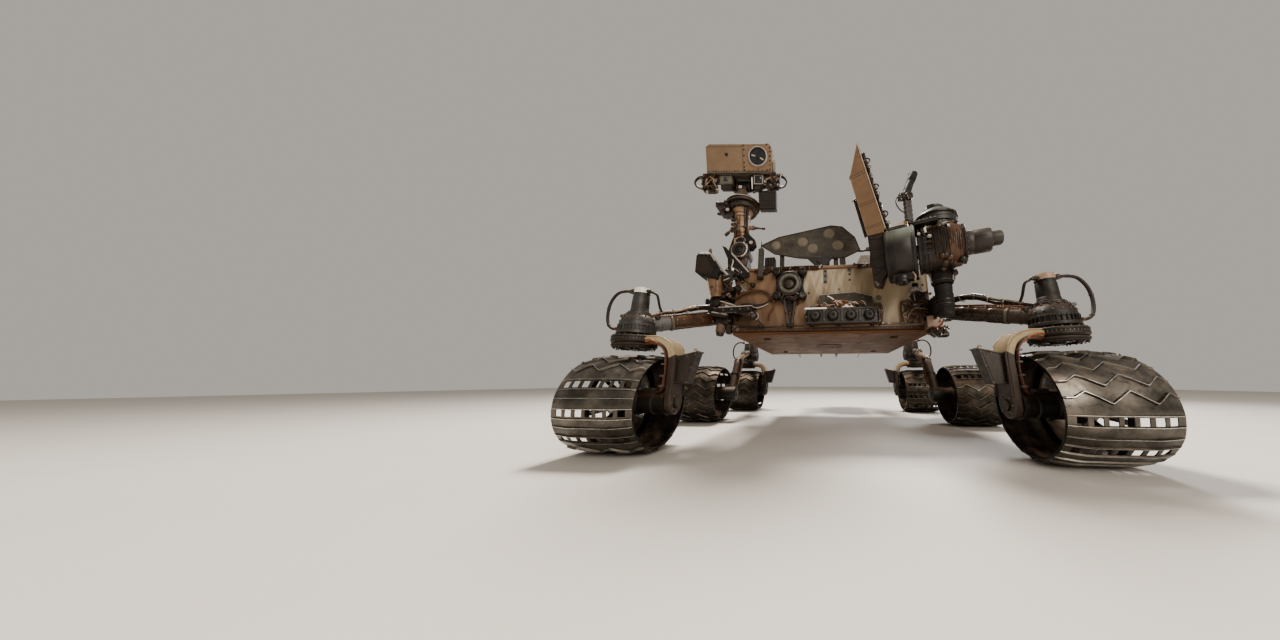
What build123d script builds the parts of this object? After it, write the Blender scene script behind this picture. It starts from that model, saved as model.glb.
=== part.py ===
from build123d import *
import math
import os

os.makedirs("parts", exist_ok=True)

# Six-wheeled planetary rover, millimetres.
# +X is the rover's own left, -Y is its front, +Z is up.
# The origin is on the floor, at the middle of the overall box.

# ---------------------------------------------------------------- running gear
MID_Y = -75.0  # middle axle
FRONT_Y = MID_Y - 1100.0
REAR_Y = MID_Y + 1060.0
WHEEL_R, WHEEL_W, SKIN = 250.0, 400.0, 8.0
EDGE_R = 236.0  # crowned tread: radius at the wheel's edges
FLAT_HALF = 110.0  # half width of the flat middle of the tread
HUB_R, AXLE_R, RUN_GAP = 78.0, 30.0, 0.3
DRIVE_R = 62.0  # wheel drive housing
CORNER_X, MIDDLE_X = 1090.0, 1180.0  # wheel centres
STEER_Z0, DISC_H, DISC_R = 562.0, 42.0, 118.0  # turning disc over a corner wheel
BASE_Z0, BASE_Z1, BASE_R, SEAT_Z = 612.0, 716.0, 92.0, 736.0  # fixed flange above it
MOTOR_R, MOTOR_Z1, CAP_R, CAP_Z1 = 52.0, 858.0, 56.0, 890.0
NECK_X = 832.0  # upright part of the gooseneck
PIVOT_Y, PIVOT_Z, PIVOT_R = MID_Y - 150.0, 830.0, 72.0
BOGIE_Y, BOGIE_Z = MID_Y + 480.0, 640.0
TUBE_R = 46.0

# ---------------------------------------------------------------- body
BODY_X, BODY_Y0, BODY_Y1 = 640.0, MID_Y - 800.0, MID_Y + 500.0
BELLY_Z, SEAM_Z, BODY_Z1, DECK_Z = 655.0, 680.0, 1100.0, 1120.0
DECK_X, DECK_LIP = 650.0, 10.0
HOLE_R, HOLE_DX, HOLE_DY, HOLE_Y = 4.5, 400.0, 200.0, 40.0  # payload bolt holes
PAD_X, PAD_Y, PAD_H = 250.0, 140.0, 14.0  # payload plate on the deck: half sizes and height

# ---------------------------------------------------------------- mast
MAST_X, MAST_Y, MAST_R = -640.0, -800.0, 50.0
PAN_Z0, PAN_Z1, PAN_R = 1656.0, 1688.0, 130.0
TILT_Z = 1850.0
HEAD_PAN, HEAD_TILT = 5.0, 22.0  # rest pose of the head, degrees

# ---------------------------------------------------------------- robotic arm
ARM_AZ, ARM_LEAN = -20.0, 12.0  # rest azimuth and forward lean, degrees
AZ_X, AZ_Y = 617.0, -1125.0  # shoulder azimuth axis
SHOULDER_Z, AXIS_BACK, AXIS_LEFT = 1050.0, 72.0, 343.0
BEAM_T = 100.0
ELBOW_D, ELBOW_U, ELBOW_BACK = -32.0, 540.0, 120.0
WRIST_N, WRIST_Z = 330.0, 1340.0
TURRET_R = 118.0

# ---------------------------------------------------------------- antenna
DISH_X, DISH_Y, DISH_Z = 430.0, 120.0, 1480.0


def vec(p, q):
    return Vector(*q) - Vector(*p)


def bar(p, q, r, mode=Mode.ADD):
    """Round bar from p to q."""
    along = vec(p, q)
    with BuildSketch(Plane(origin=p, z_dir=along)) as section:
        Circle(r)
    extrude(section.sketch, amount=along.length, mode=mode)


def block(low, high, mode=Mode.ADD):
    """Square block between two corners."""
    middle = tuple((a + b) / 2 for a, b in zip(low, high))
    with Locations(middle):
        Box(high[0] - low[0], high[1] - low[1], high[2] - low[2], mode=mode)


def plate(plane, points, thickness, mode=Mode.ADD, both=False):
    """Flat plate of an outline drawn on a plane."""
    with BuildSketch(plane) as outline:
        with BuildLine():
            Polyline(*points, close=True)
        make_face()
    extrude(outline.sketch, amount=thickness, both=both, mode=mode)


def tube(points, bends, r):
    """Round tube along straight runs joined by arcs."""
    with BuildLine() as path:
        FilletPolyline(*points, radius=bends)
    with BuildSketch(Plane(origin=points[0], z_dir=vec(points[0], points[1]))) as section:
        Circle(r)
    sweep(section.sketch, path=path.line)


def finish(piece, name):
    piece.part.label = name
    export_step(piece.part, "parts/" + name + ".step")


# ================================================================ body
with BuildPart() as chassis:
    with BuildSketch(Plane.XY.offset(SEAM_Z)):
        with Locations((0, (BODY_Y0 + BODY_Y1) / 2)):
            Rectangle(2 * BODY_X, BODY_Y1 - BODY_Y0)
    extrude(amount=BODY_Z1 - SEAM_Z)
    fillet(chassis.edges().filter_by(Axis.Z), 18)
    # pockets under the deck's payload holes
    with Locations((0, HOLE_Y, BODY_Z1)):
        with GridLocations(HOLE_DX, HOLE_DY, 2, 2):
            Hole(radius=HOLE_R + 3, depth=45)
finish(chassis, "equipment_box")

with BuildPart() as deck:
    with BuildSketch(Plane.XY.offset(BODY_Z1)):
        with Locations((0, (BODY_Y0 + BODY_Y1) / 2)):
            RectangleRounded(2 * DECK_X, BODY_Y1 - BODY_Y0 + 2 * DECK_LIP, 26)
    extrude(amount=DECK_Z - BODY_Z1)
    with Locations((0, HOLE_Y, DECK_Z)):
        with GridLocations(HOLE_DX, HOLE_DY, 2, 2):
            Hole(radius=HOLE_R)
finish(deck, "top_deck")

with BuildPart() as payload:
    # raised plate round the payload holes, clear of everything else on the deck
    with BuildSketch(Plane.XY.offset(DECK_Z)):
        with Locations((0, HOLE_Y)):
            RectangleRounded(2 * PAD_X, 2 * PAD_Y, 20)
    extrude(amount=PAD_H)
    with Locations((0, HOLE_Y, DECK_Z + PAD_H)):
        with GridLocations(HOLE_DX, HOLE_DY, 2, 2):
            Hole(radius=HOLE_R)
finish(payload, "payload_plate")

with BuildPart() as belly:
    with BuildSketch(Plane.XY.offset(BELLY_Z)):
        with Locations((0, (BODY_Y0 + BODY_Y1) / 2)):
            RectangleRounded(2 * BODY_X + 10, BODY_Y1 - BODY_Y0 + 10, 24)
    extrude(amount=SEAM_Z - BELLY_Z)
    chamfer(belly.faces().sort_by(Axis.Z)[0].edges(), 16)
finish(belly, "belly_pan")

# ---------------------------------------------------------------- front face
with BuildPart() as cameras:
    block((-140, BODY_Y0 - 75, 708), (300, BODY_Y0, 806))
    plate(
        Plane.YZ.offset(-40),
        [(BODY_Y0, 806), (BODY_Y0 - 60, 806), (BODY_Y0 - 22, 905), (BODY_Y0, 905)],
        280,
    )
    for x in (-85, 25, 135, 245):
        bar((x, BODY_Y0 - 70, 757), (x, BODY_Y0 - 100, 757), 30)
finish(cameras, "hazard_camera_box")

# bosses of the bit holder: x, z from its middle
HOLDER_X, HOLDER_Z = -255.0, 985.0
BOSSES = ((-84, 84), (86, 82), (-80, -80), (86, -84))
with BuildPart() as holder:
    bar((HOLDER_X, BODY_Y0, HOLDER_Z), (HOLDER_X, BODY_Y0 - 62, HOLDER_Z), 90)
    bar((HOLDER_X, BODY_Y0 - 62, HOLDER_Z), (HOLDER_X, BODY_Y0 - 30, HOLDER_Z), 56, Mode.SUBTRACT)
    bar((HOLDER_X, BODY_Y0 - 30, HOLDER_Z), (HOLDER_X, BODY_Y0 - 52, HOLDER_Z), 30)
    for dx, dz in BOSSES:
        x, z = HOLDER_X + dx, HOLDER_Z + dz
        bar((x, BODY_Y0, z), (x, BODY_Y0 - 74, z), 28)
    for dx in (-42, 42):
        bar(
            (HOLDER_X + dx, BODY_Y0 - 30, HOLDER_Z - 60),
            (HOLDER_X + 4, BODY_Y0 - 12, 712),
            11,
        )
finish(holder, "bit_holder")

with BuildPart() as hood:
    # bracket on the side of the body, canister, and the hood over it
    block((-700, -865, 885), (-BODY_X, -800, 1000))
    block((-800, -900, 905), (-690, -800, 1060))
    bar((-764, -930, 1046), (-742, -930, 900), 52)
    plate(
        Plane.XZ.offset(860),
        [(-880, 1068), (-832, 1034), (-722, 1010), (-712, 1080), (-784, 1196), (-866, 1203), (-880, 1190)],
        135,
    )
    bar((-811, -930, 1190), (-811, -930, 1262), 12)
finish(hood, "corner_canister")

with BuildPart() as corner:
    # open frame at the body's lower corner, with round holes in its face
    block((-735, -945, 716), (-652, -856, 878))
    for z in (760, 830):
        bar((-697, -950, z), (-697, -905, z), 24, Mode.SUBTRACT)
    block((-655, -905, 740), (-BODY_X, -858, 860))
finish(corner, "corner_frame")

with BuildPart() as scissor:
    # crossing bars ahead of the corner, on two standoffs
    bar((-600, BODY_Y0, 806), (-600, -975, 806), 12)
    bar((-500, BODY_Y0, 776), (-500, -975, 776), 12)
    for a, b, y in (((-716, 850), (-470, 758), -962), ((-700, 800), (-480, 806), -975)):
        bar((a[0], y, a[1]), (b[0], y, b[1]), 12)
    bar((-716, -950, 850), (-716, -990, 850), 18)
    bar((-470, -950, 758), (-470, -990, 758), 18)
finish(scissor, "link_bars")

with BuildPart() as shield:
    # tilted cover plate ahead of the mast's foot, on a stalk from the deck's edge
    plate(Plane.XZ.offset(905), [(-722, 1262), (-712, 1274), (-532, 1068), (-544, 1058)], 70)
    block((-600, -910, 1102), (-560, BODY_Y0 - DECK_LIP, 1118))
    bar((-452, BODY_Y0 - DECK_LIP - 14, 1030), (-452, BODY_Y0 - DECK_LIP - 14, 1262), 13)
    block((-475, BODY_Y0 - DECK_LIP - 16, 1101), (-430, BODY_Y0 - DECK_LIP, 1119))
finish(shield, "tilted_cover_plate")

# observation tray: outline x, z and its round pads x, z, radius
TRAY_Y = -795.0
TRAY = (
    (-487, 1337), (-353, 1398), (30, 1470), (111, 1456), (198, 1367),
    (232, 1266), (131, 1218), (-32, 1206), (-211, 1227), (-383, 1267),
)
PADS = ((-374, 1334, 30), (-178, 1350, 34), (-104, 1296, 34), (16, 1406, 36), (76, 1310, 36))
with BuildPart() as tray:
    plate(Plane.XZ.offset(-TRAY_Y - 12), TRAY, 12)
    for x, z, r in PADS:
        bar((x, TRAY_Y, z), (x, TRAY_Y - 5, z), r)
    for x, z in ((-330, 1290), (60, 1230)):
        block((x - 16, TRAY_Y + 12, DECK_Z), (x + 16, TRAY_Y + 32, z))
finish(tray, "observation_tray")

with BuildPart() as inlets:
    # round sample inlets with covers behind the tray
    for x, y, r in ((-260, -640, 58), (-60, -650, 46), (120, -640, 46)):
        bar((x, y, DECK_Z), (x, y, DECK_Z + 55), r)
        bar((x, y, DECK_Z + 50), (x, y, DECK_Z + 72), r + 10)
finish(inlets, "sample_inlets")

# ================================================================ mast
with BuildPart() as mast_foot:
    block((MAST_X - 66, MAST_Y - 55, DECK_Z), (MAST_X + 66, MAST_Y + 75, 1225))
    bar((MAST_X + 20, MAST_Y - 92, 1268), (MAST_X + 20, MAST_Y + 75, 1268), 62)
    block((MAST_X - 40, MAST_Y - 55, 1180), (MAST_X + 40, MAST_Y + 75, 1300))
finish(mast_foot, "mast_foot")

with BuildPart() as mast:
    with BuildSketch(Plane.XY.offset(1366)):
        with Locations((MAST_X, MAST_Y)):
            Circle(MAST_R)
    with BuildSketch(Plane.XY.offset(PAN_Z0 - 40)):
        with Locations((MAST_X, MAST_Y)):
            Circle(MAST_R + 14)
    loft()
    bar((MAST_X, MAST_Y, PAN_Z0 - 40), (MAST_X, MAST_Y, PAN_Z0 - 1), PAN_R - 20)
    # stubs for the finger booms
    bar((MAST_X, MAST_Y, 1570), (MAST_X - 78, MAST_Y - 18, 1582), 16)
    bar((MAST_X, MAST_Y, 1495), (MAST_X + 76, MAST_Y + 35, 1508), 16)
    # saddle that takes the tube down onto the joint barrel
    block((MAST_X - 42, MAST_Y - 40, 1331), (MAST_X + 42, MAST_Y + 40, 1400))
finish(mast, "mast_tube")

with BuildPart() as booms:
    # finger booms of the weather station on the tube
    bar((MAST_X - 78, MAST_Y - 18, 1582), (MAST_X - 182, MAST_Y - 42, 1598), 13)
    bar((MAST_X + 76, MAST_Y + 35, 1508), (MAST_X + 163.4, MAST_Y + 75.25, 1522.95), 13)
finish(booms, "weather_booms")

with BuildPart() as yoke:
    bar((MAST_X, MAST_Y, PAN_Z0), (MAST_X, MAST_Y, PAN_Z1), PAN_R)
    block((MAST_X - 205, MAST_Y - 48, PAN_Z0 + 2), (MAST_X - 100, MAST_Y + 48, PAN_Z1 + 14))
    turn = Plane(
        origin=(MAST_X, MAST_Y, PAN_Z1),
        x_dir=(math.cos(math.radians(HEAD_PAN)), math.sin(math.radians(HEAD_PAN)), 0),
        z_dir=(0, 0, 1),
    )
    with BuildSketch(turn):
        Rectangle(62, 84)
    extrude(amount=TILT_Z - PAN_Z1)
    side = turn.x_dir
    bar(
        tuple(Vector(MAST_X, MAST_Y, TILT_Z) - side * 58),
        tuple(Vector(MAST_X, MAST_Y, TILT_Z) + side * 58),
        42,
    )
finish(yoke, "pan_yoke")

# head frame: x to the rover's left, y out of the face's back, z up the face
pan, tilt = math.radians(HEAD_PAN), math.radians(HEAD_TILT)
HEAD_SIDE = Vector(math.cos(pan), math.sin(pan), 0)
HEAD_BACK = Vector(-math.sin(pan) * math.cos(tilt), math.cos(pan) * math.cos(tilt), math.sin(tilt))
HEAD_UP = HEAD_SIDE.cross(HEAD_BACK)
HEAD_O = Vector(MAST_X, MAST_Y, TILT_Z)


def head_point(x, y, z):
    return tuple(HEAD_O + HEAD_SIDE * x + HEAD_BACK * y + HEAD_UP * z)


def head_block(low, high, mode=Mode.ADD):
    """Block in the head's own tilted frame."""
    plane = Plane(origin=head_point(*low), x_dir=HEAD_SIDE, z_dir=HEAD_UP)
    dx, dy, dz = (b - a for a, b in zip(low, high))
    with BuildSketch(plane) as base:
        Rectangle(dx, dy, align=(Align.MIN, Align.MIN))
    extrude(base.sketch, amount=dz, mode=mode)


HEAD_HALF, HEAD_FACE, HEAD_REAR, HEAD_LOW, HEAD_TOP = 236.0, -150.0, 60.0, 56.0, 246.0
WINDOW_X, WINDOW_Z, WINDOW_R = 140.0, 166.0, 62.0
with BuildPart() as head:
    head_block((-HEAD_HALF, HEAD_FACE, HEAD_LOW), (HEAD_HALF, HEAD_REAR, HEAD_TOP))
    bar(
        head_point(WINDOW_X, HEAD_FACE, WINDOW_Z),
        head_point(WINDOW_X, HEAD_FACE + 30, WINDOW_Z),
        WINDOW_R,
        Mode.SUBTRACT,
    )
    # cheeks that hang on the tilt axis
    for x0, x1 in ((-88, -60), (60, 88)):
        head_block((x0, -38, -38), (x1, 40, HEAD_LOW))
finish(head, "head_box")

with BuildPart() as camera_bar:
    for x0, x1 in ((-292, -70), (70, 292)):
        head_block((x0, -118, -2), (x1, -52, HEAD_LOW))
    for x in (-105, 135):
        head_block((x - 34, -128, -24), (x + 34, -56, 44))
        bar(head_point(x, -126, 10), head_point(x, -138, 10), 22)
finish(camera_bar, "stereo_camera_bar")

with BuildPart() as zoom_box:
    head_block((140, -112, -196), (258, -6, -44))
    head_block((140, -50, -46), (258, -6, HEAD_LOW))
finish(zoom_box, "camera_electronics_box")

# ================================================================ robotic arm
az = math.radians(ARM_AZ)
lean = math.radians(ARM_LEAN)
D = Vector(math.cos(az), math.sin(az), 0)  # along the shoulder axis, to the rover's left
N = Vector(-math.sin(az), math.cos(az), 0)  # level, towards the body
UP = Vector(0, 0, 1)
SHOULDER = Vector(AZ_X, AZ_Y, 0) - D * AXIS_LEFT - N * AXIS_BACK  # beam's plane, z = 0
BEAM_UP = UP * math.cos(lean) - N * math.sin(lean)
BEAM_BACK = N * math.cos(lean) + UP * math.sin(lean)


def arm_point(d, n, z):
    return tuple(SHOULDER + D * d + N * n + UP * z)


def beam_point(d, back, u):
    return tuple(SHOULDER + UP * SHOULDER_Z + D * d + BEAM_BACK * back + BEAM_UP * u)


ELBOW = Vector(*beam_point(ELBOW_D, ELBOW_BACK, ELBOW_U))
WRIST = Vector(*arm_point(ELBOW_D, WRIST_N, WRIST_Z))

with BuildPart() as shoulder_base:
    bar((AZ_X, AZ_Y, 690), (AZ_X, AZ_Y, 862), 46)
    block((AZ_X - 12, AZ_Y + 16, 730), (AZ_X + 23, BODY_Y0, 846))
finish(shoulder_base, "shoulder_base")

with BuildPart() as azimuth:
    bar((AZ_X, AZ_Y, 868), (AZ_X, AZ_Y, 1162), 66)
    # stepped drum on top: bottom, top, radius at each
    for z0, z1, r0, r1 in ((1160, 1206, 102, 102), (1204, 1255, 110, 110), (1253, 1263, 117, 117), (1261, 1307, 112, 66), (1305, 1347, 60, 50)):
        with BuildSketch(Plane.XY.offset(z0)) as low:
            with Locations((AZ_X, AZ_Y)):
                Circle(r0)
        with BuildSketch(Plane.XY.offset(z1)) as high:
            with Locations((AZ_X, AZ_Y)):
                Circle(r1)
        loft([low.sketch, high.sketch])
    # elevation drive across the front: d from, d to, radius
    for d0, d1, r in ((240, 440, 124), (438, 462, 104), (460, 572, 62), (570, 622, 38)):
        bar(arm_point(d0, 0, SHOULDER_Z), arm_point(d1, 0, SHOULDER_Z), r)
    bar(arm_point(185, 0, SHOULDER_Z), arm_point(245, 0, SHOULDER_Z), 40)
finish(azimuth, "shoulder_azimuth_drive")

with BuildPart() as barrel:
    bar(arm_point(78, 0, SHOULDER_Z), arm_point(234, 0, SHOULDER_Z), 150)
    bar(arm_point(180, 0, SHOULDER_Z), arm_point(234, 0, SHOULDER_Z), 40 + RUN_GAP, Mode.SUBTRACT)
finish(barrel, "shoulder_barrel")

with BuildPart() as upper_arm:
    front = Plane(origin=beam_point(0, -BEAM_T / 2, 0), x_dir=D, z_dir=BEAM_BACK * -1)
    rear = Plane(origin=beam_point(0, BEAM_T / 2, 0), x_dir=D, z_dir=BEAM_BACK * -1)
    # root bracket on the barrel's end, then the box beam with its mitred end
    plate(rear, [(-6, -158), (36, -168), (76, -60), (76, 140), (-16, 140)], BEAM_T)
    plate(
        rear,
        [(-16, 138), (76, 138), (76, 153), (92, 153), (-20, 697), (-84, 508)],
        BEAM_T,
    )
    # elbow lugs and pin
    for d0, d1 in ((ELBOW_D - 55, ELBOW_D - 36), (ELBOW_D + 36, ELBOW_D + 55)):
        bar(beam_point(d0, ELBOW_BACK, ELBOW_U), beam_point(d1, ELBOW_BACK, ELBOW_U), 46)
        lug = Plane(origin=beam_point(d0, 0, 0), x_dir=BEAM_BACK, z_dir=D)
        plate(lug, [(40, ELBOW_U - 80), (ELBOW_BACK, ELBOW_U - 46), (ELBOW_BACK, ELBOW_U + 46), (40, ELBOW_U + 14)], d1 - d0)
    bar(beam_point(ELBOW_D - 55, ELBOW_BACK, ELBOW_U), beam_point(ELBOW_D + 55, ELBOW_BACK, ELBOW_U), 20)
finish(upper_arm, "upper_arm")

with BuildPart() as forearm:
    bar(tuple(ELBOW - D * 34), tuple(ELBOW + D * 34), 48)
    reach = WRIST - ELBOW
    with BuildSketch(Plane(origin=tuple(ELBOW + reach * 0.09), x_dir=D, z_dir=reach)) as section:
        RectangleRounded(56, 66, 8)
    extrude(section.sketch, amount=reach.length * 0.91)
    bar(tuple(WRIST - D * 30), tuple(WRIST + D * 52), 48)
    bar(tuple(ELBOW - D * 36), tuple(ELBOW + D * 36), 20 + RUN_GAP, Mode.SUBTRACT)
finish(forearm, "forearm")

# tools round the turret: angle, radius reached, half width
TOOLS = ((0, 112, 34), (72, 116, 30), (144, 108, 36), (216, 116, 30), (288, 110, 34))
with BuildPart() as turret:
    bar(tuple(WRIST + D * 60), tuple(WRIST + D * 230), 74)
    for angle, out, half in TOOLS:
        a = math.radians(angle)
        spoke = N * math.cos(a) + UP * math.sin(a)
        with BuildSketch(Plane(origin=tuple(WRIST + D * 145), x_dir=D, z_dir=spoke)) as section:
            RectangleRounded(140, 2 * half, 10)
        extrude(section.sketch, amount=math.sqrt(out * out - half * half))
finish(turret, "tool_turret")

# ================================================================ antennas
with BuildPart() as dish_base:
    bar((DISH_X, DISH_Y, DECK_Z), (DISH_X, DISH_Y, DECK_Z + 14), 78)
    bar((DISH_X, DISH_Y, DECK_Z + 12), (DISH_X, DISH_Y, DECK_Z + 110), 52)
finish(dish_base, "dish_base")

with BuildPart() as dish_yoke:
    z0 = DECK_Z + 114
    bar((DISH_X, DISH_Y, z0), (DISH_X, DISH_Y, z0 + 60), 58)
    # post behind the tipping axis, and the arm that holds the axis barrel
    block((DISH_X - 26, DISH_Y + 20, z0 + 50), (DISH_X + 26, DISH_Y + 54, DISH_Z + 34))
    block((DISH_X - 26, DISH_Y - 6, DISH_Z - 30), (DISH_X + 26, DISH_Y + 30, DISH_Z + 30))
    bar((DISH_X - 60, DISH_Y, DISH_Z), (DISH_X + 60, DISH_Y, DISH_Z), 34)
finish(dish_yoke, "dish_yoke")

with BuildPart() as dish:
    # flat six-sided panel, on two ears beside the yoke's barrel
    with BuildSketch(Plane.XZ.offset(-(DISH_Y - 74))) as face:
        with Locations((DISH_X, DISH_Z)):
            RegularPolygon(165, 6)
    extrude(face.sketch, amount=26)
    for x0, x1 in ((DISH_X - 84, DISH_X - 62), (DISH_X + 62, DISH_X + 84)):
        block((x0, DISH_Y - 76, DISH_Z - 30), (x1, DISH_Y + 30, DISH_Z + 30))
finish(dish, "dish_panel")

with BuildPart() as post:
    # whip aerial on a bent post behind the shoulder
    bar((616, -560, DECK_Z), (616, -560, 1170), 22)
    bar((616, -560, 1158), (652, -560, 1640), 22)
    block((634, -582, 1600), (696, -538, 1830))
    bar((652, -560, 1838), (745, -560, 2072), 27)
    block((594, -588, 1815), (712, -532, 1870))
finish(post, "aerial_post")

with BuildPart() as can:
    bar((-500, 310, DECK_Z), (-500, 310, DECK_Z + 20), 86)
    bar((-500, 310, DECK_Z + 15), (-500, 310, DECK_Z + 270), 70)
finish(can, "relay_antenna")

# ================================================================ power unit at the back
UNIT_Y0, UNIT_Y1, UNIT_Z, UNIT_R, FIN_R = 640.0, 1425.0, 960.0, 130.0, 290.0
with BuildPart() as unit:
    bar((0, UNIT_Y0, UNIT_Z), (0, UNIT_Y1 - 20, UNIT_Z), UNIT_R)
    bar((0, UNIT_Y1 - 60, UNIT_Z), (0, UNIT_Y1, UNIT_Z), UNIT_R + 30)
    bar((0, UNIT_Y0, UNIT_Z), (0, UNIT_Y0 + 40, UNIT_Z), UNIT_R + 30)
    with BuildSketch(Plane.XZ.offset(-UNIT_Y0 - 60)) as fins:
        with Locations((0, UNIT_Z)):
            with PolarLocations((UNIT_R + FIN_R) / 2, 8, start_angle=22.5):
                Rectangle(FIN_R - UNIT_R + 10, 8)
    extrude(fins.sketch, amount=-(UNIT_Y1 - UNIT_Y0 - 140))
finish(unit, "power_unit")

with BuildPart() as cradle:
    # four struts from the back of the body to the unit's front ring, and a shelf
    for x, z in ((-230, 1060), (230, 1060), (-230, 760), (230, 760)):
        block((x - 32, BODY_Y1, z - 32), (x + 32, BODY_Y1 + 16, z + 32))
        bar((x, BODY_Y1 + 14, z), (x * 0.52, UNIT_Y0 - 16, UNIT_Z + (z - UNIT_Z) * 0.52), 20)
    with BuildSketch(Plane.XZ.offset(-UNIT_Y0 + 24)) as ring:
        with Locations((0, UNIT_Z)):
            Circle(165)
    extrude(ring.sketch, amount=-24)
finish(cradle, "power_unit_cradle")

with BuildPart() as radiators:
    # heat exchanger plates either side of the unit
    for s in (-1, 1):
        plate(
            Plane.YZ.offset(s * 400 - 12),
            [(470, 760), (1240, 690), (1240, 1180), (470, 1220)],
            24,
        )
        block(
            (min(s * 388, s * 330), BODY_Y1, 900), (max(s * 388, s * 330), 520, 960)
        )
finish(radiators, "radiator_plates")

# ================================================================ suspension
with BuildPart() as differential:
    block((-600, PIVOT_Y - 24, DECK_Z + 16), (600, PIVOT_Y + 24, DECK_Z + 62))
    bar((0, PIVOT_Y, DECK_Z), (0, PIVOT_Y, DECK_Z + 90), 60)
    for s in (-1, 1):
        bar((s * 590, PIVOT_Y, DECK_Z + 38), (s * 715, PIVOT_Y, DECK_Z + 38), 22)
        bar((s * 715, PIVOT_Y, DECK_Z + 62), (s * 715, PIVOT_Y, PIVOT_Z + PIVOT_R + 1), 15)
finish(differential, "differential_bar")

# side, sign of x
for side_name, s in (("left", 1), ("right", -1)):
    with BuildPart() as rocker:
        bar((s * BODY_X, PIVOT_Y, PIVOT_Z), (s * 790, PIVOT_Y, PIVOT_Z), PIVOT_R)
        tube(
            [
                (s * 735, PIVOT_Y, PIVOT_Z),
                (s * 770, BODY_Y0 + 60, 792),
                (s * CORNER_X, FRONT_Y, 664),
            ],
            110,
            TUBE_R,
        )
        bar((s * CORNER_X, FRONT_Y, BASE_Z0), (s * CORNER_X, FRONT_Y, BASE_Z1), BASE_R)
        bar((s * CORNER_X, FRONT_Y, BASE_Z1 - 2), (s * CORNER_X, FRONT_Y, SEAT_Z), BASE_R - 26)
        tube(
            [
                (s * 735, PIVOT_Y, PIVOT_Z),
                (s * 790, MID_Y + 260, 745),
                (s * 838, BOGIE_Y, BOGIE_Z),
            ],
            100,
            TUBE_R - 4,
        )
        bar((s * 800, BOGIE_Y, BOGIE_Z), (s * 887, BOGIE_Y, BOGIE_Z), 62)
    finish(rocker, "rocker_" + side_name)

    with BuildPart() as bogie:
        bar((s * 887, BOGIE_Y, BOGIE_Z), (s * 972, BOGIE_Y, BOGIE_Z), 62)
        tube(
            [
                (s * 934, BOGIE_Y, BOGIE_Z),
                (s * 905, MID_Y + 150, 560),
                (s * 905, MID_Y, WHEEL_R),
            ],
            90,
            TUBE_R - 6,
        )
        bar((s * 858, MID_Y, WHEEL_R), (s * (MIDDLE_X - 5), MID_Y, WHEEL_R), DRIVE_R)
        bar((s * (MIDDLE_X - 6), MID_Y, WHEEL_R), (s * (MIDDLE_X + 60), MID_Y, WHEEL_R), AXLE_R)
        tube(
            [
                (s * 934, BOGIE_Y, BOGIE_Z),
                (s * 930, REAR_Y - 200, 690),
                (s * CORNER_X, REAR_Y, 662),
            ],
            90,
            TUBE_R - 4,
        )
        bar((s * CORNER_X, REAR_Y, BASE_Z0), (s * CORNER_X, REAR_Y, BASE_Z1), BASE_R)
        bar((s * CORNER_X, REAR_Y, BASE_Z1 - 2), (s * CORNER_X, REAR_Y, SEAT_Z), BASE_R - 26)
    finish(bogie, "bogie_" + side_name)

# corner, sign of x, axle y
CORNERS = (
    ("front_left", 1, FRONT_Y),
    ("front_right", -1, FRONT_Y),
    ("rear_left", 1, REAR_Y),
    ("rear_right", -1, REAR_Y),
)
with BuildPart() as motors:
    for _, s, y in CORNERS:
        bar((s * CORNER_X, y, SEAT_Z), (s * CORNER_X, y, MOTOR_Z1), MOTOR_R)
        bar((s * CORNER_X, y, MOTOR_Z1 - 4), (s * CORNER_X, y, CAP_Z1), CAP_R)
finish(motors, "steering_motors")

with BuildPart() as leads:
    # motor leads: out of the cap, round in a loop, and back into the flange below
    for _, s, y in CORNERS:
        tube(
            [
                (s * (CORNER_X + CAP_R), y, 874), (s * 1235, y, 874), (s * 1290, y, 800),
                (s * 1290, y, 700), (s * 1250, y, 652), (s * (CORNER_X + BASE_R), y, 652),
            ],
            35,
            8,
        )
finish(leads, "steering_cables")

for corner_name, s, y in CORNERS:
    with BuildPart() as knuckle:
        bar((s * CORNER_X, y, STEER_Z0), (s * CORNER_X, y, STEER_Z0 + DISC_H), DISC_R)
        # gooseneck band: over the wheel, down its inner side, to the drive housing
        with BuildSketch(Plane.XZ.offset(-(y + 62))) as neck:
            with BuildLine():
                Polyline(
                    (s * CORNER_X, STEER_Z0), (s * CORNER_X, STEER_Z0 + 34),
                    (s * 935, STEER_Z0 + 34),
                )
                ThreePointArc(
                    (s * 935, STEER_Z0 + 34), (s * 848, STEER_Z0 - 2), (s * 812, STEER_Z0 - 89)
                )
                Polyline(
                    (s * 812, STEER_Z0 - 89), (s * 812, WHEEL_R), (s * 850, WHEEL_R),
                    (s * 850, STEER_Z0 - 89),
                )
                ThreePointArc(
                    (s * 850, STEER_Z0 - 89), (s * 875, STEER_Z0 - 25), (s * 935, STEER_Z0)
                )
                Line((s * 935, STEER_Z0), (s * CORNER_X, STEER_Z0))
            make_face()
        extrude(neck.sketch, amount=124)
        # stop plate on the band's inner side
        plate(
            Plane.XZ.offset(-(y + 34)),
            [(s * 700, 512), (s * 815, 486), (s * 815, 344), (s * 745, 344)],
            68,
        )
        bar((s * 812, y, WHEEL_R), (s * (CORNER_X - 5), y, WHEEL_R), DRIVE_R)
        bar((s * (CORNER_X - 6), y, WHEEL_R), (s * (CORNER_X + 60), y, WHEEL_R), AXLE_R)
    finish(knuckle, "steering_knuckle_" + corner_name)

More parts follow.
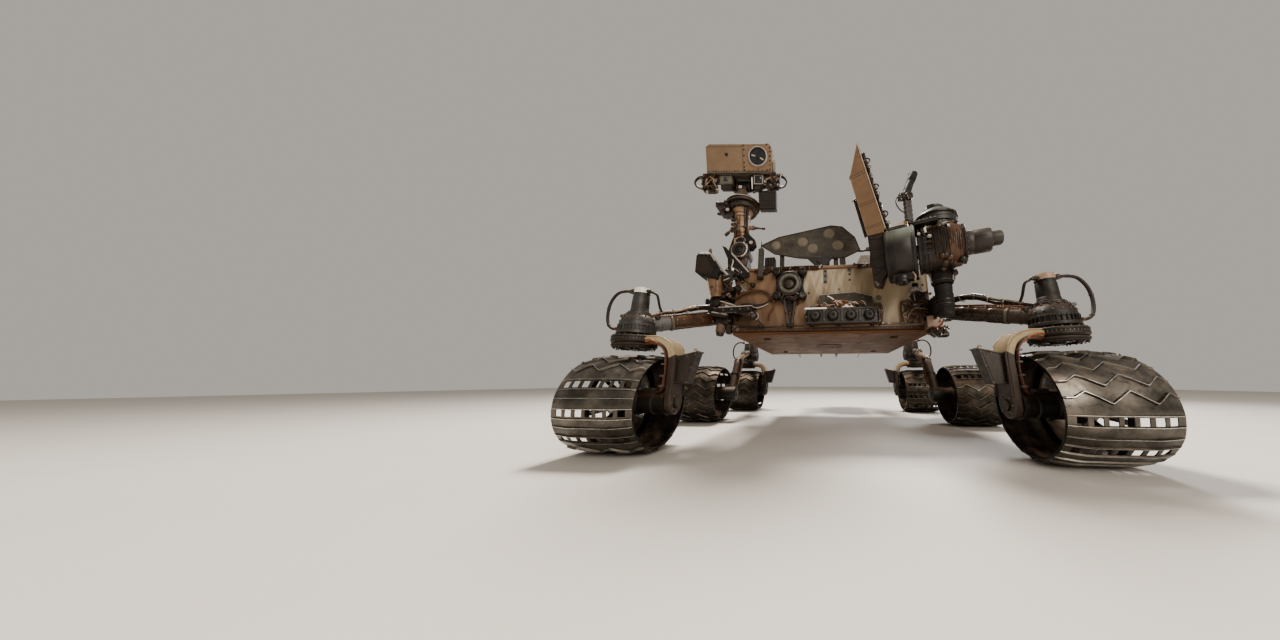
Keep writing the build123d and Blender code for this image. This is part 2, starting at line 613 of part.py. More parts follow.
# ================================================================ wheels
# name, sign of x, centre x, axle y
WHEELS = (
    ("front_left", 1, CORNER_X, FRONT_Y),
    ("front_right", -1, CORNER_X, FRONT_Y),
    ("middle_left", 1, MIDDLE_X, MID_Y),
    ("middle_right", -1, MIDDLE_X, MID_Y),
    ("rear_left", 1, CORNER_X, REAR_Y),
    ("rear_right", -1, CORNER_X, REAR_Y),
)
for wheel_name, s, centre, y in WHEELS:
    x, half = s * centre, WHEEL_W / 2
    with BuildPart() as wheel:
        # crowned skin, turned about the axle
        with BuildSketch(Plane.XZ.offset(-y)) as profile:
            with BuildLine():
                Polyline(
                    (x - half, WHEEL_R + EDGE_R),
                    (x - FLAT_HALF, 2 * WHEEL_R),
                    (x + FLAT_HALF, 2 * WHEEL_R),
                    (x + half, WHEEL_R + EDGE_R),
                    (x + half, WHEEL_R + EDGE_R - SKIN),
                    (x + FLAT_HALF, 2 * WHEEL_R - SKIN),
                    (x - FLAT_HALF, 2 * WHEEL_R - SKIN),
                    (x - half, WHEEL_R + EDGE_R - SKIN),
                    close=True,
                )
            make_face()
        revolve(profile.sketch, axis=Axis((0, y, WHEEL_R), (1, 0, 0)))
        # hub outboard of the middle, and eight flat springs out to the skin
        bar((x, y, WHEEL_R), (x + s * 80, y, WHEEL_R), HUB_R)
        bar((x - s, y, WHEEL_R), (x + s * 62, y, WHEEL_R), AXLE_R + RUN_GAP, Mode.SUBTRACT)
        spring = Plane(origin=(x + s * 22, y, WHEEL_R), x_dir=(0, 1, 0), z_dir=(s, 0, 0))
        with BuildSketch(spring) as springs:
            with PolarLocations((HUB_R + WHEEL_R) / 2 - 4, 8):
                Rectangle(WHEEL_R - HUB_R + 2, 9)
        extrude(springs.sketch, amount=40)
    finish(wheel, "wheel_" + wheel_name)
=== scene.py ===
import bpy
import bmesh
import math
import random
from mathutils import Matrix, Vector, noise


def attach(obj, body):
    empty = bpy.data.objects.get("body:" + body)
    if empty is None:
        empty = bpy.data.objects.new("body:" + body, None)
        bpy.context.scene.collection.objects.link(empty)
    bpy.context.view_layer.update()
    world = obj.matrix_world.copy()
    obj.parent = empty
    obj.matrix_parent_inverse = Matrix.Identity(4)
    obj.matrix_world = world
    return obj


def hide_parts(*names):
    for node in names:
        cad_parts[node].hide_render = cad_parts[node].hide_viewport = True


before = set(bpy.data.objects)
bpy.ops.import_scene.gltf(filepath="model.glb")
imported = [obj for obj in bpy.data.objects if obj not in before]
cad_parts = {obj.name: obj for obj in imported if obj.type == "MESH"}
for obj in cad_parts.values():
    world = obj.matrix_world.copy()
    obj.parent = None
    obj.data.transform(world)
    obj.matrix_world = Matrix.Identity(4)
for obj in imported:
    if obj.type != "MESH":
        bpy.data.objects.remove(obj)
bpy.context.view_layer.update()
random.seed(7)

# ------------------------------------------------------------------ the frame's places, metres
MID_Y = -0.075
FRONT_Y, REAR_Y = MID_Y - 1.100, MID_Y + 1.060
WHEEL_R, CORNER_X, MIDDLE_X = 0.250, 1.090, 1.180
BODY_Y0, BODY_Y1, BODY_X = MID_Y - 0.800, MID_Y + 0.500, 0.640
MAST = Vector((-0.640, -0.800, 0))
TILT = Vector((-0.640, -0.800, 1.850))
AZ = Vector((0.617, -1.125, 0))
ARM_AZ, ARM_LEAN = math.radians(-20), math.radians(12)
D = Vector((math.cos(ARM_AZ), math.sin(ARM_AZ), 0))
N = Vector((-math.sin(ARM_AZ), math.cos(ARM_AZ), 0))
UP = Vector((0, 0, 1))
SHOULDER = AZ - D * 0.343 - N * 0.072
BEAM_UP = UP * math.cos(ARM_LEAN) - N * math.sin(ARM_LEAN)
BEAM_BACK = N * math.cos(ARM_LEAN) + UP * math.sin(ARM_LEAN)
SHOULDER_Z = 1.050


def arm_point(d, n, z):
    return SHOULDER + D * d + N * n + UP * z


def beam_point(d, back, u):
    return SHOULDER + UP * SHOULDER_Z + D * d + BEAM_BACK * back + BEAM_UP * u


ELBOW = beam_point(-0.032, 0.120, 0.540)
WRIST = arm_point(-0.032, 0.330, 1.340)
pan, tilt = math.radians(5), math.radians(22)
HEAD_SIDE = Vector((math.cos(pan), math.sin(pan), 0))
HEAD_BACK = Vector((-math.sin(pan) * math.cos(tilt), math.cos(pan) * math.cos(tilt), math.sin(tilt)))
HEAD_UP = HEAD_SIDE.cross(HEAD_BACK)


def head_point(x, y, z):
    return TILT + HEAD_SIDE * x + HEAD_BACK * y + HEAD_UP * z


# ------------------------------------------------------------------ camera
camera_data = bpy.data.cameras.new("camera")
camera = bpy.data.objects.new("camera", camera_data)
bpy.context.scene.collection.objects.link(camera)
bpy.context.scene.camera = camera
camera_data.sensor_width = 36
camera_data.sensor_fit = "HORIZONTAL"
camera_data.lens = 36 * 270 / 1280
camera_data.shift_x = -160 / 1280
camera_data.clip_start, camera_data.clip_end = 0.05, 60
CAM_YAW, CAM_PITCH = math.radians(-5.8), math.radians(12.9)
look = Vector(
    (
        math.sin(CAM_YAW) * math.cos(CAM_PITCH),
        math.cos(CAM_YAW) * math.cos(CAM_PITCH),
        math.sin(CAM_PITCH),
    )
)
camera.location = (-0.015, MID_Y - 2.510, 0.355)
camera.rotation_euler = look.to_track_quat("-Z", "Y").to_euler()


# ------------------------------------------------------------------ materials
class Shader:
    """Small helper that wires a procedural material."""

    def __init__(self, name):
        self.m = bpy.data.materials.new(name)
        self.m.use_nodes = True
        self.t = self.m.node_tree
        self.t.nodes.clear()
        self.out = self.t.nodes.new("ShaderNodeOutputMaterial")
        self.b = self.t.nodes.new("ShaderNodeBsdfPrincipled")
        self.t.links.new(self.b.outputs[0], self.out.inputs[0])
        self.co = self.t.nodes.new("ShaderNodeTexCoord").outputs["Object"]

    def new(self, kind, **values):
        n = self.t.nodes.new(kind)
        for k, v in values.items():
            setattr(n, k, v)
        return n

    def link(self, a, b):
        self.t.links.new(a, b)

    def noise(self, scale, detail=4, rough=0.6, distortion=0.0, vector=None):
        n = self.new("ShaderNodeTexNoise")
        n.inputs["Scale"].default_value = scale
        n.inputs["Detail"].default_value = detail
        n.inputs["Roughness"].default_value = rough
        n.inputs["Distortion"].default_value = distortion
        self.link(vector or self.co, n.inputs["Vector"])
        return n.outputs["Fac"]

    def stretch(self, scale):
        n = self.new("ShaderNodeMapping")
        n.inputs["Scale"].default_value = scale
        self.link(self.co, n.inputs["Vector"])
        return n.outputs["Vector"]

    def ramp(self, fac, stops):
        n = self.new("ShaderNodeValToRGB")
        e = n.color_ramp.elements
        while len(e) > 1:
            e.remove(e[-1])
        for i, (p, c) in enumerate(stops):
            s = e[0] if i == 0 else e.new(p)
            s.position = p
            s.color = (*c, 1) if len(c) == 3 else c
        self.link(fac, n.inputs["Fac"])
        return n.outputs["Color"]

    def grey(self, fac, stops):
        return self.ramp(fac, [(p, (v, v, v)) for p, v in stops])

    def mix(self, fac, a, b):
        n = self.new("ShaderNodeMix", data_type="RGBA")
        for socket, value in ((n.inputs[0], fac), (n.inputs[6], a), (n.inputs[7], b)):
            if isinstance(value, (int, float)):
                socket.default_value = value
            elif isinstance(value, tuple):
                socket.default_value = (*value, 1)
            else:
                self.link(value, socket)
        return n.outputs[2]

    def math(self, op, a, b=0.0, clamp=False):
        n = self.new("ShaderNodeMath", operation=op, use_clamp=clamp)
        for socket, value in ((n.inputs[0], a), (n.inputs[1], b)):
            if isinstance(value, (int, float)):
                socket.default_value = value
            else:
                self.link(value, socket)
        return n.outputs[0]

    def upward(self, low=0.2, high=0.9):
        """1 on faces that look up: where dust settles, and, in the top-lit paints, where light from above is painted.
        """
        g = self.new("ShaderNodeNewGeometry")
        s = self.new("ShaderNodeSeparateXYZ")
        self.link(g.outputs["Normal"], s.inputs[0])
        r = self.new("ShaderNodeMapRange", interpolation_type="SMOOTHSTEP")
        r.inputs["From Min"].default_value = low
        r.inputs["From Max"].default_value = high
        self.link(s.outputs["Z"], r.inputs["Value"])
        return r.outputs["Result"]

    def bump(self, height, strength=0.3, distance=0.002, after=None):
        n = self.new("ShaderNodeBump")
        n.inputs["Strength"].default_value = strength
        n.inputs["Distance"].default_value = distance
        self.link(height, n.inputs["Height"])
        if after is not None:
            self.link(after, n.inputs["Normal"])
        self.link(n.outputs["Normal"], self.b.inputs["Normal"])
        return n.outputs["Normal"]

    def set(self, **values):
        for k, v in values.items():
            s = self.b.inputs[k.replace("_", " ")]
            if isinstance(v, (int, float)):
                s.default_value = v
            elif isinstance(v, tuple):
                s.default_value = (*v, 1)
            else:
                self.link(v, s)
        return self.m


DUST = (0.27, 0.155, 0.088)


def painted(name, base, dark, dust=0.55, rough=0.55, scale=9.0, metallic=0.0, bump=0.12, speck=0.25):
    """Paint with drifting tone, small specks and dust on what faces up."""
    s = Shader(name)
    broad = s.noise(scale, 6, 0.62)
    colour = s.mix(s.grey(broad, [(0.35, 0), (0.7, 1)]), dark, base)
    fine = s.noise(scale * 34, 3, 0.7)
    colour = s.mix(s.math("MULTIPLY", s.grey(fine, [(0.56, 0), (0.72, 1)]), speck), colour, DUST)
    streak = s.noise(6, 5, 0.7, vector=s.stretch((14, 14, 1.6)))
    up = s.math("MULTIPLY", s.upward(), dust)
    film = s.math("ADD", up, s.math("MULTIPLY", s.grey(streak, [(0.48, 0), (0.75, 1)]), dust * 0.35), clamp=True)
    colour = s.mix(film, colour, DUST)
    s.bump(s.noise(scale * 60, 2, 0.5), bump, 0.0006)
    wear = s.grey(s.noise(scale * 5, 4, 0.6), [(0.3, max(0, rough - 0.10)), (0.75, min(1, rough + 0.16))])
    return s.set(Base_Color=colour, Roughness=wear, Metallic=metallic)


def bare_metal(name, base, dark, rough=0.35, dust=0.5, scale=16.0, scratch=0.5):
    """Bare metal with scratches along one way, tone patches and dust."""
    s = Shader(name)
    patch = s.noise(scale, 5, 0.65)
    colour = s.mix(s.grey(patch, [(0.35, 0), (0.68, 1)]), dark, base)
    lines = s.noise(30, 3, 0.7, vector=s.stretch((1.2, 9, 9)))
    colour = s.mix(s.math("MULTIPLY", s.grey(lines, [(0.55, 0), (0.7, 1)]), 0.35), colour, base)
    settle = s.math("MULTIPLY", s.math("MULTIPLY", s.upward(0.0, 0.8), s.grey(s.noise(22, 5, 0.7), [(0.42, 0), (0.66, 1)])), dust)
    caked = s.math("MULTIPLY", s.grey(s.noise(7, 6, 0.7), [(0.52, 0), (0.74, 1)]), dust)
    film = s.math("ADD", settle, caked, clamp=True)
    colour = s.mix(film, colour, DUST)
    roughness = s.math("ADD", s.grey(s.noise(40, 4, 0.7), [(0.3, rough - 0.12), (0.75, rough + 0.2)]), s.math("MULTIPLY", film, 0.5), clamp=True)
    metal = s.math("SUBTRACT", 1.0, film, clamp=True)
    s.bump(s.mix(0.5, s.noise(160, 3, 0.6), lines), scratch, 0.0008)
    return s.set(Base_Color=colour, Roughness=roughness, Metallic=metal)


M = {}
# body paints
M["tan"] = painted("tan_paint", (0.235, 0.150, 0.088), (0.180, 0.110, 0.063), 0.30, 0.5)
M["tan_light"] = painted("tan_light", (0.29, 0.195, 0.120), (0.225, 0.145, 0.088), 0.25, 0.5)
M["cream"] = painted("cream_blanket", (0.47, 0.405, 0.295), (0.335, 0.275, 0.19), 0.22, 0.55, 5)
M["belly"] = painted("belly_paint", (0.148, 0.064, 0.022), (0.092, 0.038, 0.013), 0.08, 0.60, 2.2, 0.0, 0.12, 0.12)
M["dark"] = painted("dark_housing", (0.038, 0.032, 0.026), (0.018, 0.015, 0.013), 0.42, 0.45)
M["black"] = painted("black_housing", (0.014, 0.013, 0.012), (0.008, 0.0075, 0.007), 0.2, 0.38)
M["worn"] = painted("worn_edge", (0.16, 0.135, 0.11), (0.07, 0.058, 0.046), 0.45, 0.42, 22)
M["tube"] = painted("dark_tube", (0.055, 0.041, 0.031), (0.024, 0.018, 0.014), 0.5, 0.45, 14)
# paler blue-grey copy of the tube paint for the rover's right rocker: painted light
M["tube_lit_copy"] = painted("blue_grey_tube", (0.15, 0.155, 0.155), (0.075, 0.078, 0.08), 0.45, 0.42, 18)
M["motor"] = painted("motor_housing", (0.015, 0.013, 0.0095), (0.008, 0.007, 0.0055), 0.22, 0.50, 10)
# paler copy of the motor paint for the rover's right side: painted light
M["motor_lit_copy"] = painted("motor_lit_copy", (0.050, 0.050, 0.048), (0.029, 0.029, 0.028), 0.26, 0.44, 10)
M["olive"] = painted("olive_plate", (0.105, 0.094, 0.068), (0.048, 0.042, 0.031), 0.22, 0.6, 12)
# pale paint for the lit upper arc of the knuckle band: painted light
M["band_painted_light"] = painted("gooseneck_painted_light", (0.43, 0.350, 0.225), (0.30, 0.240, 0.150), 0.26, 0.5, 10)
M["greygreen"] = painted("grey_green_paint", (0.115, 0.122, 0.105), (0.062, 0.066, 0.057), 0.40, 0.45, 8)
M["lightgrey"] = painted("light_grey", (0.33, 0.31, 0.275), (0.235, 0.215, 0.185), 0.25, 0.5)
M["white"] = painted("white_paint", (0.66, 0.615, 0.54), (0.50, 0.445, 0.365), 0.45, 0.5, 7)
M["bright"] = painted("bright_tape", (0.84, 0.83, 0.79), (0.70, 0.67, 0.60), 0.12, 0.3)
M["cap_tan"] = painted("cap_tape", (0.36, 0.255, 0.20), (0.27, 0.18, 0.14), 0.25, 0.45, 24)
M["pad"] = painted("tan_pad", (0.190, 0.158, 0.118), (0.145, 0.118, 0.086), 0.12, 0.62, 20)
M["film"] = painted("brown_film", (0.105, 0.052, 0.024), (0.036, 0.019, 0.010), 0.18, 0.20, 26)
M["film_dark"] = painted("dark_film", (0.046, 0.030, 0.020), (0.016, 0.011, 0.008), 0.22, 0.24, 26)
M["seam"] = painted("seam_line", (0.075, 0.036, 0.020), (0.038, 0.020, 0.012), 0.1, 0.6)
M["red"] = painted("red_fitting", (0.22, 0.035, 0.02), (0.12, 0.02, 0.012), 0.2, 0.4, 20)
# bare metals
M["wheel"] = bare_metal("wheel_aluminium", (0.205, 0.192, 0.170), (0.085, 0.077, 0.066), 0.32, 0.24, 7, 0.4)
# darker copy of the tread metal for the middle and rear wheels: painted shade
M["wheel_shaded"] = bare_metal("wheel_painted_shade", (0.085, 0.075, 0.062), (0.032, 0.028, 0.023), 0.44, 0.30, 12)
M["wheel_inner"] = bare_metal("wheel_inner", (0.085, 0.078, 0.070), (0.028, 0.025, 0.022), 0.42, 0.45, 12)
# rib tops much paler than the skin: partly real wear, partly a painted highlight
M["ridge"] = bare_metal("ridge_wear_and_highlight", (0.70, 0.68, 0.64), (0.34, 0.32, 0.29), 0.30, 0.10, 34, 0.2)
M["titanium"] = bare_metal("bare_titanium", (0.58, 0.57, 0.55), (0.30, 0.29, 0.27), 0.18, 0.2, 20, 0.25)
M["steel"] = bare_metal("bright_steel", (0.58, 0.555, 0.51), (0.26, 0.24, 0.215), 0.26, 0.22, 30, 0.25)
M["gold"] = bare_metal("gold_fitting", (0.52, 0.33, 0.13), (0.32, 0.18, 0.07), 0.32, 0.2, 30, 0.2)


def cable_material(name, base, dark, rough=0.55):
    """Braided or wrapped cable: fine bands across it, and dust."""
    s = Shader(name)
    band = s.noise(260, 3, 0.6)
    colour = s.mix(s.grey(band, [(0.4, 0), (0.62, 1)]), dark, base)
    colour = s.mix(s.math("MULTIPLY", s.upward(0.1, 1.0), 0.4), colour, DUST)
    s.bump(band, 0.5, 0.0012)
    return s.set(Base_Color=colour, Roughness=rough)


M["cable"] = cable_material("dark_cable", (0.036, 0.025, 0.017), (0.014, 0.010, 0.008), 0.62)
M["copper"] = cable_material("copper_cable", (0.150, 0.060, 0.032), (0.060, 0.026, 0.015), 0.36)
M["orange"] = cable_material("orange_wire", (0.36, 0.13, 0.045), (0.20, 0.065, 0.025), 0.42)
M["braid"] = cable_material("pale_braid", (0.36, 0.29, 0.205), (0.18, 0.135, 0.09), 0.5)


def glass_material():
    s = Shader("dark_lens")
    ring = s.noise(30, 2, 0.5)
    colour = s.mix(ring, (0.008, 0.009, 0.012), (0.02, 0.022, 0.03))
    return s.set(Base_Color=colour, Roughness=0.06, Metallic=0.0, Coat_Weight=1.0, Coat_Roughness=0.03)


M["lens"] = glass_material()


M["hood"] = painted("brown_black_hood", (0.034, 0.020, 0.014), (0.016, 0.010, 0.008), 0.16, 0.42, 7)
M["edge"] = painted("pale_edge", (0.44, 0.40, 0.37), (0.32, 0.285, 0.26), 0.12, 0.38, 14)
M["bracket"] = painted("brown_bracket", (0.165, 0.120, 0.088), (0.095, 0.066, 0.048), 0.2, 0.5, 18)
M["lens_face"] = painted("grey_lens_face", (0.040, 0.040, 0.035), (0.026, 0.026, 0.023), 0.10, 0.50, 30)
M["ring_olive"] = painted("grey_olive_ring", (0.150, 0.145, 0.118), (0.090, 0.086, 0.070), 0.2, 0.45, 24)
M["copper_film"] = painted("copper_film", (0.170, 0.085, 0.038), (0.060, 0.030, 0.015), 0.12, 0.22, 22, 0.35)
M["vane"] = painted("pale_vane", (0.50, 0.42, 0.33), (0.36, 0.29, 0.22), 0.1, 0.4)
M["barrel"] = painted("barrel_paint", (0.050, 0.047, 0.042), (0.024, 0.020, 0.018), 0.0, 0.34, 5)


def painted_top_light(name, top, base, low, high, rough):
    """Painted light: paler where a round part faces up, as if lit from above, and darker below as painted shade; fine
    specks of dust over it.
    """
    s = Shader(name)
    broad = s.noise(7, 5, 0.6)
    under = s.mix(s.grey(broad, [(0.35, 0), (0.68, 1)]), tuple(c * 0.55 for c in base), base)
    over = s.mix(s.grey(broad, [(0.35, 0), (0.68, 1)]), tuple(c * 0.82 for c in top), top)
    colour = s.mix(s.upward(low, high), under, over)
    speck = s.math("MULTIPLY", s.grey(s.noise(240, 3, 0.7), [(0.58, 0), (0.72, 1)]), 0.2)
    colour = s.mix(speck, colour, DUST)
    s.bump(s.noise(300, 2, 0.5), 0.1, 0.0006)
    return s.set(Base_Color=colour, Roughness=rough)


# barrel, dome and drive housing: upper sides painted paler as light from above, lower sides darker as painted shade
M["barrel_top_lit"] = painted_top_light("barrel_painted_top_light", (0.185, 0.200, 0.168), (0.022, 0.016, 0.014), -0.05, 0.62, 0.42)
M["dome_top_lit"] = painted_top_light("dome_painted_top_light", (0.105, 0.112, 0.096), (0.038, 0.036, 0.030), 0.05, 0.75, 0.45)
M["drive_top_lit"] = painted_top_light("drive_painted_top_light", (0.095, 0.082, 0.066), (0.048, 0.040, 0.033), 0.10, 0.90, 0.45)


def front_face_material():
    """Panel film on the front: tan at the rover's right, cream at its left, with leaning streaks that are a painted
    reflection; paler far to its left as painted light, darker along the bottom and in the lower corner at its right as
    painted shade.
    """
    s = Shader("front_face_film")
    axes = s.new("ShaderNodeSeparateXYZ")
    s.link(s.co, axes.inputs[0])
    turned = s.new("ShaderNodeMapping")
    turned.inputs["Rotation"].default_value = (0, math.radians(-17), 0)
    s.link(s.co, turned.inputs["Vector"])

    def long(scale):
        n = s.new("ShaderNodeMapping")
        n.inputs["Scale"].default_value = scale
        s.link(turned.outputs["Vector"], n.inputs["Vector"])
        return n.outputs["Vector"]

    tall = s.noise(3.1, 3, 0.55, 0.3, vector=long((4.6, 1.0, 0.45)))
    fine = s.noise(8, 4, 0.65, 0.3, vector=long((4.5, 1.0, 0.35)))
    broad = s.noise(3.2, 5, 0.6)
    cream = s.mix(s.grey(broad, [(0.35, 0), (0.68, 1)]), (0.205, 0.150, 0.092), (0.295, 0.232, 0.150))
    # pale and dark leaning streaks, here and on the tan below: a painted reflection of the film
    cream = s.mix(s.math("MULTIPLY", s.grey(tall, [(0.50, 0), (0.64, 1)]), 0.85), cream, (0.44, 0.375, 0.275))
    cream = s.mix(s.math("MULTIPLY", s.grey(tall, [(0.30, 1), (0.44, 0)]), 0.55), cream, (0.150, 0.105, 0.065))
    tan = s.mix(s.grey(broad, [(0.35, 0), (0.68, 1)]), (0.150, 0.084, 0.045), (0.225, 0.135, 0.077))
    tan = s.mix(s.math("MULTIPLY", s.grey(tall, [(0.50, 0), (0.66, 1)]), 0.5), tan, (0.27, 0.195, 0.125))
    across = s.new("ShaderNodeMapRange", interpolation_type="SMOOTHSTEP")
    across.inputs["From Min"].default_value = -0.30
    across.inputs["From Max"].default_value = 0.02
    s.link(s.math("ADD", axes.outputs["X"], s.math("MULTIPLY", s.math("SUBTRACT", axes.outputs["Z"], 0.86), 0.55)), across.inputs["Value"])
    # paler cream far to the rover's left: painted light
    right = s.new("ShaderNodeMapRange", interpolation_type="SMOOTHSTEP")
    right.inputs["From Min"].default_value = 0.22
    right.inputs["From Max"].default_value = 0.50
    s.link(axes.outputs["X"], right.inputs["Value"])
    cream = s.mix(s.math("MULTIPLY", right.outputs["Result"], 0.55), cream, (0.52, 0.435, 0.305))
    colour = s.mix(across.outputs["Result"], tan, cream)
    # bottom band and the lower corner at the rover's right made darker: painted shade
    low = s.new("ShaderNodeMapRange", interpolation_type="SMOOTHSTEP")
    low.inputs["From Min"].default_value = 0.80
    low.inputs["From Max"].default_value = 0.69
    s.link(axes.outputs["Z"], low.inputs["Value"])
    below = s.new("ShaderNodeMapRange", interpolation_type="SMOOTHSTEP")
    below.inputs["From Min"].default_value = -0.18
    below.inputs["From Max"].default_value = -0.50
    s.link(s.math("ADD", axes.outputs["X"], s.math("MULTIPLY", s.math("SUBTRACT", axes.outputs["Z"], 0.80), 1.6)), below.inputs["Value"])
    colour = s.mix(s.math("MULTIPLY", below.outputs["Result"], 0.60), colour, (0.070, 0.042, 0.024))
    colour = s.mix(s.math("MULTIPLY", low.outputs["Result"], 0.55), colour, (0.105, 0.060, 0.034))
    speck = s.grey(s.noise(120, 3, 0.7), [(0.60, 0), (0.72, 1)])
    colour = s.mix(s.math("MULTIPLY", speck, 0.3), colour, DUST)
    s.bump(s.mix(0.35, tall, fine), 0.30, 0.004)
    return s.set(Base_Color=colour, Roughness=s.grey(fine, [(0.3, 0.36), (0.7, 0.55)]))


# near-black, darker than the black housing paint, for parts that lie in shade: painted shade
M["deep"] = painted("painted_shade_black", (0.0075, 0.006, 0.005), (0.004, 0.0035, 0.003), 0.08, 0.74, 9)
M["arm_tan"] = painted("arm_tan", (0.192, 0.120, 0.070), (0.152, 0.092, 0.053), 0.20, 0.5)
M["wrap"] = painted("drive_wrap", (0.058, 0.036, 0.021), (0.020, 0.014, 0.010), 0.10, 0.34, 18, 0.0)
M["wrap_red"] = painted("drive_wrap_red", (0.120, 0.056, 0.028), (0.042, 0.022, 0.013), 0.10, 0.34, 18, 0.0)
M["head_tan"] = painted("head_tan", (0.212, 0.147, 0.091), (0.168, 0.113, 0.069), 0.22, 0.5)
M["head_plate"] = painted("head_plate", (0.225, 0.150, 0.092), (0.178, 0.115, 0.070), 0.20, 0.5)
# much paler copy of the tan paint for the mast tube: painted light
M["neck_tan_lit"] = painted("neck_tan_lit", (0.400, 0.275, 0.172), (0.290, 0.190, 0.115), 0.20, 0.5, 16)
M["canister"] = painted("canister_tan", (0.215, 0.132, 0.074), (0.150, 0.090, 0.050), 0.20, 0.45, 12)
M["stalk"] = painted("stalk_grey", (0.060, 0.059, 0.052), (0.034, 0.033, 0.029), 0.20, 0.45, 18)
M["cover_olive"] = painted("cover_olive", (0.062, 0.054, 0.036), (0.030, 0.026, 0.018), 0.18, 0.5, 14)
M["tray_olive"] = painted("tray_olive", (0.076, 0.068, 0.050), (0.036, 0.032, 0.024), 0.16, 0.55, 14)
# dimmer ridge for the middle and rear wheels: wear and painted highlight under painted shade
M["ridge_shaded"] = bare_metal("ridge_wear_highlight_shaded", (0.30, 0.28, 0.25), (0.10, 0.09, 0.08), 0.36, 0.35, 34, 0.2)
M["rough_black"] = painted("rough_black", (0.011, 0.0095, 0.008), (0.006, 0.0055, 0.005), 0.10, 0.72, 14)
M["front_face"] = front_face_material()
ORDER = list(M)


def index(name):
    return ORDER.index(name)


# ------------------------------------------------------------------ mesh building
def basis(axis, hint=None):
    """Three unit vectors, the last along axis."""
    w = Vector(axis).normalized()
    h = Vector(hint) if hint is not None else (Vector((0, 0, 1)) if abs(w.z) < 0.9 else Vector((1, 0, 0)))
    u = (h - w * h.dot(w)).normalized()
    return u, w.cross(u), w


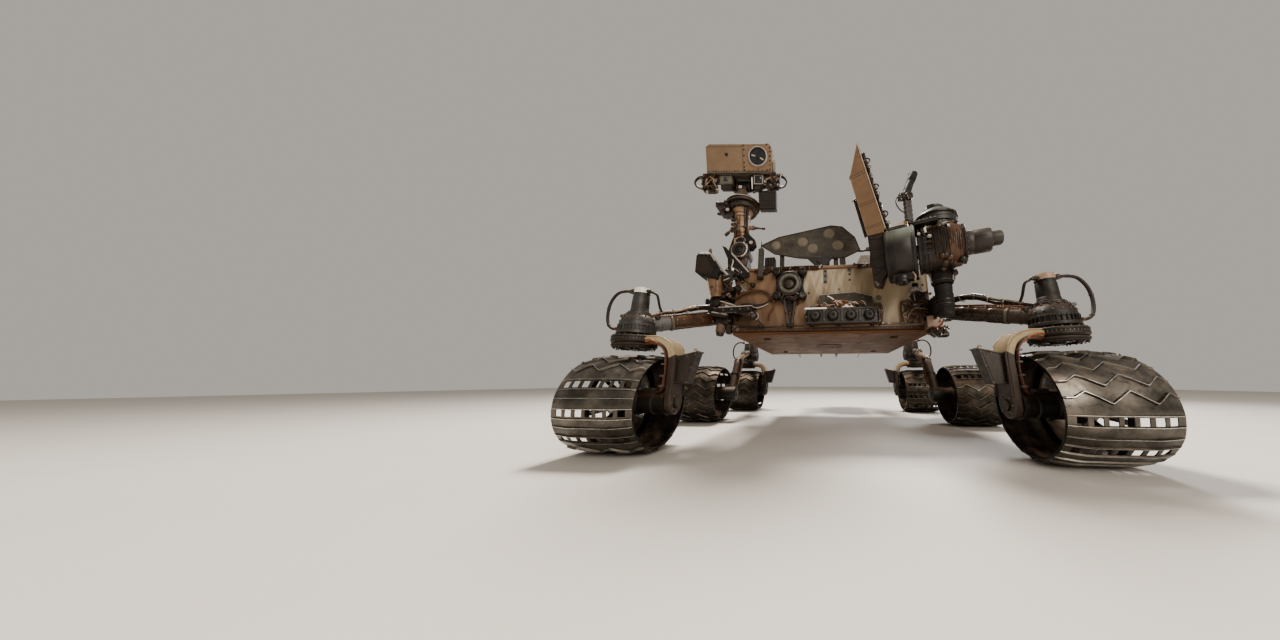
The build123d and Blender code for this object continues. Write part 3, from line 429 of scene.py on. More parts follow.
class Mesh:
    """Collects faces of many small shapes into one piece."""

    def __init__(self):
        self.v, self.f, self.m = [], [], []

    def add(self, verts, faces, material):
        k = len(self.v)
        self.v.extend(Vector(p) for p in verts)
        self.f.extend([tuple(i + k for i in face) for face in faces])
        self.m.extend(material if isinstance(material, list) else [material] * len(faces))

    def block(self, low, high, material, bevel=0.003, origin=(0, 0, 0), x=(1, 0, 0), y=(0, 1, 0), z=(0, 0, 1)):
        """Block with chamfered edges, in a frame of its own."""
        o, ax = Vector(origin), (Vector(x), Vector(y), Vector(z))
        lo, hi = Vector(low), Vector(high)
        c = min(bevel, *((hi[i] - lo[i]) * 0.45 for i in range(3)))
        verts, ids = [], {}
        for i in (0, 1):
            for j in (0, 1):
                for k in (0, 1):
                    corner = [hi[a] if s else lo[a] for a, s in enumerate((i, j, k))]
                    for a in range(3):
                        p = list(corner)
                        for b in range(3):
                            if b != a:
                                p[b] += -c if (i, j, k)[b] else c
                        ids[(i, j, k, a)] = len(verts)
                        verts.append(o + ax[0] * p[0] + ax[1] * p[1] + ax[2] * p[2])
        faces = []
        for a in range(3):
            b, d = (a + 1) % 3, (a + 2) % 3
            for s in (0, 1):
                ring = []
                for sb, sd in ((0, 0), (1, 0), (1, 1), (0, 1)):
                    key = [0, 0, 0]
                    key[a], key[b], key[d] = s, sb, sd
                    ring.append(ids[(*key, a)])
                faces.append(ring if s else ring[::-1])
            for sb in (0, 1):
                for sd in (0, 1):
                    k0, k1 = [0, 0, 0], [0, 0, 0]
                    k0[b], k0[d], k1[b], k1[d] = sb, sd, sb, sd
                    k0[a], k1[a] = 0, 1
                    ring = [ids[(*k0, b)], ids[(*k1, b)], ids[(*k1, d)], ids[(*k0, d)]]
                    faces.append(ring if sb == sd else ring[::-1])
        for i in (0, 1):
            for j in (0, 1):
                for k in (0, 1):
                    ring = [ids[(i, j, k, a)] for a in range(3)]
                    faces.append(ring if (i + j + k) % 2 else ring[::-1])
        self.add(verts, faces, index(material))

    def lathe(self, origin, axis, profile, material, seg=40, hint=None, arc=(0, 2 * math.pi)):
        """Turned shape: profile is (radius, distance along axis), from one end to the other."""
        o = Vector(origin)
        u, v, w = basis(axis, hint)
        full = abs(arc[1] - arc[0] - 2 * math.pi) < 1e-6
        cols = seg if full else seg + 1
        verts, faces = [], []
        for r, h in profile:
            for i in range(cols):
                a = arc[0] + (arc[1] - arc[0]) * i / seg
                verts.append(o + w * h + (u * math.cos(a) + v * math.sin(a)) * r)
        for j in range(len(profile) - 1):
            if profile[j][0] < 1e-7 and profile[j + 1][0] < 1e-7:
                continue
            for i in range(seg):
                n = (i + 1) % cols
                faces.append((j * cols + i, j * cols + n, (j + 1) * cols + n, (j + 1) * cols + i))
        self.add(verts, faces, index(material))

    def drum(self, origin, axis, r, h, material, bevel=0.003, seg=36, hint=None):
        """Closed round drum with chamfered rims."""
        c = min(bevel, r * 0.4, h * 0.4)
        self.lathe(origin, axis, [(0, 0), (r - c, 0), (r, c), (r, h - c), (r - c, h), (0, h)], material, seg, hint)

    def ring(self, origin, axis, r0, r1, h, material, bevel=0.002, seg=40):
        c = min(bevel, (r1 - r0) * 0.4, h * 0.4)
        self.lathe(
            origin, axis,
            [(r0, 0), (r1 - c, 0), (r1, c), (r1, h - c), (r1 - c, h), (r0, h), (r0, 0)],
            material, seg,
        )

    def tube(self, points, r, material, seg=8, closed=False, smooth=6, ends=True, flat=1.0):
        """Tube through points, on a smooth line."""
        pts = [Vector(p) for p in points]
        if smooth > 1 and len(pts) > 2:
            line = []
            n = len(pts)
            for i in range(n if closed else n - 1):
                a = pts[(i - 1) % n] if closed or i else pts[0] * 2 - pts[1]
                b, c = pts[i], pts[(i + 1) % n]
                d = pts[(i + 2) % n] if closed or i + 2 < n else c * 2 - b
                for k in range(smooth):
                    t = k / smooth
                    line.append(
                        0.5 * (2 * b + (c - a) * t + (2 * a - 5 * b + 4 * c - d) * t * t + (3 * b - a - 3 * c + d) * t ** 3)
                    )
            if not closed:
                line.append(pts[-1])
        else:
            line = pts
        n = len(line)
        verts, faces = [], []
        tangent = (line[1] - line[0]).normalized()
        u, v, _ = basis(tangent)
        for i, p in enumerate(line):
            if closed:
                t = (line[(i + 1) % n] - line[i - 1]).normalized()
            else:
                t = (line[min(i + 1, n - 1)] - line[max(i - 1, 0)]).normalized()
            turn = tangent.rotation_difference(t)
            u = (turn @ u).normalized()
            u = (u - t * u.dot(t)).normalized()
            v = t.cross(u)
            tangent = t
            rr = r[min(int(i / (n - 1) * (len(r) - 1)), len(r) - 1)] if isinstance(r, (list, tuple)) else r
            for k in range(seg):
                a = 2 * math.pi * k / seg
                verts.append(p + u * math.cos(a) * rr + v * math.sin(a) * rr * flat)
        for i in range(n if closed else n - 1):
            j = (i + 1) % n
            for k in range(seg):
                m = (k + 1) % seg
                faces.append((i * seg + k, i * seg + m, j * seg + m, j * seg + k))
        if ends and not closed:
            faces.append(tuple(range(seg))[::-1])
            faces.append(tuple((n - 1) * seg + k for k in range(seg)))
        self.add(verts, faces, index(material))

    def plate(self, outline, thickness, material, origin=(0, 0, 0), x=(1, 0, 0), y=(0, 0, 1), bevel=0.002):
        """Flat plate of an outline in the plane of x and y, with small chamfers; it rises along x cross y."""
        o, ax, ay = Vector(origin), Vector(x), Vector(y)
        az = ax.cross(ay)
        n = len(outline)
        area = sum(outline[i][0] * outline[(i + 1) % n][1] - outline[(i + 1) % n][0] * outline[i][1] for i in range(n))
        if area < 0:
            outline = outline[::-1]
        inset = []
        for i in range(n):
            a, b, c = Vector(outline[i - 1]), Vector(outline[i]), Vector(outline[(i + 1) % n])
            e, f = (b - a).normalized(), (c - b).normalized()
            na, nb = Vector((-e.y, e.x)), Vector((-f.y, f.x))
            k = na + nb
            k = k / max(k.dot(na), 0.35)
            inset.append(b + k * bevel)
        rows = [(inset, 0), (outline, bevel), (outline, thickness - bevel), (inset, thickness)]
        verts = [o + ax * p[0] + ay * p[1] + az * h for ring, h in rows for p in ring]
        faces = [tuple(range(n))[::-1], tuple(3 * n + i for i in range(n))]
        for j in range(3):
            for i in range(n):
                m = (i + 1) % n
                faces.append((j * n + i, j * n + m, (j + 1) * n + m, (j + 1) * n + i))
        self.add(verts, faces, index(material))

    def bolt(self, at, normal, r=0.006, h=0.005, material="steel"):
        """Hexagon head on a washer."""
        u, v, w = basis(normal)
        self.lathe(at, normal, [(r * 1.45, 0), (r * 1.45, h * 0.25), (0, h * 0.25)], material, 12)
        self.lathe(Vector(at) + w * h * 0.25, normal, [(r, 0), (r, h * 0.75), (r * 0.85, h), (0, h)], material, 6)

    def bolts(self, centre, axis, r, count, size=0.006, height=0.005, material="steel", start=0.0, hint=None):
        u, v, w = basis(axis, hint)
        for i in range(count):
            a = start + 2 * math.pi * i / count
            self.bolt(Vector(centre) + (u * math.cos(a) + v * math.sin(a)) * r, axis, size, height, material)

    def make(self, name, body, *nodes, angle=38, transform=None):
        mesh = bpy.data.meshes.new(name)
        mesh.from_pydata([tuple(p) for p in self.v], [], self.f)
        used = sorted(set(self.m))
        for i in used:
            mesh.materials.append(M[ORDER[i]])
        mesh.polygons.foreach_set("material_index", [used.index(i) for i in self.m])
        bm = bmesh.new()
        bm.from_mesh(mesh)
        bmesh.ops.remove_doubles(bm, verts=bm.verts, dist=1e-6)
        bmesh.ops.dissolve_degenerate(bm, edges=bm.edges, dist=1e-7)
        bm.to_mesh(mesh)
        bm.free()
        mesh.polygons.foreach_set("use_smooth", [True] * len(mesh.polygons))
        mesh.set_sharp_from_angle(angle=math.radians(angle))
        mesh.update()
        o = bpy.data.objects.new(name, mesh)
        bpy.context.scene.collection.objects.link(o)
        if transform is not None:
            o.matrix_world = transform
        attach(o, body)
        if nodes:
            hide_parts(*nodes)
        return o


def rounded(points, radius, n=8):
    """A line with its corners rounded."""
    pts = [Vector(p) for p in points]
    out = [pts[0]]
    for a, b, c in zip(pts, pts[1:], pts[2:]):
        u, v = (a - b), (c - b)
        reach = min(radius / max(math.tan(u.angle(v) / 2), 0.05), u.length * 0.49, v.length * 0.49)
        p, q = b + u.normalized() * reach, b + v.normalized() * reach
        for k in range(n + 1):
            t = k / n
            out.append(p * (1 - t) ** 2 + b * (2 * t * (1 - t)) + q * t * t)
    out.append(pts[-1])
    return out


def spaced(line, step):
    """Evenly spaced points of a line."""
    line = [Vector(p) for p in line]
    runs = [(b - a).length for a, b in zip(line, line[1:])]
    total = sum(runs)
    n = max(2, int(total / step))
    out, i, done = [], 0, 0.0
    for k in range(n + 1):
        want = total * k / n
        while i < len(runs) - 1 and done + runs[i] < want:
            done += runs[i]
            i += 1
        t = (want - done) / max(runs[i], 1e-9)
        out.append(line[i].lerp(line[i + 1], min(max(t, 0), 1)))
    return out


def frames(line, up=(0, 0, 1)):
    """Side, up and forward vectors at each point of a line."""
    out = []
    n = len(line)
    for i in range(n):
        t = (line[min(i + 1, n - 1)] - line[max(i - 1, 0)]).normalized()
        h = Vector(up)
        if abs(t.dot(h)) > 0.95:
            h = Vector((0, 1, 0)) if abs(t.y) < 0.9 else Vector((1, 0, 0))
        u = (h - t * t.dot(h)).normalized()
        out.append((t.cross(u), u, t))
    return out


def part_of(line, a, b):
    """The stretch of a line between two shares of its length."""
    pts = spaced(line, 0.01)
    n = len(pts) - 1
    return pts[int(round(a * n)): int(round(b * n)) + 1]


def shifted(line, side, up, wobble=0.0, seed=0.0, hint=(0, 0, 1)):
    """A line moved sideways and up, with a little wander."""
    out = []
    for p, (s, u, _) in zip(line, frames(line, hint)):
        w = wobble * noise.noise(Vector((p.x * 9 + seed, p.y * 9, p.z * 9)))
        v = wobble * noise.noise(Vector((p.x * 9, p.y * 9 + seed + 7, p.z * 9)))
        out.append(p + s * (side + w) + u * (up + v))
    return out


def sleeve(g, line, radius, material, seg=20, step=0.012, hint=(0, 0, 1), caps=True):
    """Tube whose radius may change along and round it: radius(t, angle); angle 0 is up."""
    pts = spaced(line, step)
    fr = frames(pts, hint)
    n = len(pts)
    verts, faces = [], []
    for i, (p, (s, u, _)) in enumerate(zip(pts, fr)):
        t = i / (n - 1)
        for k in range(seg):
            a = 2 * math.pi * k / seg
            r = radius(t, a, p) if callable(radius) else radius
            verts.append(p + u * math.cos(a) * r - s * math.sin(a) * r)
    for i in range(n - 1):
        for k in range(seg):
            m = (k + 1) % seg
            faces.append((i * seg + k, (i + 1) * seg + k, (i + 1) * seg + m, i * seg + m))
    if caps:
        faces.append(tuple(range(seg)))
        faces.append(tuple((n - 1) * seg + k for k in range(seg))[::-1])
    g.add(verts, faces, index(material))


def film(r, tape=0.034, depth=0.0016, lumps=0.0035, seed=0.0):
    """Radius of a tube wound in film tape: a spiral step and soft lumps."""

    def radius(t, a, p):
        turn = (p.x + p.y * 1.3 + p.z * 0.7) / tape + a / (2 * math.pi) + seed
        crease = noise.noise(Vector((p.x * 38 + math.cos(a) * 2 + seed, p.y * 38, p.z * 38 + math.sin(a) * 2)))
        soft = noise.noise(Vector((p.x * 12 + math.cos(a) + seed, p.y * 12, p.z * 12 + math.sin(a))))
        return r + depth * (turn % 1.0) + lumps * soft + lumps * 0.6 * abs(crease)

    return radius


def band(g, centre, axis, r, width, material="dark", thick=0.004, seg=28, lug=None):
    """Clamp band round a tube, centred on a point, with a bolted lug on one side."""
    _, _, w = basis(axis)
    c = Vector(centre) - w * width / 2
    g.ring(c, axis, r, r + thick, width, material, 0.001, seg)
    if lug is not None:
        d = Vector(lug)
        d = (d - w * w.dot(d)).normalized()
        e = w.cross(d)
        g.block(
            (-width / 2, -0.006, r * 0.96), (width / 2, 0.006, r + thick + 0.012), material, 0.0015,
            origin=centre, x=w, y=e, z=d,
        )
        g.bolt(Vector(centre) + d * (r + thick + 0.006) + e * 0.006, e, 0.003, 0.003)


def harness(g, line, count, spread, r, materials, seed=1, ties=0.09, hint=(0, 0, 1), flat=0.6, seg=6, step=0.02):
    """Loose bundle of thin cables along a line, held by ties."""
    rng = random.Random(seed)
    pts = spaced(line, step)
    for k in range(count):
        a = 2 * math.pi * (k + rng.random() * 0.6) / count
        d = spread * (0.45 + 0.55 * rng.random()) if count > 1 else 0
        path = shifted(pts, math.cos(a) * d, math.sin(a) * d * flat, spread * 0.55, seed * 3.1 + k * 1.7, hint)
        g.tube(path, r * (0.75 + 0.5 * rng.random()), materials[k % len(materials)], seg, smooth=2)
    if ties:
        tied = spaced(line, ties)
        for p, (s, u, t) in list(zip(tied, frames(tied, hint)))[1:-1]:
            ring = [p + s * math.cos(b) * spread * 1.15 + u * math.sin(b) * (spread * flat * 1.15 + r * 0.6) for b in
                    (2 * math.pi * i / 10 for i in range(10))]
            g.tube(ring, r * 0.45, "braid", 5, closed=True, smooth=1)


def rivets(g, a, b, normal, count, r=0.0035, h=0.0022, material="steel"):
    """Row of low round heads from a to b."""
    a, b = Vector(a), Vector(b)
    for i in range(count):
        p = a.lerp(b, i / max(1, count - 1))
        g.lathe(p, normal, [(r, 0), (r * 0.95, h * 0.5), (r * 0.6, h * 0.95), (0, h)], material, 10)


def gusset(g, points, half, origin, x, y, material, bevel=0.0015):
    """Thin web in the plane of x and y, centred on its origin."""
    az = Vector(x).cross(Vector(y))
    g.plate(points, 2 * half, material, Vector(origin) - az * half, x, y, bevel)


def connector(g, at, axis, r=0.012, length=0.03, material="steel", boot="black"):
    """Round cable connector with a knurled ring and a rubber boot."""
    g.lathe(
        at, axis,
        [(0, 0), (r, 0), (r, length * 0.2), (r * 1.25, length * 0.24), (r * 1.25, length * 0.52), (r, length * 0.56), (r, length * 0.7), (0, length * 0.7)],
        material, 16,
    )
    g.lathe(
        at, axis,
        [(0, length * 0.68), (r * 0.9, length * 0.68), (r * 0.8, length * 0.85), (r * 0.6, length), (0, length)],
        boot, 14,
    )


def round_rect(x0, y0, x1, y1, r, n=6):
    """Outline of a rectangle with rounded corners."""
    out = []
    for cx, cy, a in ((x1 - r, y0 + r, -90), (x1 - r, y1 - r, 0), (x0 + r, y1 - r, 90), (x0 + r, y0 + r, 180)):
        for k in range(n + 1):
            b = math.radians(a + 90 * k / n)
            out.append((cx + r * math.cos(b), cy + r * math.sin(b)))
    return out


def skin(g, origin, u, v, w, h, normal, material, nu, nv, seed=0.0, depth=0.0012, lumps=0.004):
    """Film laid on a panel: a grid with soft creases that die out at its edges."""
    o, u, v, n = Vector(origin), Vector(u), Vector(v), Vector(normal)
    verts, faces = [], []
    for j in range(nv + 1):
        for i in range(nu + 1):
            a, b = w * i / nu, h * j / nv
            edge = min(1.0, min(a, w - a) / 0.03, min(b, h - b) / 0.03)
            soft = noise.noise(Vector((a * 6 + seed, b * 2.2, seed)))
            crease = abs(noise.noise(Vector((a * 17 + b * 4 + seed, b * 3.2, seed * 2))))
            verts.append(o + u * a + v * b + n * (depth + lumps * edge * max(0.0, 0.55 + soft * 0.9 - crease * 1.1)))
    row = nu + 1
    for j in range(nv):
        for i in range(nu):
            k = j * row + i
            faces.append((k, k + 1, k + row + 1, k + row))
    rim = list(range(nu)) + [j * row + nu for j in range(nv)] + [nv * row + i for i in range(nu, 0, -1)] + [j * row for j in range(nv, 0, -1)]
    base = len(verts)
    verts += [verts[k] - n * (depth + 0.0006) for k in rim]
    for i in range(len(rim)):
        m = (i + 1) % len(rim)
        faces.append((rim[i], base + i, base + m, rim[m]))
    g.add(verts, faces, index(material))


def hoop(g, a, b, out, r, material, seg=7, smooth=6):
    """Wire from a to b that bows out on the way."""
    a, b, out = Vector(a), Vector(b), Vector(out)
    g.tube([a, a.lerp(b, 0.12) + out * 0.62, a.lerp(b, 0.5) + out, a.lerp(b, 0.88) + out * 0.62, b], r, material, seg, smooth=smooth)


def clutter(g, origin, u, v, w, h, normal, count, materials, seed, size=(0.010, 0.026), rise=(0.008, 0.024), wires=6, wire_r=0.0024, kinds=("cable", "copper", "braid"), bow=0.03):
    """Small brackets, plugs and looped wires that stand on a patch of surface."""
    rng = random.Random(seed)
    o, u, v, n = Vector(origin), Vector(u), Vector(v), Vector(normal)
    spots = []
    for i in range(count):
        p = o + u * (w * rng.random()) + v * (h * rng.random())
        a = rng.uniform(0, math.pi)
        x, y = u * math.cos(a) + v * math.sin(a), v * math.cos(a) - u * math.sin(a)
        sx, sy, sz = rng.uniform(*size), rng.uniform(*size) * 0.8, rng.uniform(*rise)
        m = materials[i % len(materials)]
        if rng.random() < 0.45:
            g.lathe(p - n * 0.002, n, [(0, 0), (sx * 0.5, 0), (sx * 0.5, sz * 0.7), (sx * 0.36, sz), (0, sz)], m, 14)
        else:
            g.block((-sx / 2, -sy / 2, -0.002), (sx / 2, sy / 2, sz), m, 0.0012, origin=p, x=x, y=y, z=n)
            if rng.random() < 0.5:
                g.bolt(p + n * sz, n, 0.0028, 0.003, "steel")
        spots.append(p + n * sz * 0.5)
    for k in range(wires):
        a, b = rng.choice(spots), rng.choice(spots)
        if (a - b).length < 0.012:
            b = b + u * 0.03
        hoop(g, a, b, n * rng.uniform(0.3, 1.0) * bow + v * rng.uniform(-0.4, 0.6) * bow, wire_r * rng.uniform(0.8, 1.5), kinds[k % len(kinds)], 6, 5)

# ------------------------------------------------------------------ CAD nodes that stay: their materials
CAD_MATERIALS = {
    "equipment_box": "tan", "top_deck": "tan", "belly_pan": "belly", "hazard_camera_box": "dark",
    "bit_holder": "black", "corner_canister": "tan", "corner_frame": "dark", "link_bars": "steel",
    "tilted_cover_plate": "dark", "observation_tray": "olive", "sample_inlets": "steel",
    "mast_foot": "greygreen", "mast_tube": "tan", "weather_booms": "dark", "pan_yoke": "dark",
    "head_box": "tan", "stereo_camera_bar": "dark", "camera_electronics_box": "black",
    "shoulder_base": "dark", "shoulder_azimuth_drive": "dark", "shoulder_barrel": "greygreen",
    "upper_arm": "tan", "forearm": "tan", "tool_turret": "dark", "dish_base": "dark",
    "dish_yoke": "dark", "dish_panel": "white", "aerial_post": "dark", "relay_antenna": "white",
    "power_unit": "white", "power_unit_cradle": "dark", "radiator_plates": "white",
    "differential_bar": "tube", "rocker_left": "tube", "rocker_right": "tube", "bogie_left": "tube",
    "bogie_right": "tube", "steering_motors": "dark", "payload_plate": "titanium",
}
for node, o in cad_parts.items():
    kind = CAD_MATERIALS.get(node, "dark" if "knuckle" in node else "wheel")
    o.data.materials.clear()
    o.data.materials.append(M[kind])


# ------------------------------------------------------------------ wheels
def wheel_radius(w):
    a = abs(w)
    return 0.2412 if a < 0.11 else 0.2412 - 0.0140 * (a - 0.11) / 0.09


COLUMNS = 240
BAND = 50  # columns of the smooth band: seven cells of seven, then one more
CHEVRONS = 17  # zigzag ribs round the rest
ZIGZAG = (
    (-0.2, 0.0), (-0.166, 0.0), (-0.128, -0.022), (-0.048, 0.024), (0.028, -0.024),
    (0.102, 0.024), (0.164, -0.018), (0.186, -0.002), (0.2, -0.002),
)
HOLES = [(-0.171 + 0.0513 * i, -0.171 + 0.0513 * i + 0.034) for i in range(7)]


def zigzag(w):
    for (a, p), (b, q) in zip(ZIGZAG, ZIGZAG[1:]):
        if a <= w <= b:
            return p + (q - p) * (w - a) / (b - a)
    return 0.0


def wheel_mesh(turn, seed, skin_name="wheel", ridge_name="ridge"):
    """One wheel about the x axis, outboard along +x, the smooth band at angle turn."""
    g = Mesh()
    columns = COLUMNS
    ws = [-0.2, -0.194, -0.185] + [e for h in HOLES for e in h] + [0.185, 0.194, 0.2]
    ws = sorted(set(round(w, 5) for w in ws))
    rows = {c + k for c in (0, 21, 42) for k in range(1, 6)}  # columns that hold holes

    def point(j, w, inset, inside=False):
        a = turn + 2 * math.pi * j / columns
        dent = 0.0
        if not inside:
            dent = noise.noise(Vector((math.cos(a) * 3.3 + seed, math.sin(a) * 3.3, w * 9))) * 0.0022
            dent = min(dent, 0.0)
        r = wheel_radius(w) - inset + dent
        return (w, math.cos(a) * r, math.sin(a) * r)

    def hole(j, i):
        j = j % columns
        mid = (ws[i] + ws[i + 1]) / 2
        return j in rows and any(a < mid < b for a, b in HOLES)

    verts, faces, ids, inner = [], [], {}, []

    def vid(j, i, k):
        key = (j % columns, i, k)
        if key not in ids:
            ids[key] = len(verts)
            verts.append(point(j, ws[i], 0.0 if k == 0 else 0.0035))
        return ids[key]

    for j in range(columns):
        for i in range(len(ws) - 1):
            if hole(j, i):
                continue
            faces.append((vid(j, i, 0), vid(j, i + 1, 0), vid(j + 1, i + 1, 0), vid(j + 1, i, 0)))
            inner.append(len(faces))
            faces.append((vid(j, i, 1), vid(j + 1, i, 1), vid(j + 1, i + 1, 1), vid(j, i + 1, 1)))
            for dj, di, edge in ((-1, 0, ((j, i), (j, i + 1))), (1, 0, ((j + 1, i + 1), (j + 1, i)))):
                if hole(j + dj, i):
                    (a, b), (c, d) = edge
                    faces.append((vid(a, b, 1), vid(c, d, 1), vid(c, d, 0), vid(a, b, 0)))
            for di, edge in ((-1, ((j + 1, i), (j, i))), (1, ((j, i + 1), (j + 1, i + 1)))):
                n = i + di
                if 0 <= n < len(ws) - 1 and hole(j, n):
                    (a, b), (c, d) = edge
                    faces.append((vid(a, b, 1), vid(c, d, 1), vid(c, d, 0), vid(a, b, 0)))
        for i, flip in ((0, False), (len(ws) - 1, True)):
            ring = (vid(j, i, 0), vid(j + 1, i, 0), vid(j + 1, i, 1), vid(j, i, 1))
            faces.append(ring[::-1] if flip else ring)
    inside = set(inner)
    g.add(verts, faces, [index("wheel_inner" if i in inside else skin_name) for i in range(len(faces))])

    def rib(angle, shape, w0, w1, count, foot=0.0042, top=0.0014, tall=0.0072):
        vs, fs, kinds = [], [], []
        for i in range(count + 1):
            w = w0 + (w1 - w0) * i / count
            offset = shape(w)
            r = wheel_radius(w)
            high = tall * min(1.0, (0.2 - abs(w)) / 0.006 + 0.25)
            for da, dr in ((-foot, -0.001), (-top, high), (top, high), (foot, -0.001)):
                a = angle + (offset + da) / r
                vs.append((w, math.cos(a) * (r + dr), math.sin(a) * (r + dr)))
        for i in range(count):
            k = 4 * i
            for m in range(3):
                fs.append((k + m, k + 4 + m, k + 5 + m, k + 1 + m))
                # top face of each rib in the ridge paint: wear and a painted highlight
                kinds.append(index(ridge_name if m == 1 else skin_name))
        fs.append((0, 1, 2, 3))
        k = 4 * count
        fs.append((k + 3, k + 2, k + 1, k))
        g.add(vs, fs, kinds + [index(skin_name)] * 2)

    column = 2 * math.pi / columns
    pitch = (columns - BAND) / (CHEVRONS + 1) * column
    for n in range(CHEVRONS):
        rib(turn + BAND * column + (n + 1) * pitch, zigzag, -0.2, 0.2, 60, 0.0056, 0.0014, 0.0086)
    for c in (0, 6.5, 14, 20.5, 27.5, 35, 41.5, 49):
        rib(turn + c * column, lambda w: 0.0, -0.2, 0.2, 24, 0.0034, 0.0013, 0.0060)
    # inner stiffening hoops
    for w0, w1, inner in ((-0.2, -0.188, 0.216), (0.188, 0.2, 0.216), (0.018, 0.030, 0.214)):
        g.lathe((0, 0, 0), (1, 0, 0), [(wheel_radius(w0) - 0.002, w0), (inner, w0), (inner, w1), (wheel_radius(w1) - 0.002, w1)], "wheel_inner", 96)
    # curved springs from hub to skin
    for n in range(8):
        a = turn + 2 * math.pi * (n + 0.5) / 8
        radial, side = Vector((0, math.cos(a), math.sin(a))), Vector((0, -math.sin(a), math.cos(a)))
        vs, fs, count = [], [], 22
        for i in range(count + 1):
            t = i / count
            r = 0.068 + 0.168 * t
            w = 0.056 + 0.070 * math.sin(math.pi * min(1, t * 1.04)) ** 1.2 - 0.030 * t
            half = 0.017 + 0.012 * math.cos(math.pi * (t - 0.5)) * -1 + 0.016 * t
            slope = 0.070 * math.pi * math.cos(math.pi * t) / 0.168 - 0.18
            nrm = (Vector((1, 0, 0)) - radial * slope).normalized()
            centre = Vector((w, 0, 0)) + radial * r
            for q, h in ((-1, 0.0017), (-1, -0.0017), (1, -0.0017), (1, 0.0017)):
                vs.append(centre + side * (half * q) + nrm * h)
        for i in range(count):
            k = 4 * i
            for m in range(4):
                fs.append((k + m, k + 4 + m, k + 4 + (m + 1) % 4, k + (m + 1) % 4))
        fs.append((0, 1, 2, 3))
        fs.append((4 * count + 3, 4 * count + 2, 4 * count + 1, 4 * count))
        g.add(vs, fs, index("titanium"))
        g.bolt(Vector((0.066, 0, 0)) + radial * 0.066, (1, 0, 0), 0.006, 0.006)
    # hub
    g.lathe((0, 0, 0), (1, 0, 0), [(0.0306, 0.0), (0.068, 0.0), (0.078, 0.008), (0.078, 0.030), (0.070, 0.044), (0.070, 0.060), (0.052, 0.066), (0.046, 0.078), (0.0306, 0.080)], "wheel", 48)
    g.drum((0.061, 0, 0), (1, 0, 0), 0.034, 0.022, "dark", 0.004, 32)
    g.bolts((0.078, 0, 0), (1, 0, 0), 0.040, 8, 0.0035, 0.004)
    return g


WHEELS = (
    ("front_left", 1, CORNER_X, FRONT_Y, 3.22), ("front_right", -1, CORNER_X, FRONT_Y, -0.785),
    ("middle_left", 1, MIDDLE_X, MID_Y, 1.3), ("middle_right", -1, MIDDLE_X, MID_Y, 2.2),
    ("rear_left", 1, CORNER_X, REAR_Y, 2.75), ("rear_right", -1, CORNER_X, REAR_Y, 3.9),
)
for name, s, x, y, turn in WHEELS:
    # middle and rear wheels take darker copies of the tread and ridge paints: painted shade
    new = "front" in name
    g = wheel_mesh(turn, x * 3 + y, "wheel" if new else "wheel_shaded", "ridge" if new else "ridge_shaded")
    if s < 0:  # the same wheel turned round to the other side
        for v in g.v:
            v.x, v.y = -v.x, -v.y
    g.make("tyre_" + name, "wheel_" + name, "wheel_" + name, transform=Matrix.Translation((s * x, y, WHEEL_R)))

# ------------------------------------------------------------------ corner steering units
# caps on the rover's right side near-white, on its left side tan: the near-white caps are painted light
CORNERS = (
    ("front_left", 1, FRONT_Y, "cap_tan"), ("front_right", -1, FRONT_Y, "bright"),
    ("rear_left", 1, REAR_Y, "cap_tan"), ("rear_right", -1, REAR_Y, "bright"),
)
Z = Vector((0, 0, 1))


def ribs_round(g, centre, r, z0, z1, count, depth, width, material, start=0.0, bevel=0.001):
    """Upright ribs round a vertical drum."""
    for i in range(count):
        a = start + 2 * math.pi * i / count
        d = Vector((math.cos(a), math.sin(a), 0))
        e = Vector((-math.sin(a), math.cos(a), 0))
        g.block((r - 0.003, -width / 2, z0), (r + depth, width / 2, z1), material, bevel, origin=centre, x=d, y=e, z=Z)


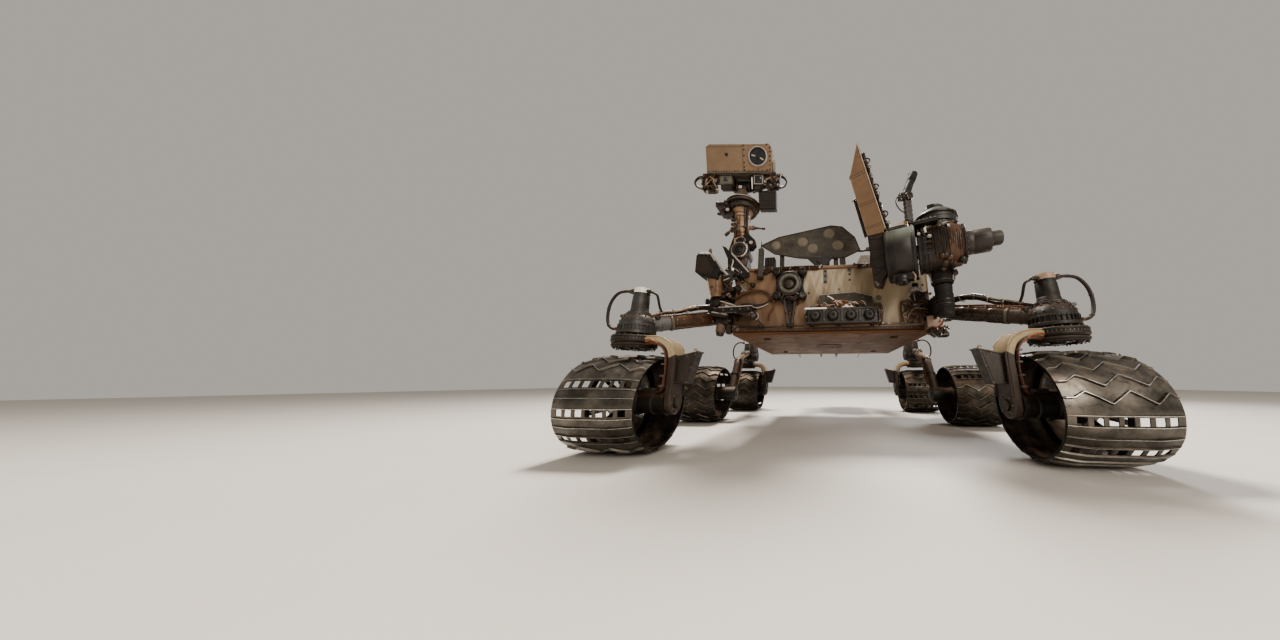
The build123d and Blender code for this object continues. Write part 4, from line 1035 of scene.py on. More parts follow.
def motor_unit(name, s, y, cap):
    # motors on the rover's right side take the paler copy: painted light
    x, can = s * CORNER_X, "motor" if s > 0 else "motor_lit_copy"
    c = (x, y, 0)
    g = Mesh()
    # motor can with end rings, then the taped cap with its plug
    g.lathe(c, Z, [(0.030, 0.7365), (0.055, 0.7365), (0.055, 0.744), (0.048, 0.748), (0.0465, 0.764), (0.0450, 0.766),
                   (0.0450, 0.770), (0.0460, 0.772), (0.0435, 0.838), (0.0415, 0.842), (0.0410, 0.8545), (0, 0.8545)], can, 48)
    g.bolts((x, y, 0.744), Z, 0.0535, 10, 0.0028, 0.0035, "worn")
    g.lathe(c, Z, [(0.036, 0.850), (0.0425, 0.852), (0.0430, 0.858), (0.0420, 0.864), (0.0430, 0.868), (0.0425, 0.880),
                   (0.0400, 0.888), (0.034, 0.890), (0.018, 0.8895), (0.016, 0.887), (0, 0.887)], cap, 44)
    band(g, (x, y, 0.854), Z, 0.0426, 0.006, "dark", 0.0016, 40)
    connector(g, (x + s * 0.037, y, 0.874), (s, 0, 0), 0.0135, 0.046, "dark", "black")
    connector(g, (x - s * 0.037, y - 0.010, 0.870), (-s, -0.1, -0.22), 0.010, 0.040, "dark", "black")
    g.make("motor_" + name, "root")
    # the loop of motor lead, outboard
    g = Mesh()
    loop = [(x + s * 0.070, y, 0.874), (x + s * 0.105, y, 0.877), (x + s * 0.150, y, 0.866), (x + s * 0.184, y + 0.002, 0.828),
            (x + s * 0.199, y + 0.003, 0.775), (x + s * 0.196, y + 0.002, 0.716), (x + s * 0.178, y, 0.672), (x + s * 0.146, y, 0.652),
            (x + s * 0.100, y, 0.652)]
    g.tube(loop, 0.0082, "cable", 12, smooth=8)
    for p, q in ((loop[1], loop[2]), (loop[4], loop[5]), (loop[6], loop[7])):
        d = Vector(q) - Vector(p)
        g.lathe(Vector(p), d, [(0.0080, -0.006), (0.0094, -0.005), (0.0094, 0.005), (0.0080, 0.006)], "black", 12)
    g.lathe((x + s * 0.088, y, 0.652), (s, 0, 0), [(0, 0), (0.017, 0), (0.017, 0.012), (0.0125, 0.018), (0.011, 0.034), (0, 0.034)], "dark", 20)
    g.lathe((x + s * 0.126, y, 0.652), (s, 0, 0), [(0.008, 0), (0.0102, 0.001), (0.0102, 0.012), (0.008, 0.013)], "copper", 14)
    g.make("lead_loop_" + name, "root", "steering_cables")


for name, s, y, cap in CORNERS:
    motor_unit(name, s, y, cap)
g = Mesh()
for name, s, y, cap in CORNERS:
    # seats under the motors
    g.lathe((s * CORNER_X, y, 0), Z, [(0.050, 0.7362), (0.060, 0.7362), (0.060, 0.7392), (0.050, 0.7392)], "worn", 40)
g.make("motor_seats", "root", "steering_motors")


def flange(g, s, y):
    """Fixed shoulder ring over the turning disc."""
    # ring on the rover's right side in the paler motor copy: painted light
    x, can = s * CORNER_X, "motor" if s > 0 else "motor_lit_copy"
    c = (x, y, 0)
    g.lathe(c, Z, [(0.050, 0.736), (0.064, 0.736), (0.066, 0.732), (0.066, 0.722), (0.072, 0.717), (0.080, 0.708), (0.088, 0.692),
                   (0.092, 0.674), (0.092, 0.668), (0.0955, 0.666), (0.0955, 0.656), (0.092, 0.654), (0.092, 0.634),
                   (0.099, 0.630), (0.100, 0.616), (0.096, 0.612), (0.04, 0.612)], can, 60)
    g.bolts((x, y, 0.7205), Z, 0.0715, 14, 0.0036, 0.005, "worn")
    ribs_round(g, c, 0.0915, 0.630, 0.664, 30, 0.0062, 0.0034, can)
    for i in range(16):
        a = 2 * math.pi * (i + 0.5) / 16
        d = Vector((math.cos(a), math.sin(a), 0.75)).normalized()
        g.bolt(Vector(c) + Vector((math.cos(a) * 0.0885, math.sin(a) * 0.0885, 0.689)), d, 0.0034, 0.0045, "steel" if i % 5 == 0 else "worn")
    # sensor box and short pipe on the ring, inboard
    g.block((-0.026, -0.018, 0), (0.026, 0.018, 0.026), "dark", 0.003, origin=(x - s * 0.070, y + 0.052, 0.706))
    g.block((-0.012, -0.010, 0), (0.012, 0.010, 0.016), "worn", 0.002, origin=(x + s * 0.040, y - 0.072, 0.700))


# ------------------------------------------------------------------ turning knuckles
def gooseneck(g, s, y):
    """Curved band from the disc, over the wheel's inner rim, to the wheel drive; its upper arc is pale as painted
    light, its lower part dark as painted shade.
    """
    outer = [(1.060, 0.5965), (0.935, 0.596), (0.903, 0.589), (0.872, 0.575), (0.848, 0.556), (0.829, 0.528), (0.817, 0.500),
             (0.812, 0.473), (0.812, 0.400), (0.812, 0.320), (0.812, 0.250)]
    inner = [(1.060, 0.562), (0.935, 0.562), (0.914, 0.558), (0.893, 0.549), (0.877, 0.537), (0.864, 0.518), (0.855, 0.497),
             (0.850, 0.473), (0.850, 0.400), (0.850, 0.320), (0.850, 0.250)]
    outer = spaced(rounded([(s * a, 0, b) for a, b in outer], 0.03, 3), 0.016)
    inner = spaced(rounded([(s * a, 0, b) for a, b in inner], 0.03, 3), 0.016)
    n = min(len(outer), len(inner)) - 1
    verts, faces = [], []
    c = 0.007
    for i in range(n + 1):
        p = outer[int(round(i * (len(outer) - 1) / n))]
        q = inner[int(round(i * (len(inner) - 1) / n))]
        d = (q - p).normalized()
        half = 0.062
        for a, b in ((p + d * c, -half), (p, -half + c), (p, half - c), (p + d * c, half), (q - d * c, half), (q, half - c), (q, -half + c), (q - d * c, -half)):
            verts.append((a.x, y + b, a.z))
    kinds = []
    for i in range(n):
        # upper part of the band in the pale paint as painted light, lower part in the dark tube colour as painted shade
        low = verts[i * 8][2] < 0.505
        for k in range(8):
            m = (k + 1) % 8
            faces.append((i * 8 + k, i * 8 + m, (i + 1) * 8 + m, (i + 1) * 8 + k))
            kinds.append(index("tube" if low else "band_painted_light"))
    faces.append(tuple(range(8)))
    faces.append(tuple(n * 8 + k for k in range(8)))
    g.add(verts, faces, kinds + [index("tube")] * 2)
    # raised rims along both edges of the band's back, pale above and dark below like the band: painted light and shade
    for side in (-1, 1):
        edge = [Vector((p.x, y + side * 0.056, p.z)) + (p - q).normalized() * 0.0015 for p, q in
                ((outer[int(round(i * (len(outer) - 1) / n))], inner[int(round(i * (len(inner) - 1) / n))]) for i in range(2, n - 1))]
        g.tube([p for p in edge if p.z > 0.50], 0.0038, "band_painted_light", 6, smooth=1)
        g.tube([p for p in edge if p.z < 0.515], 0.0038, "tube", 6, smooth=1)


def knuckle(name, s, y):
    x = s * CORNER_X
    c = (x, y, 0)
    body, node = "knuckle_" + name, "steering_knuckle_" + name
    g = Mesh()
    # turning disc with a stepped rim and a ring of bolts
    g.lathe(c, Z, [(0.03, 0.604), (0.104, 0.604), (0.106, 0.6015), (0.113, 0.6015), (0.118, 0.598), (0.118, 0.590), (0.1145, 0.588),
                   (0.1145, 0.580), (0.118, 0.578), (0.118, 0.569), (0.112, 0.562), (0.03, 0.562)], "motor", 72)
    ribs_round(g, c, 0.1145, 0.5795, 0.5885, 48, 0.003, 0.004, "worn", 0.02, 0.0005)
    g.bolts((x, y, 0.6015), Z, 0.1095, 22, 0.0032, 0.0045, "worn")
    # wound cable capsule under the disc, with a fringe of ties
    g.lathe(c, Z, [(0.050, 0.5625), (0.106, 0.5625), (0.1125, 0.557), (0.1125, 0.549), (0.106, 0.5425), (0.090, 0.540), (0.045, 0.540), (0.0, 0.541)], "black", 56)
    rng = random.Random(int(10 * x + 100 * y))
    for r, z, t, m in ((0.1085, 0.5515, 0.0066, "cable"), (0.104, 0.5420, 0.0058, "cable"), (0.092, 0.5385, 0.0056, "film_dark"), (0.078, 0.5375, 0.005, "cable")):
        ring = []
        for k in range(40):
            a = 2 * math.pi * k / 40
            ring.append((x + math.cos(a) * (r + rng.uniform(-0.0012, 0.0012)), y + math.sin(a) * (r + rng.uniform(-0.0012, 0.0012)), z + rng.uniform(-0.001, 0.001)))
        g.tube(ring, t, m, 8, closed=True, smooth=2)
    for k in range(44):
        a = 2 * math.pi * (k + rng.random() * 0.5) / 44
        d, e = Vector((math.cos(a), math.sin(a), 0)), Vector((-math.sin(a), math.cos(a), 0))
        low = 0.528 + rng.random() * 0.007
        r = 0.094 + rng.random() * 0.012
        g.block((r - 0.003, -0.003, low), (r + 0.003, 0.003, 0.546), "film_dark" if k % 4 else "worn", 0.001, origin=c, x=d, y=e, z=Z)
    g.drum((x, y, 0.529), Z, 0.030, 0.014, "dark", 0.003, 28)
    # band
    gooseneck(g, s, y)
    g.drum((s * 0.8125, y, WHEEL_R), (s, 0, 0), 0.062, 0.037, "tube", 0.006, 44)
    # stop plate with a lip, a hook and rivets, on the band's inboard side
    half = 0.034
    outline = [(0.703, 0.511), (0.815, 0.486), (0.815, 0.344), (0.747, 0.344)]
    g.plate(outline if s > 0 else [(-a, b) for a, b in outline], 2 * half, "dark", (0, y + half, 0), bevel=0.003)
    lip = [(0.700, 0.5155), (0.8145, 0.490), (0.8145, 0.484), (0.7015, 0.509)]
    g.plate([(s * a, b) for a, b in lip], 2 * half + 0.012, "worn", (0, y + half + 0.006, 0), bevel=0.001)
    inset = [(0.722, 0.492), (0.803, 0.474), (0.803, 0.358), (0.754, 0.358)]
    g.plate([(s * a, b) for a, b in inset], 0.003, "dark", (0, y - half + 0.0005, 0), bevel=0.001)
    for a, b in ((0.715, 0.497), (0.806, 0.478), (0.806, 0.352), (0.752, 0.352), (0.760, 0.488), (0.732, 0.430)):
        g.bolt((s * a, y - half, b), (0, -1, 0), 0.0032, 0.003, "worn")
        g.bolt((s * a, y + half, b), (0, 1, 0), 0.0032, 0.003, "worn")
    g.tube([(s * 0.7195, y - 0.012, 0.507), (s * 0.7185, y - 0.012, 0.523), (s * 0.727, y - 0.012, 0.528), (s * 0.735, y - 0.012, 0.522)], 0.0042, "cap_tan", 8, smooth=5)
    g.block((-0.008, -0.010, 0), (0.008, 0.010, 0.008), "pad", 0.001, origin=(s * 0.729, y - 0.012, 0.5045))
    # bracket between plate and band
    for b in (0.366, 0.424):
        g.block((-0.014, -0.028, -0.006), (0.010, 0.028, 0.006), "dark", 0.002, origin=(s * 0.815, y, b))
    # wheel drive: flanged housing inboard of the wheel's hub
    g.lathe((0, y, WHEEL_R), (s, 0, 0), [(0.030, 0.850), (0.060, 0.850), (0.066, 0.853), (0.066, 0.863), (0.060, 0.868), (0.056, 0.872), (0.056, 0.918),
                                         (0.061, 0.922), (0.061, 0.934), (0.056, 0.938), (0.056, 1.000), (0.062, 1.006), (0.062, 1.058),
                                         (0.057, 1.062), (0.057, 1.078), (0.050, 1.084), (0.0300, 1.086), (0.0296, 1.148), (0.0, 1.1490)], "motor", 52, hint=(0, 0, 1))
    g.bolts((s * 0.8635, y, WHEEL_R), (s, 0, 0), 0.061, 12, 0.003, 0.004, "worn")
    g.bolts((s * 1.058, y, WHEEL_R), (s, 0, 0), 0.0585, 10, 0.0028, 0.004, "worn")
    g.bolts((s * 0.8125, y, WHEEL_R), (-s, 0, 0), 0.046, 8, 0.004, 0.004, "worn")
    g.drum((s * 0.8125, y, WHEEL_R), (-s, 0, 0), 0.026, 0.010, "dark", 0.002, 28)
    g.block((0.94, -0.020, 0.050), (0.995, 0.020, 0.074), "dark", 0.003, origin=(0, y, WHEEL_R), x=(s, 0, 0), y=(0, 1, 0), z=Z)
    # copper leads down the band's edge to the drive
    for k, (dy, m, r) in enumerate(((-0.058, "copper", 0.0052), (-0.049, "cable", 0.0056), (-0.0665, "copper", 0.0040), (-0.041, "copper", 0.0036))):
        j = 0.004 * math.sin(k * 2.1)
        path = [(s * 1.030, y + dy * 0.6, 0.549), (s * 0.985, y + dy * 0.8, 0.5515 - j), (s * 0.938, y + dy, 0.5535), (s * 0.906, y + dy, 0.547 - j),
                (s * 0.880, y + dy, 0.527), (s * 0.866 + s * j, y + dy * 1.02, 0.498), (s * 0.8585, y + dy * 1.03, 0.460), (s * 0.8575 + s * j, y + dy * 1.02, 0.410),
                (s * 0.859, y + dy * 1.0, 0.360), (s * 0.866, y + dy * 0.96, 0.322), (s * 0.886, y + dy * 0.75, 0.303), (s * 0.915, y + dy * 0.5, 0.303)]
        g.tube(path, r, m, 8, smooth=5)
    for z in (0.50, 0.445, 0.385, 0.335):
        x0 = 0.862 if z < 0.49 else 0.869
        g.block((-0.013, -0.006, -0.0045), (0.006, 0.040, 0.0045), "worn", 0.0015, origin=(s * x0, y - 0.072, z))
    g.tube([(s * 0.997, y - 0.040, 0.553), (s * 0.990, y - 0.052, 0.560), (s * 0.962, y - 0.060, 0.563), (s * 0.934, y - 0.060, 0.557), (s * 0.918, y - 0.050, 0.548)], 0.005, "copper", 8, smooth=6)
    g.tube([(s * 0.992, y - 0.062, 0.572), (s * 0.968, y - 0.070, 0.576), (s * 0.940, y - 0.068, 0.570), (s * 0.915, y - 0.0655, 0.556), (s * 0.893, y - 0.0655, 0.536)], 0.0042, "orange", 8, smooth=6)
    g.make("knuckle_detail_" + name, body, node)


for name, s, y, cap in CORNERS:
    knuckle(name, s, y)

# ------------------------------------------------------------------ rockers, bogies, differential
PIVOT = Vector((0, MID_Y - 0.150, 0.830))
BOGIE = Vector((0, MID_Y + 0.480, 0.640))


def boss(g, x0, x1, s, y, z, r, material, bolts=10):
    """Pivot boss along x with a stepped cover at its outer end."""
    length = abs(x1 - x0)
    g.lathe((x0, y, z), (s, 0, 0), [(0.02, 0), (r - 0.004, 0), (r, 0.004), (r, length * 0.34), (r - 0.005, length * 0.38), (r - 0.005, length * 0.62),
                                     (r, length * 0.66), (r, length - 0.004), (r - 0.004, length), (r * 0.62, length), (r * 0.60, length + 0.004),
                                     (r * 0.36, length + 0.005), (r * 0.34, length + 0.009), (0, length + 0.009)], material, 52)
    g.bolts((x0 + s * length, y, z), (s, 0, 0), r * 0.80, bolts, 0.0045, 0.005, "worn")


def clevis(g, line, r, material):
    """Fitted collar at a tube's end."""
    (a, b) = (Vector(line[0]), Vector(line[1]))
    g.lathe(a, b - a, [(r, -0.002), (r + 0.006, 0.0), (r + 0.006, 0.030), (r + 0.002, 0.036), (r, 0.040)], material, 36)


for side, s in (("left", 1), ("right", -1)):
    g = Mesh()
    # on the rover's right the painted tube and its film wrap take paler copies: painted light
    metal = "tube" if s > 0 else "tube_lit_copy"
    front = rounded([(s * 0.735, PIVOT.y, 0.830), (s * 0.770, BODY_Y0 + 0.060, 0.792), (s * CORNER_X, FRONT_Y, 0.664)], 0.130, 10)
    rear = rounded([(s * 0.735, PIVOT.y, 0.830), (s * 0.790, MID_Y + 0.260, 0.745), (s * 0.838, BOGIE.y, 0.640)], 0.110, 10)
    boss(g, s * 0.641, s * 0.790, s, PIVOT.y, 0.830, 0.072, "motor")
    # front tube: bare by the pivot, wound in film where it bends, painted towards the steering; paler paint and film on
    # the rover's right are painted light
    sleeve(g, part_of(front, 0.02, 0.52), 0.0455, "tube", 28, caps=False)
    sleeve(g, part_of(front, 0.46, 0.84), film(0.0475, 0.036, 0.0018, 0.0030, s), "film_dark" if s > 0 else "film", 30, 0.006)
    sleeve(g, part_of(front, 0.82, 0.985), 0.0455, metal, 32, caps=False)
    taper = part_of(front, 0.80, 0.86)
    band(g, taper[len(taper) // 2], taper[-1] - taper[0], 0.0475, 0.014, "worn", 0.003, 36, lug=(0, 0, 1))
    for share in (0.885, 0.925):
        p = part_of(front, share, share + 0.02)
        band(g, p[0], p[-1] - p[0], 0.0458, 0.007, metal, 0.0028, 36)
    # cable runs on the tube's back, humped clear of it, with ties
    top = part_of(front, 0.40, 0.955)
    n = len(top)
    hump = []
    for i, (p, (sd, u, t)) in enumerate(zip(top, frames(top))):
        k = i / (n - 1)
        rise = 0.052 + (0.050 if s > 0 else 0.030) * math.exp(-((k - 0.46) / 0.22) ** 2) + 0.010 * math.exp(-((k - 0.8) / 0.10) ** 2)
        hump.append(p + u * rise)
    harness(g, hump, 7, 0.022, 0.0058, ("cable", "copper", "cable", "braid", "cable", "film"), 11 + s, 0.07, flat=0.55)
    sleeve(g, part_of(hump, 0.20, 0.58), film(0.018, 0.03, 0.0015, 0.004, 2.2 * s), "film_dark", 16, 0.008)
    harness(g, shifted(part_of(front, 0.44, 0.90), 0.030 * s, 0.040), 3, 0.010, 0.0048, ("copper", "cable", "braid"), 23 + s, 0.08)
    # loose strap and bright ends by the body's corner
    p0 = part_of(front, 0.505, 0.56)
    band(g, p0[0], p0[-1] - p0[0], 0.0535, 0.026, "cap_tan", 0.003, 28, lug=(0, 0, 1))
    p0 = part_of(front, 0.56, 0.60)
    g.tube([p0[0] + Z * 0.055, p0[1] + Z * 0.072 + Vector((s * 0.01, -0.02, 0)), p0[-1] + Z * 0.064 + Vector((s * 0.03, -0.03, 0))], 0.005, "bright", 8, smooth=6)
    # second lead: motor cap to the top of the tube
    x = s * CORNER_X
    end = part_of(front, 0.86, 0.90)[0] + Z * 0.060
    a = Vector((x - s * 0.078, FRONT_Y - 0.012, 0.858))
    g.tube([a, a + Vector((-s * 0.025, 0.004, -0.018)), a.lerp(end, 0.55) + Vector((0, -0.004, -0.022)), end + Vector((s * 0.012, -0.006, -0.002)), end + Vector((-s * 0.030, 0.03, 0.004))], 0.0066, "cable", 10, smooth=7)
    flange(g, s, FRONT_Y)
    # rear tube down to the bogie pivot
    sleeve(g, part_of(rear, 0.02, 0.99), 0.0415, "tube", 28, caps=False)
    for share in (0.14, 0.80):
        p = part_of(rear, share, share + 0.04)
        band(g, p[0], p[-1] - p[0], 0.0418, 0.018, "motor", 0.004, 32, lug=(s, 0, 0.3))
    harness(g, shifted(part_of(rear, 0.10, 0.92), 0, 0.047), 4, 0.012, 0.0048, ("cable", "copper", "cable"), 31 + s, 0.09)
    boss(g, s * 0.800, s * 0.8865, s, BOGIE.y, BOGIE.z, 0.062, "motor", 8)
    g.make("rocker_detail_" + side, "root", "rocker_" + side)

    g = Mesh()
    mid = rounded([(s * 0.934, BOGIE.y, BOGIE.z), (s * 0.905, MID_Y + 0.150, 0.560), (s * 0.905, MID_Y, WHEEL_R)], 0.105, 10)
    back = rounded([(s * 0.934, BOGIE.y, BOGIE.z), (s * 0.930, REAR_Y - 0.200, 0.690), (s * CORNER_X, REAR_Y, 0.662)], 0.105, 10)
    boss(g, s * 0.8875, s * 0.972, s, BOGIE.y, BOGIE.z, 0.062, "motor", 8)
    sleeve(g, mid, 0.0395, "tube", 28, caps=False)
    sleeve(g, back, 0.0415, "tube", 28, caps=False)
    for line, r, shares in ((mid, 0.0397, (0.16, 0.50, 0.72)), (back, 0.0417, (0.14, 0.40, 0.66, 0.90))):
        for share in shares:
            p = part_of(line, share, share + 0.04)
            band(g, p[0], p[-1] - p[0], r, 0.016, "motor", 0.004, 32, lug=(-s * 0.4, 0, 1))
    harness(g, shifted(part_of(mid, 0.08, 0.86), 0.006, 0.045, hint=(-s, 0, 0.4)), 4, 0.011, 0.0046, ("cable", "copper", "braid"), 41 + s, 0.09)
    harness(g, shifted(part_of(back, 0.08, 0.92), 0, 0.048), 4, 0.012, 0.0048, ("cable", "copper", "cable"), 43 + s, 0.09)
    # middle wheel drive
    y = MID_Y
    g.lathe((0, y, WHEEL_R), (s, 0, 0), [(0.0, 0.8585), (0.050, 0.8585), (0.062, 0.864), (0.062, 0.960), (0.056, 0.965), (0.056, 1.022), (0.062, 1.028),
                                         (0.062, 1.040), (0.057, 1.045), (0.057, 1.150), (0.050, 1.172), (0.0300, 1.1755), (0.0296, 1.238), (0.0, 1.239)], "motor", 48, hint=(0, 0, 1))
    g.bolts((s * 1.0285, y, WHEEL_R), (-s, 0, 0), 0.0590, 12, 0.003, 0.004, "worn")
    g.bolts((s * 0.8595, y, WHEEL_R), (-s, 0, 0), 0.044, 8, 0.004, 0.004, "worn")
    g.drum((s * 0.8595, y, WHEEL_R), (-s, 0, 0), 0.022, 0.008, "dark", 0.002, 24)
    flange(g, s, REAR_Y)
    x = s * CORNER_X
    end = part_of(back, 0.86, 0.90)[0] + Z * 0.055
    a = Vector((x - s * 0.078, REAR_Y - 0.012, 0.858))
    g.tube([a, a + Vector((-s * 0.025, 0.004, -0.018)), a.lerp(end, 0.55) + Vector((0, 0, -0.015)), end], 0.0062, "cable", 10, smooth=7)
    g.make("bogie_detail_" + side, "root", "bogie_" + side)

g = Mesh()
y = PIVOT.y
g.block((-0.600, -0.024, 1.136), (0.600, 0.024, 1.182), "dark", 0.005, origin=(0, y, 0))
for x in (-0.42, -0.20, 0.20, 0.42):
    g.block((-0.030, -0.027, 1.139), (0.030, 0.027, 1.185), "motor", 0.003, origin=(x, y, 0))
    for k in (-1, 1):
        g.bolt((x + 0.017 * k, y, 1.185), Z, 0.006, 0.005, "worn")
g.lathe((0, y, 0), Z, [(0.076, 1.1202), (0.076, 1.130), (0.060, 1.134), (0.060, 1.196), (0.054, 1.204), (0.040, 1.206), (0.038, 1.210), (0, 1.210)], "motor", 48)
g.bolts((0, y, 1.130), Z, 0.068, 12, 0.005, 0.005, "worn")
g.bolts((0, y, 1.205), Z, 0.046, 6, 0.004, 0.004, "worn")
for s in (-1, 1):
    g.lathe((s * 0.590, y, 1.158), (s, 0, 0), [(0, 0), (0.028, 0), (0.028, 0.018), (0.022, 0.022), (0.022, 0.104), (0.027, 0.108), (0.027, 0.146), (0, 0.148)], "dark", 28)
    g.lathe((s * 0.715, y, 0), Z, [(0, 0.904), (0.026, 0.904), (0.026, 0.934), (0.015, 0.944), (0.0150, 1.06), (0.018, 1.065), (0.018, 1.085), (0.015, 1.09), (0.015, 1.13), (0.024, 1.134), (0.024, 1.186), (0, 1.188)], "worn", 24)
g.make("differential_detail", "root", "differential_bar")

# ------------------------------------------------------------------ body
X, Y = Vector((1, 0, 0)), Vector((0, 1, 0))
SEAM_Z, BODY_TOP, DECK_TOP = 0.680, 1.100, 1.120
PIVOT_Y, PIVOT_Z = MID_Y - 0.150, 0.830

g = Mesh()
g.plate(round_rect(-BODY_X, BODY_Y0, BODY_X, BODY_Y1, 0.018), BODY_TOP - SEAM_Z, "tan", (0, 0, SEAM_Z), X, Y, 0.001)
skin(g, (-0.622, BODY_Y0, 0.701), X, Z, 1.244, 0.392, -Y, "front_face", 190, 60, 3.0, 0.0012, 0.0055)
# dark seam strip where the belly meets the walls, with its row of small heads
g.plate(round_rect(-0.6475, BODY_Y0 - 0.0085, 0.6475, BODY_Y1 + 0.0085, 0.022), 0.020, "seam", (0, 0, 0.6745), X, Y, 0.003)
rivets(g, (-0.60, BODY_Y0 - 0.0085, 0.685), (0.60, BODY_Y0 - 0.0085, 0.685), -Y, 26, 0.004, 0.0025, "worn")
rivets(g, (-0.60, BODY_Y1 + 0.0085, 0.685), (0.60, BODY_Y1 + 0.0085, 0.685), Y, 26, 0.004, 0.0025, "worn")
# worn rail low on the face, with odd bright bits
g.tube([(0.325, -0.882, 0.7085), (0.42, -0.885, 0.711), (0.50, -0.883, 0.7085), (0.62, -0.882, 0.712)], 0.0045, "worn", 7)
g.tube([(-0.62, -0.884, 0.706), (-0.50, -0.886, 0.709), (-0.38, -0.884, 0.706), (-0.16, -0.883, 0.709)], 0.0040, "tube", 7)
for x, z in ((0.335, 0.716), (0.372, 0.712), (0.455, 0.715), (0.58, 0.716)):
    g.block((x - 0.008, -0.892, z - 0.005), (x + 0.008, -0.874, z + 0.005), "edge", 0.0015)
# fastener columns with stained tape, and two round caps
for x, top in ((-0.018, 1.092), (0.142, 1.098)):
    g.block((x - 0.013, -0.8795, top - 0.098), (x + 0.013, -0.874, top), "ring_olive", 0.0008)
    for z in (top - 0.012, top - 0.046, top - 0.086):
        g.bolt((x, -0.8795, z), -Y, 0.0055, 0.005, "dark")
g.lathe((0.321, -0.876, 0.883), -Y, [(0, 0), (0.017, 0), (0.017, 0.005), (0.012, 0.0065), (0, 0.0065)], "ring_olive", 24)
g.lathe((0.517, -0.876, 0.883), -Y, [(0, 0), (0.022, 0), (0.022, 0.007), (0.017, 0.010), (0, 0.010)], "edge", 28)
g.bolt((0.517, -0.886, 0.883), -Y, 0.006, 0.004, "worn")
for x, z in ((-0.60, 1.06), (-0.36, 1.07), (0.60, 1.07), (0.38, 1.085), (-0.13, 0.93), (0.07, 0.95), (0.30, 0.99), (-0.46, 0.72), (-0.30, 0.715), (0.60, 0.96)):
    g.bolt((x, -0.8785, z), -Y, 0.0045, 0.0045, "dark")
for s in (-1, 1):
    # side walls: raised panels with riveted edges, a round port and a slotted vent
    for y0, y1, z0, z1 in ((-0.852, -0.325, 0.705, 1.088), (-0.122, 0.402, 0.705, 1.088), (-0.312, -0.135, 0.922, 1.088)):
        g.block((min(s * 0.6425, s * 0.636), y0, z0), (max(s * 0.6425, s * 0.636), y1, z1), "tan_light" if y0 > -0.2 else "tan", 0.0016)
        n = max(4, int((y1 - y0) / 0.06))
        for z in (z0 + 0.012, z1 - 0.012):
            rivets(g, (s * 0.6425, y0 + 0.014, z), (s * 0.6425, y1 - 0.014, z), X * s, n)
        for y in (y0 + 0.012, y1 - 0.012):
            rivets(g, (s * 0.6425, y, z0 + 0.05), (s * 0.6425, y, z1 - 0.05), X * s, 6)
    g.lathe((s * 0.6420, 0.14, 0.93), X * s, [(0, 0), (0.070, 0), (0.070, 0.006), (0.062, 0.009), (0.056, 0.006), (0, 0.006)], "lightgrey", 44)
    g.bolts((s * 0.6475, 0.14, 0.93), X * s, 0.064, 12, 0.0042, 0.004)
    g.block((min(s * 0.6425, s * 0.655), -0.60, 0.93), (max(s * 0.6425, s * 0.655), -0.46, 1.03), "dark", 0.003)
    for k in range(6):
        z = 0.945 + k * 0.014
        g.block((min(s * 0.655, s * 0.6585), -0.592, z - 0.003), (max(s * 0.655, s * 0.6585), -0.468, z + 0.003), "black", 0.001)
    # cable run along the wall, under clips
    run = rounded([(s * 0.651, -0.80, 0.775), (s * 0.651, -0.40, 0.775), (s * 0.651, -0.33, 0.735), (s * 0.651, -0.10, 0.735), (s * 0.651, -0.03, 0.80), (s * 0.651, 0.38, 0.80)], 0.04)
    for k, m in enumerate(("cable", "copper", "cable", "film_dark")):
        g.tube(shifted(spaced(run, 0.03), 0.0, (k - 1.5) * 0.011, 0.002, k), 0.0046, m, 7, smooth=2)
    for y, z in ((-0.74, 0.775), (-0.58, 0.775), (-0.44, 0.775), (-0.22, 0.735), (0.06, 0.80), (0.20, 0.80), (0.33, 0.80)):
        g.block((min(s * 0.6425, s * 0.659), y - 0.008, z - 0.028), (max(s * 0.6425, s * 0.659), y + 0.008, z + 0.028), "titanium", 0.002)
        g.bolt((s * 0.659, y, z + 0.020), X * s, 0.004, 0.004)
    for y in (-0.82, 0.39):
        connector(g, (s * 0.640, y, 0.795), X * s, 0.014, 0.030, "steel", "black")
# back wall: panels, plug field and lugs
for x0, x1 in ((-0.608, -0.288), (-0.180, 0.180), (0.288, 0.608)):
    g.block((x0, BODY_Y1 - 0.004, 0.705), (x1, BODY_Y1 + 0.0025, 1.088), "tan_light" if x0 != -0.180 else "lightgrey", 0.0016)
    for z in (0.717, 1.076):
        rivets(g, (x0 + 0.014, BODY_Y1 + 0.0025, z), (x1 - 0.014, BODY_Y1 + 0.0025, z), Y, 7)
    for x in (x0 + 0.012, x1 - 0.012):
        rivets(g, (x, BODY_Y1 + 0.0025, 0.76), (x, BODY_Y1 + 0.0025, 1.03), Y, 6)
for i in range(4):
    for k in range(2):
        connector(g, (-0.42 - i * 0.045, BODY_Y1, 0.80 + k * 0.055), Y, 0.014, 0.034, "steel" if (i + k) % 3 else "gold", "black")
g.block((0.40, BODY_Y1, 0.76), (0.56, BODY_Y1 + 0.030, 0.88), "dark", 0.004)
g.bolts((0.48, BODY_Y1 + 0.030, 0.82), Y, 0.070, 4, 0.005, 0.005, start=math.pi / 4)
for k, m in enumerate(("cable", "cable", "copper", "film_dark")):
    hoop(g, (-0.42 - k * 0.045, BODY_Y1 + 0.030, 0.855), (-0.30, BODY_Y1 + 0.004, 1.02 - k * 0.02), (0.02, 0.045, 0.05), 0.0052, m, 8)
g.make("body_shell", "root", "equipment_box")

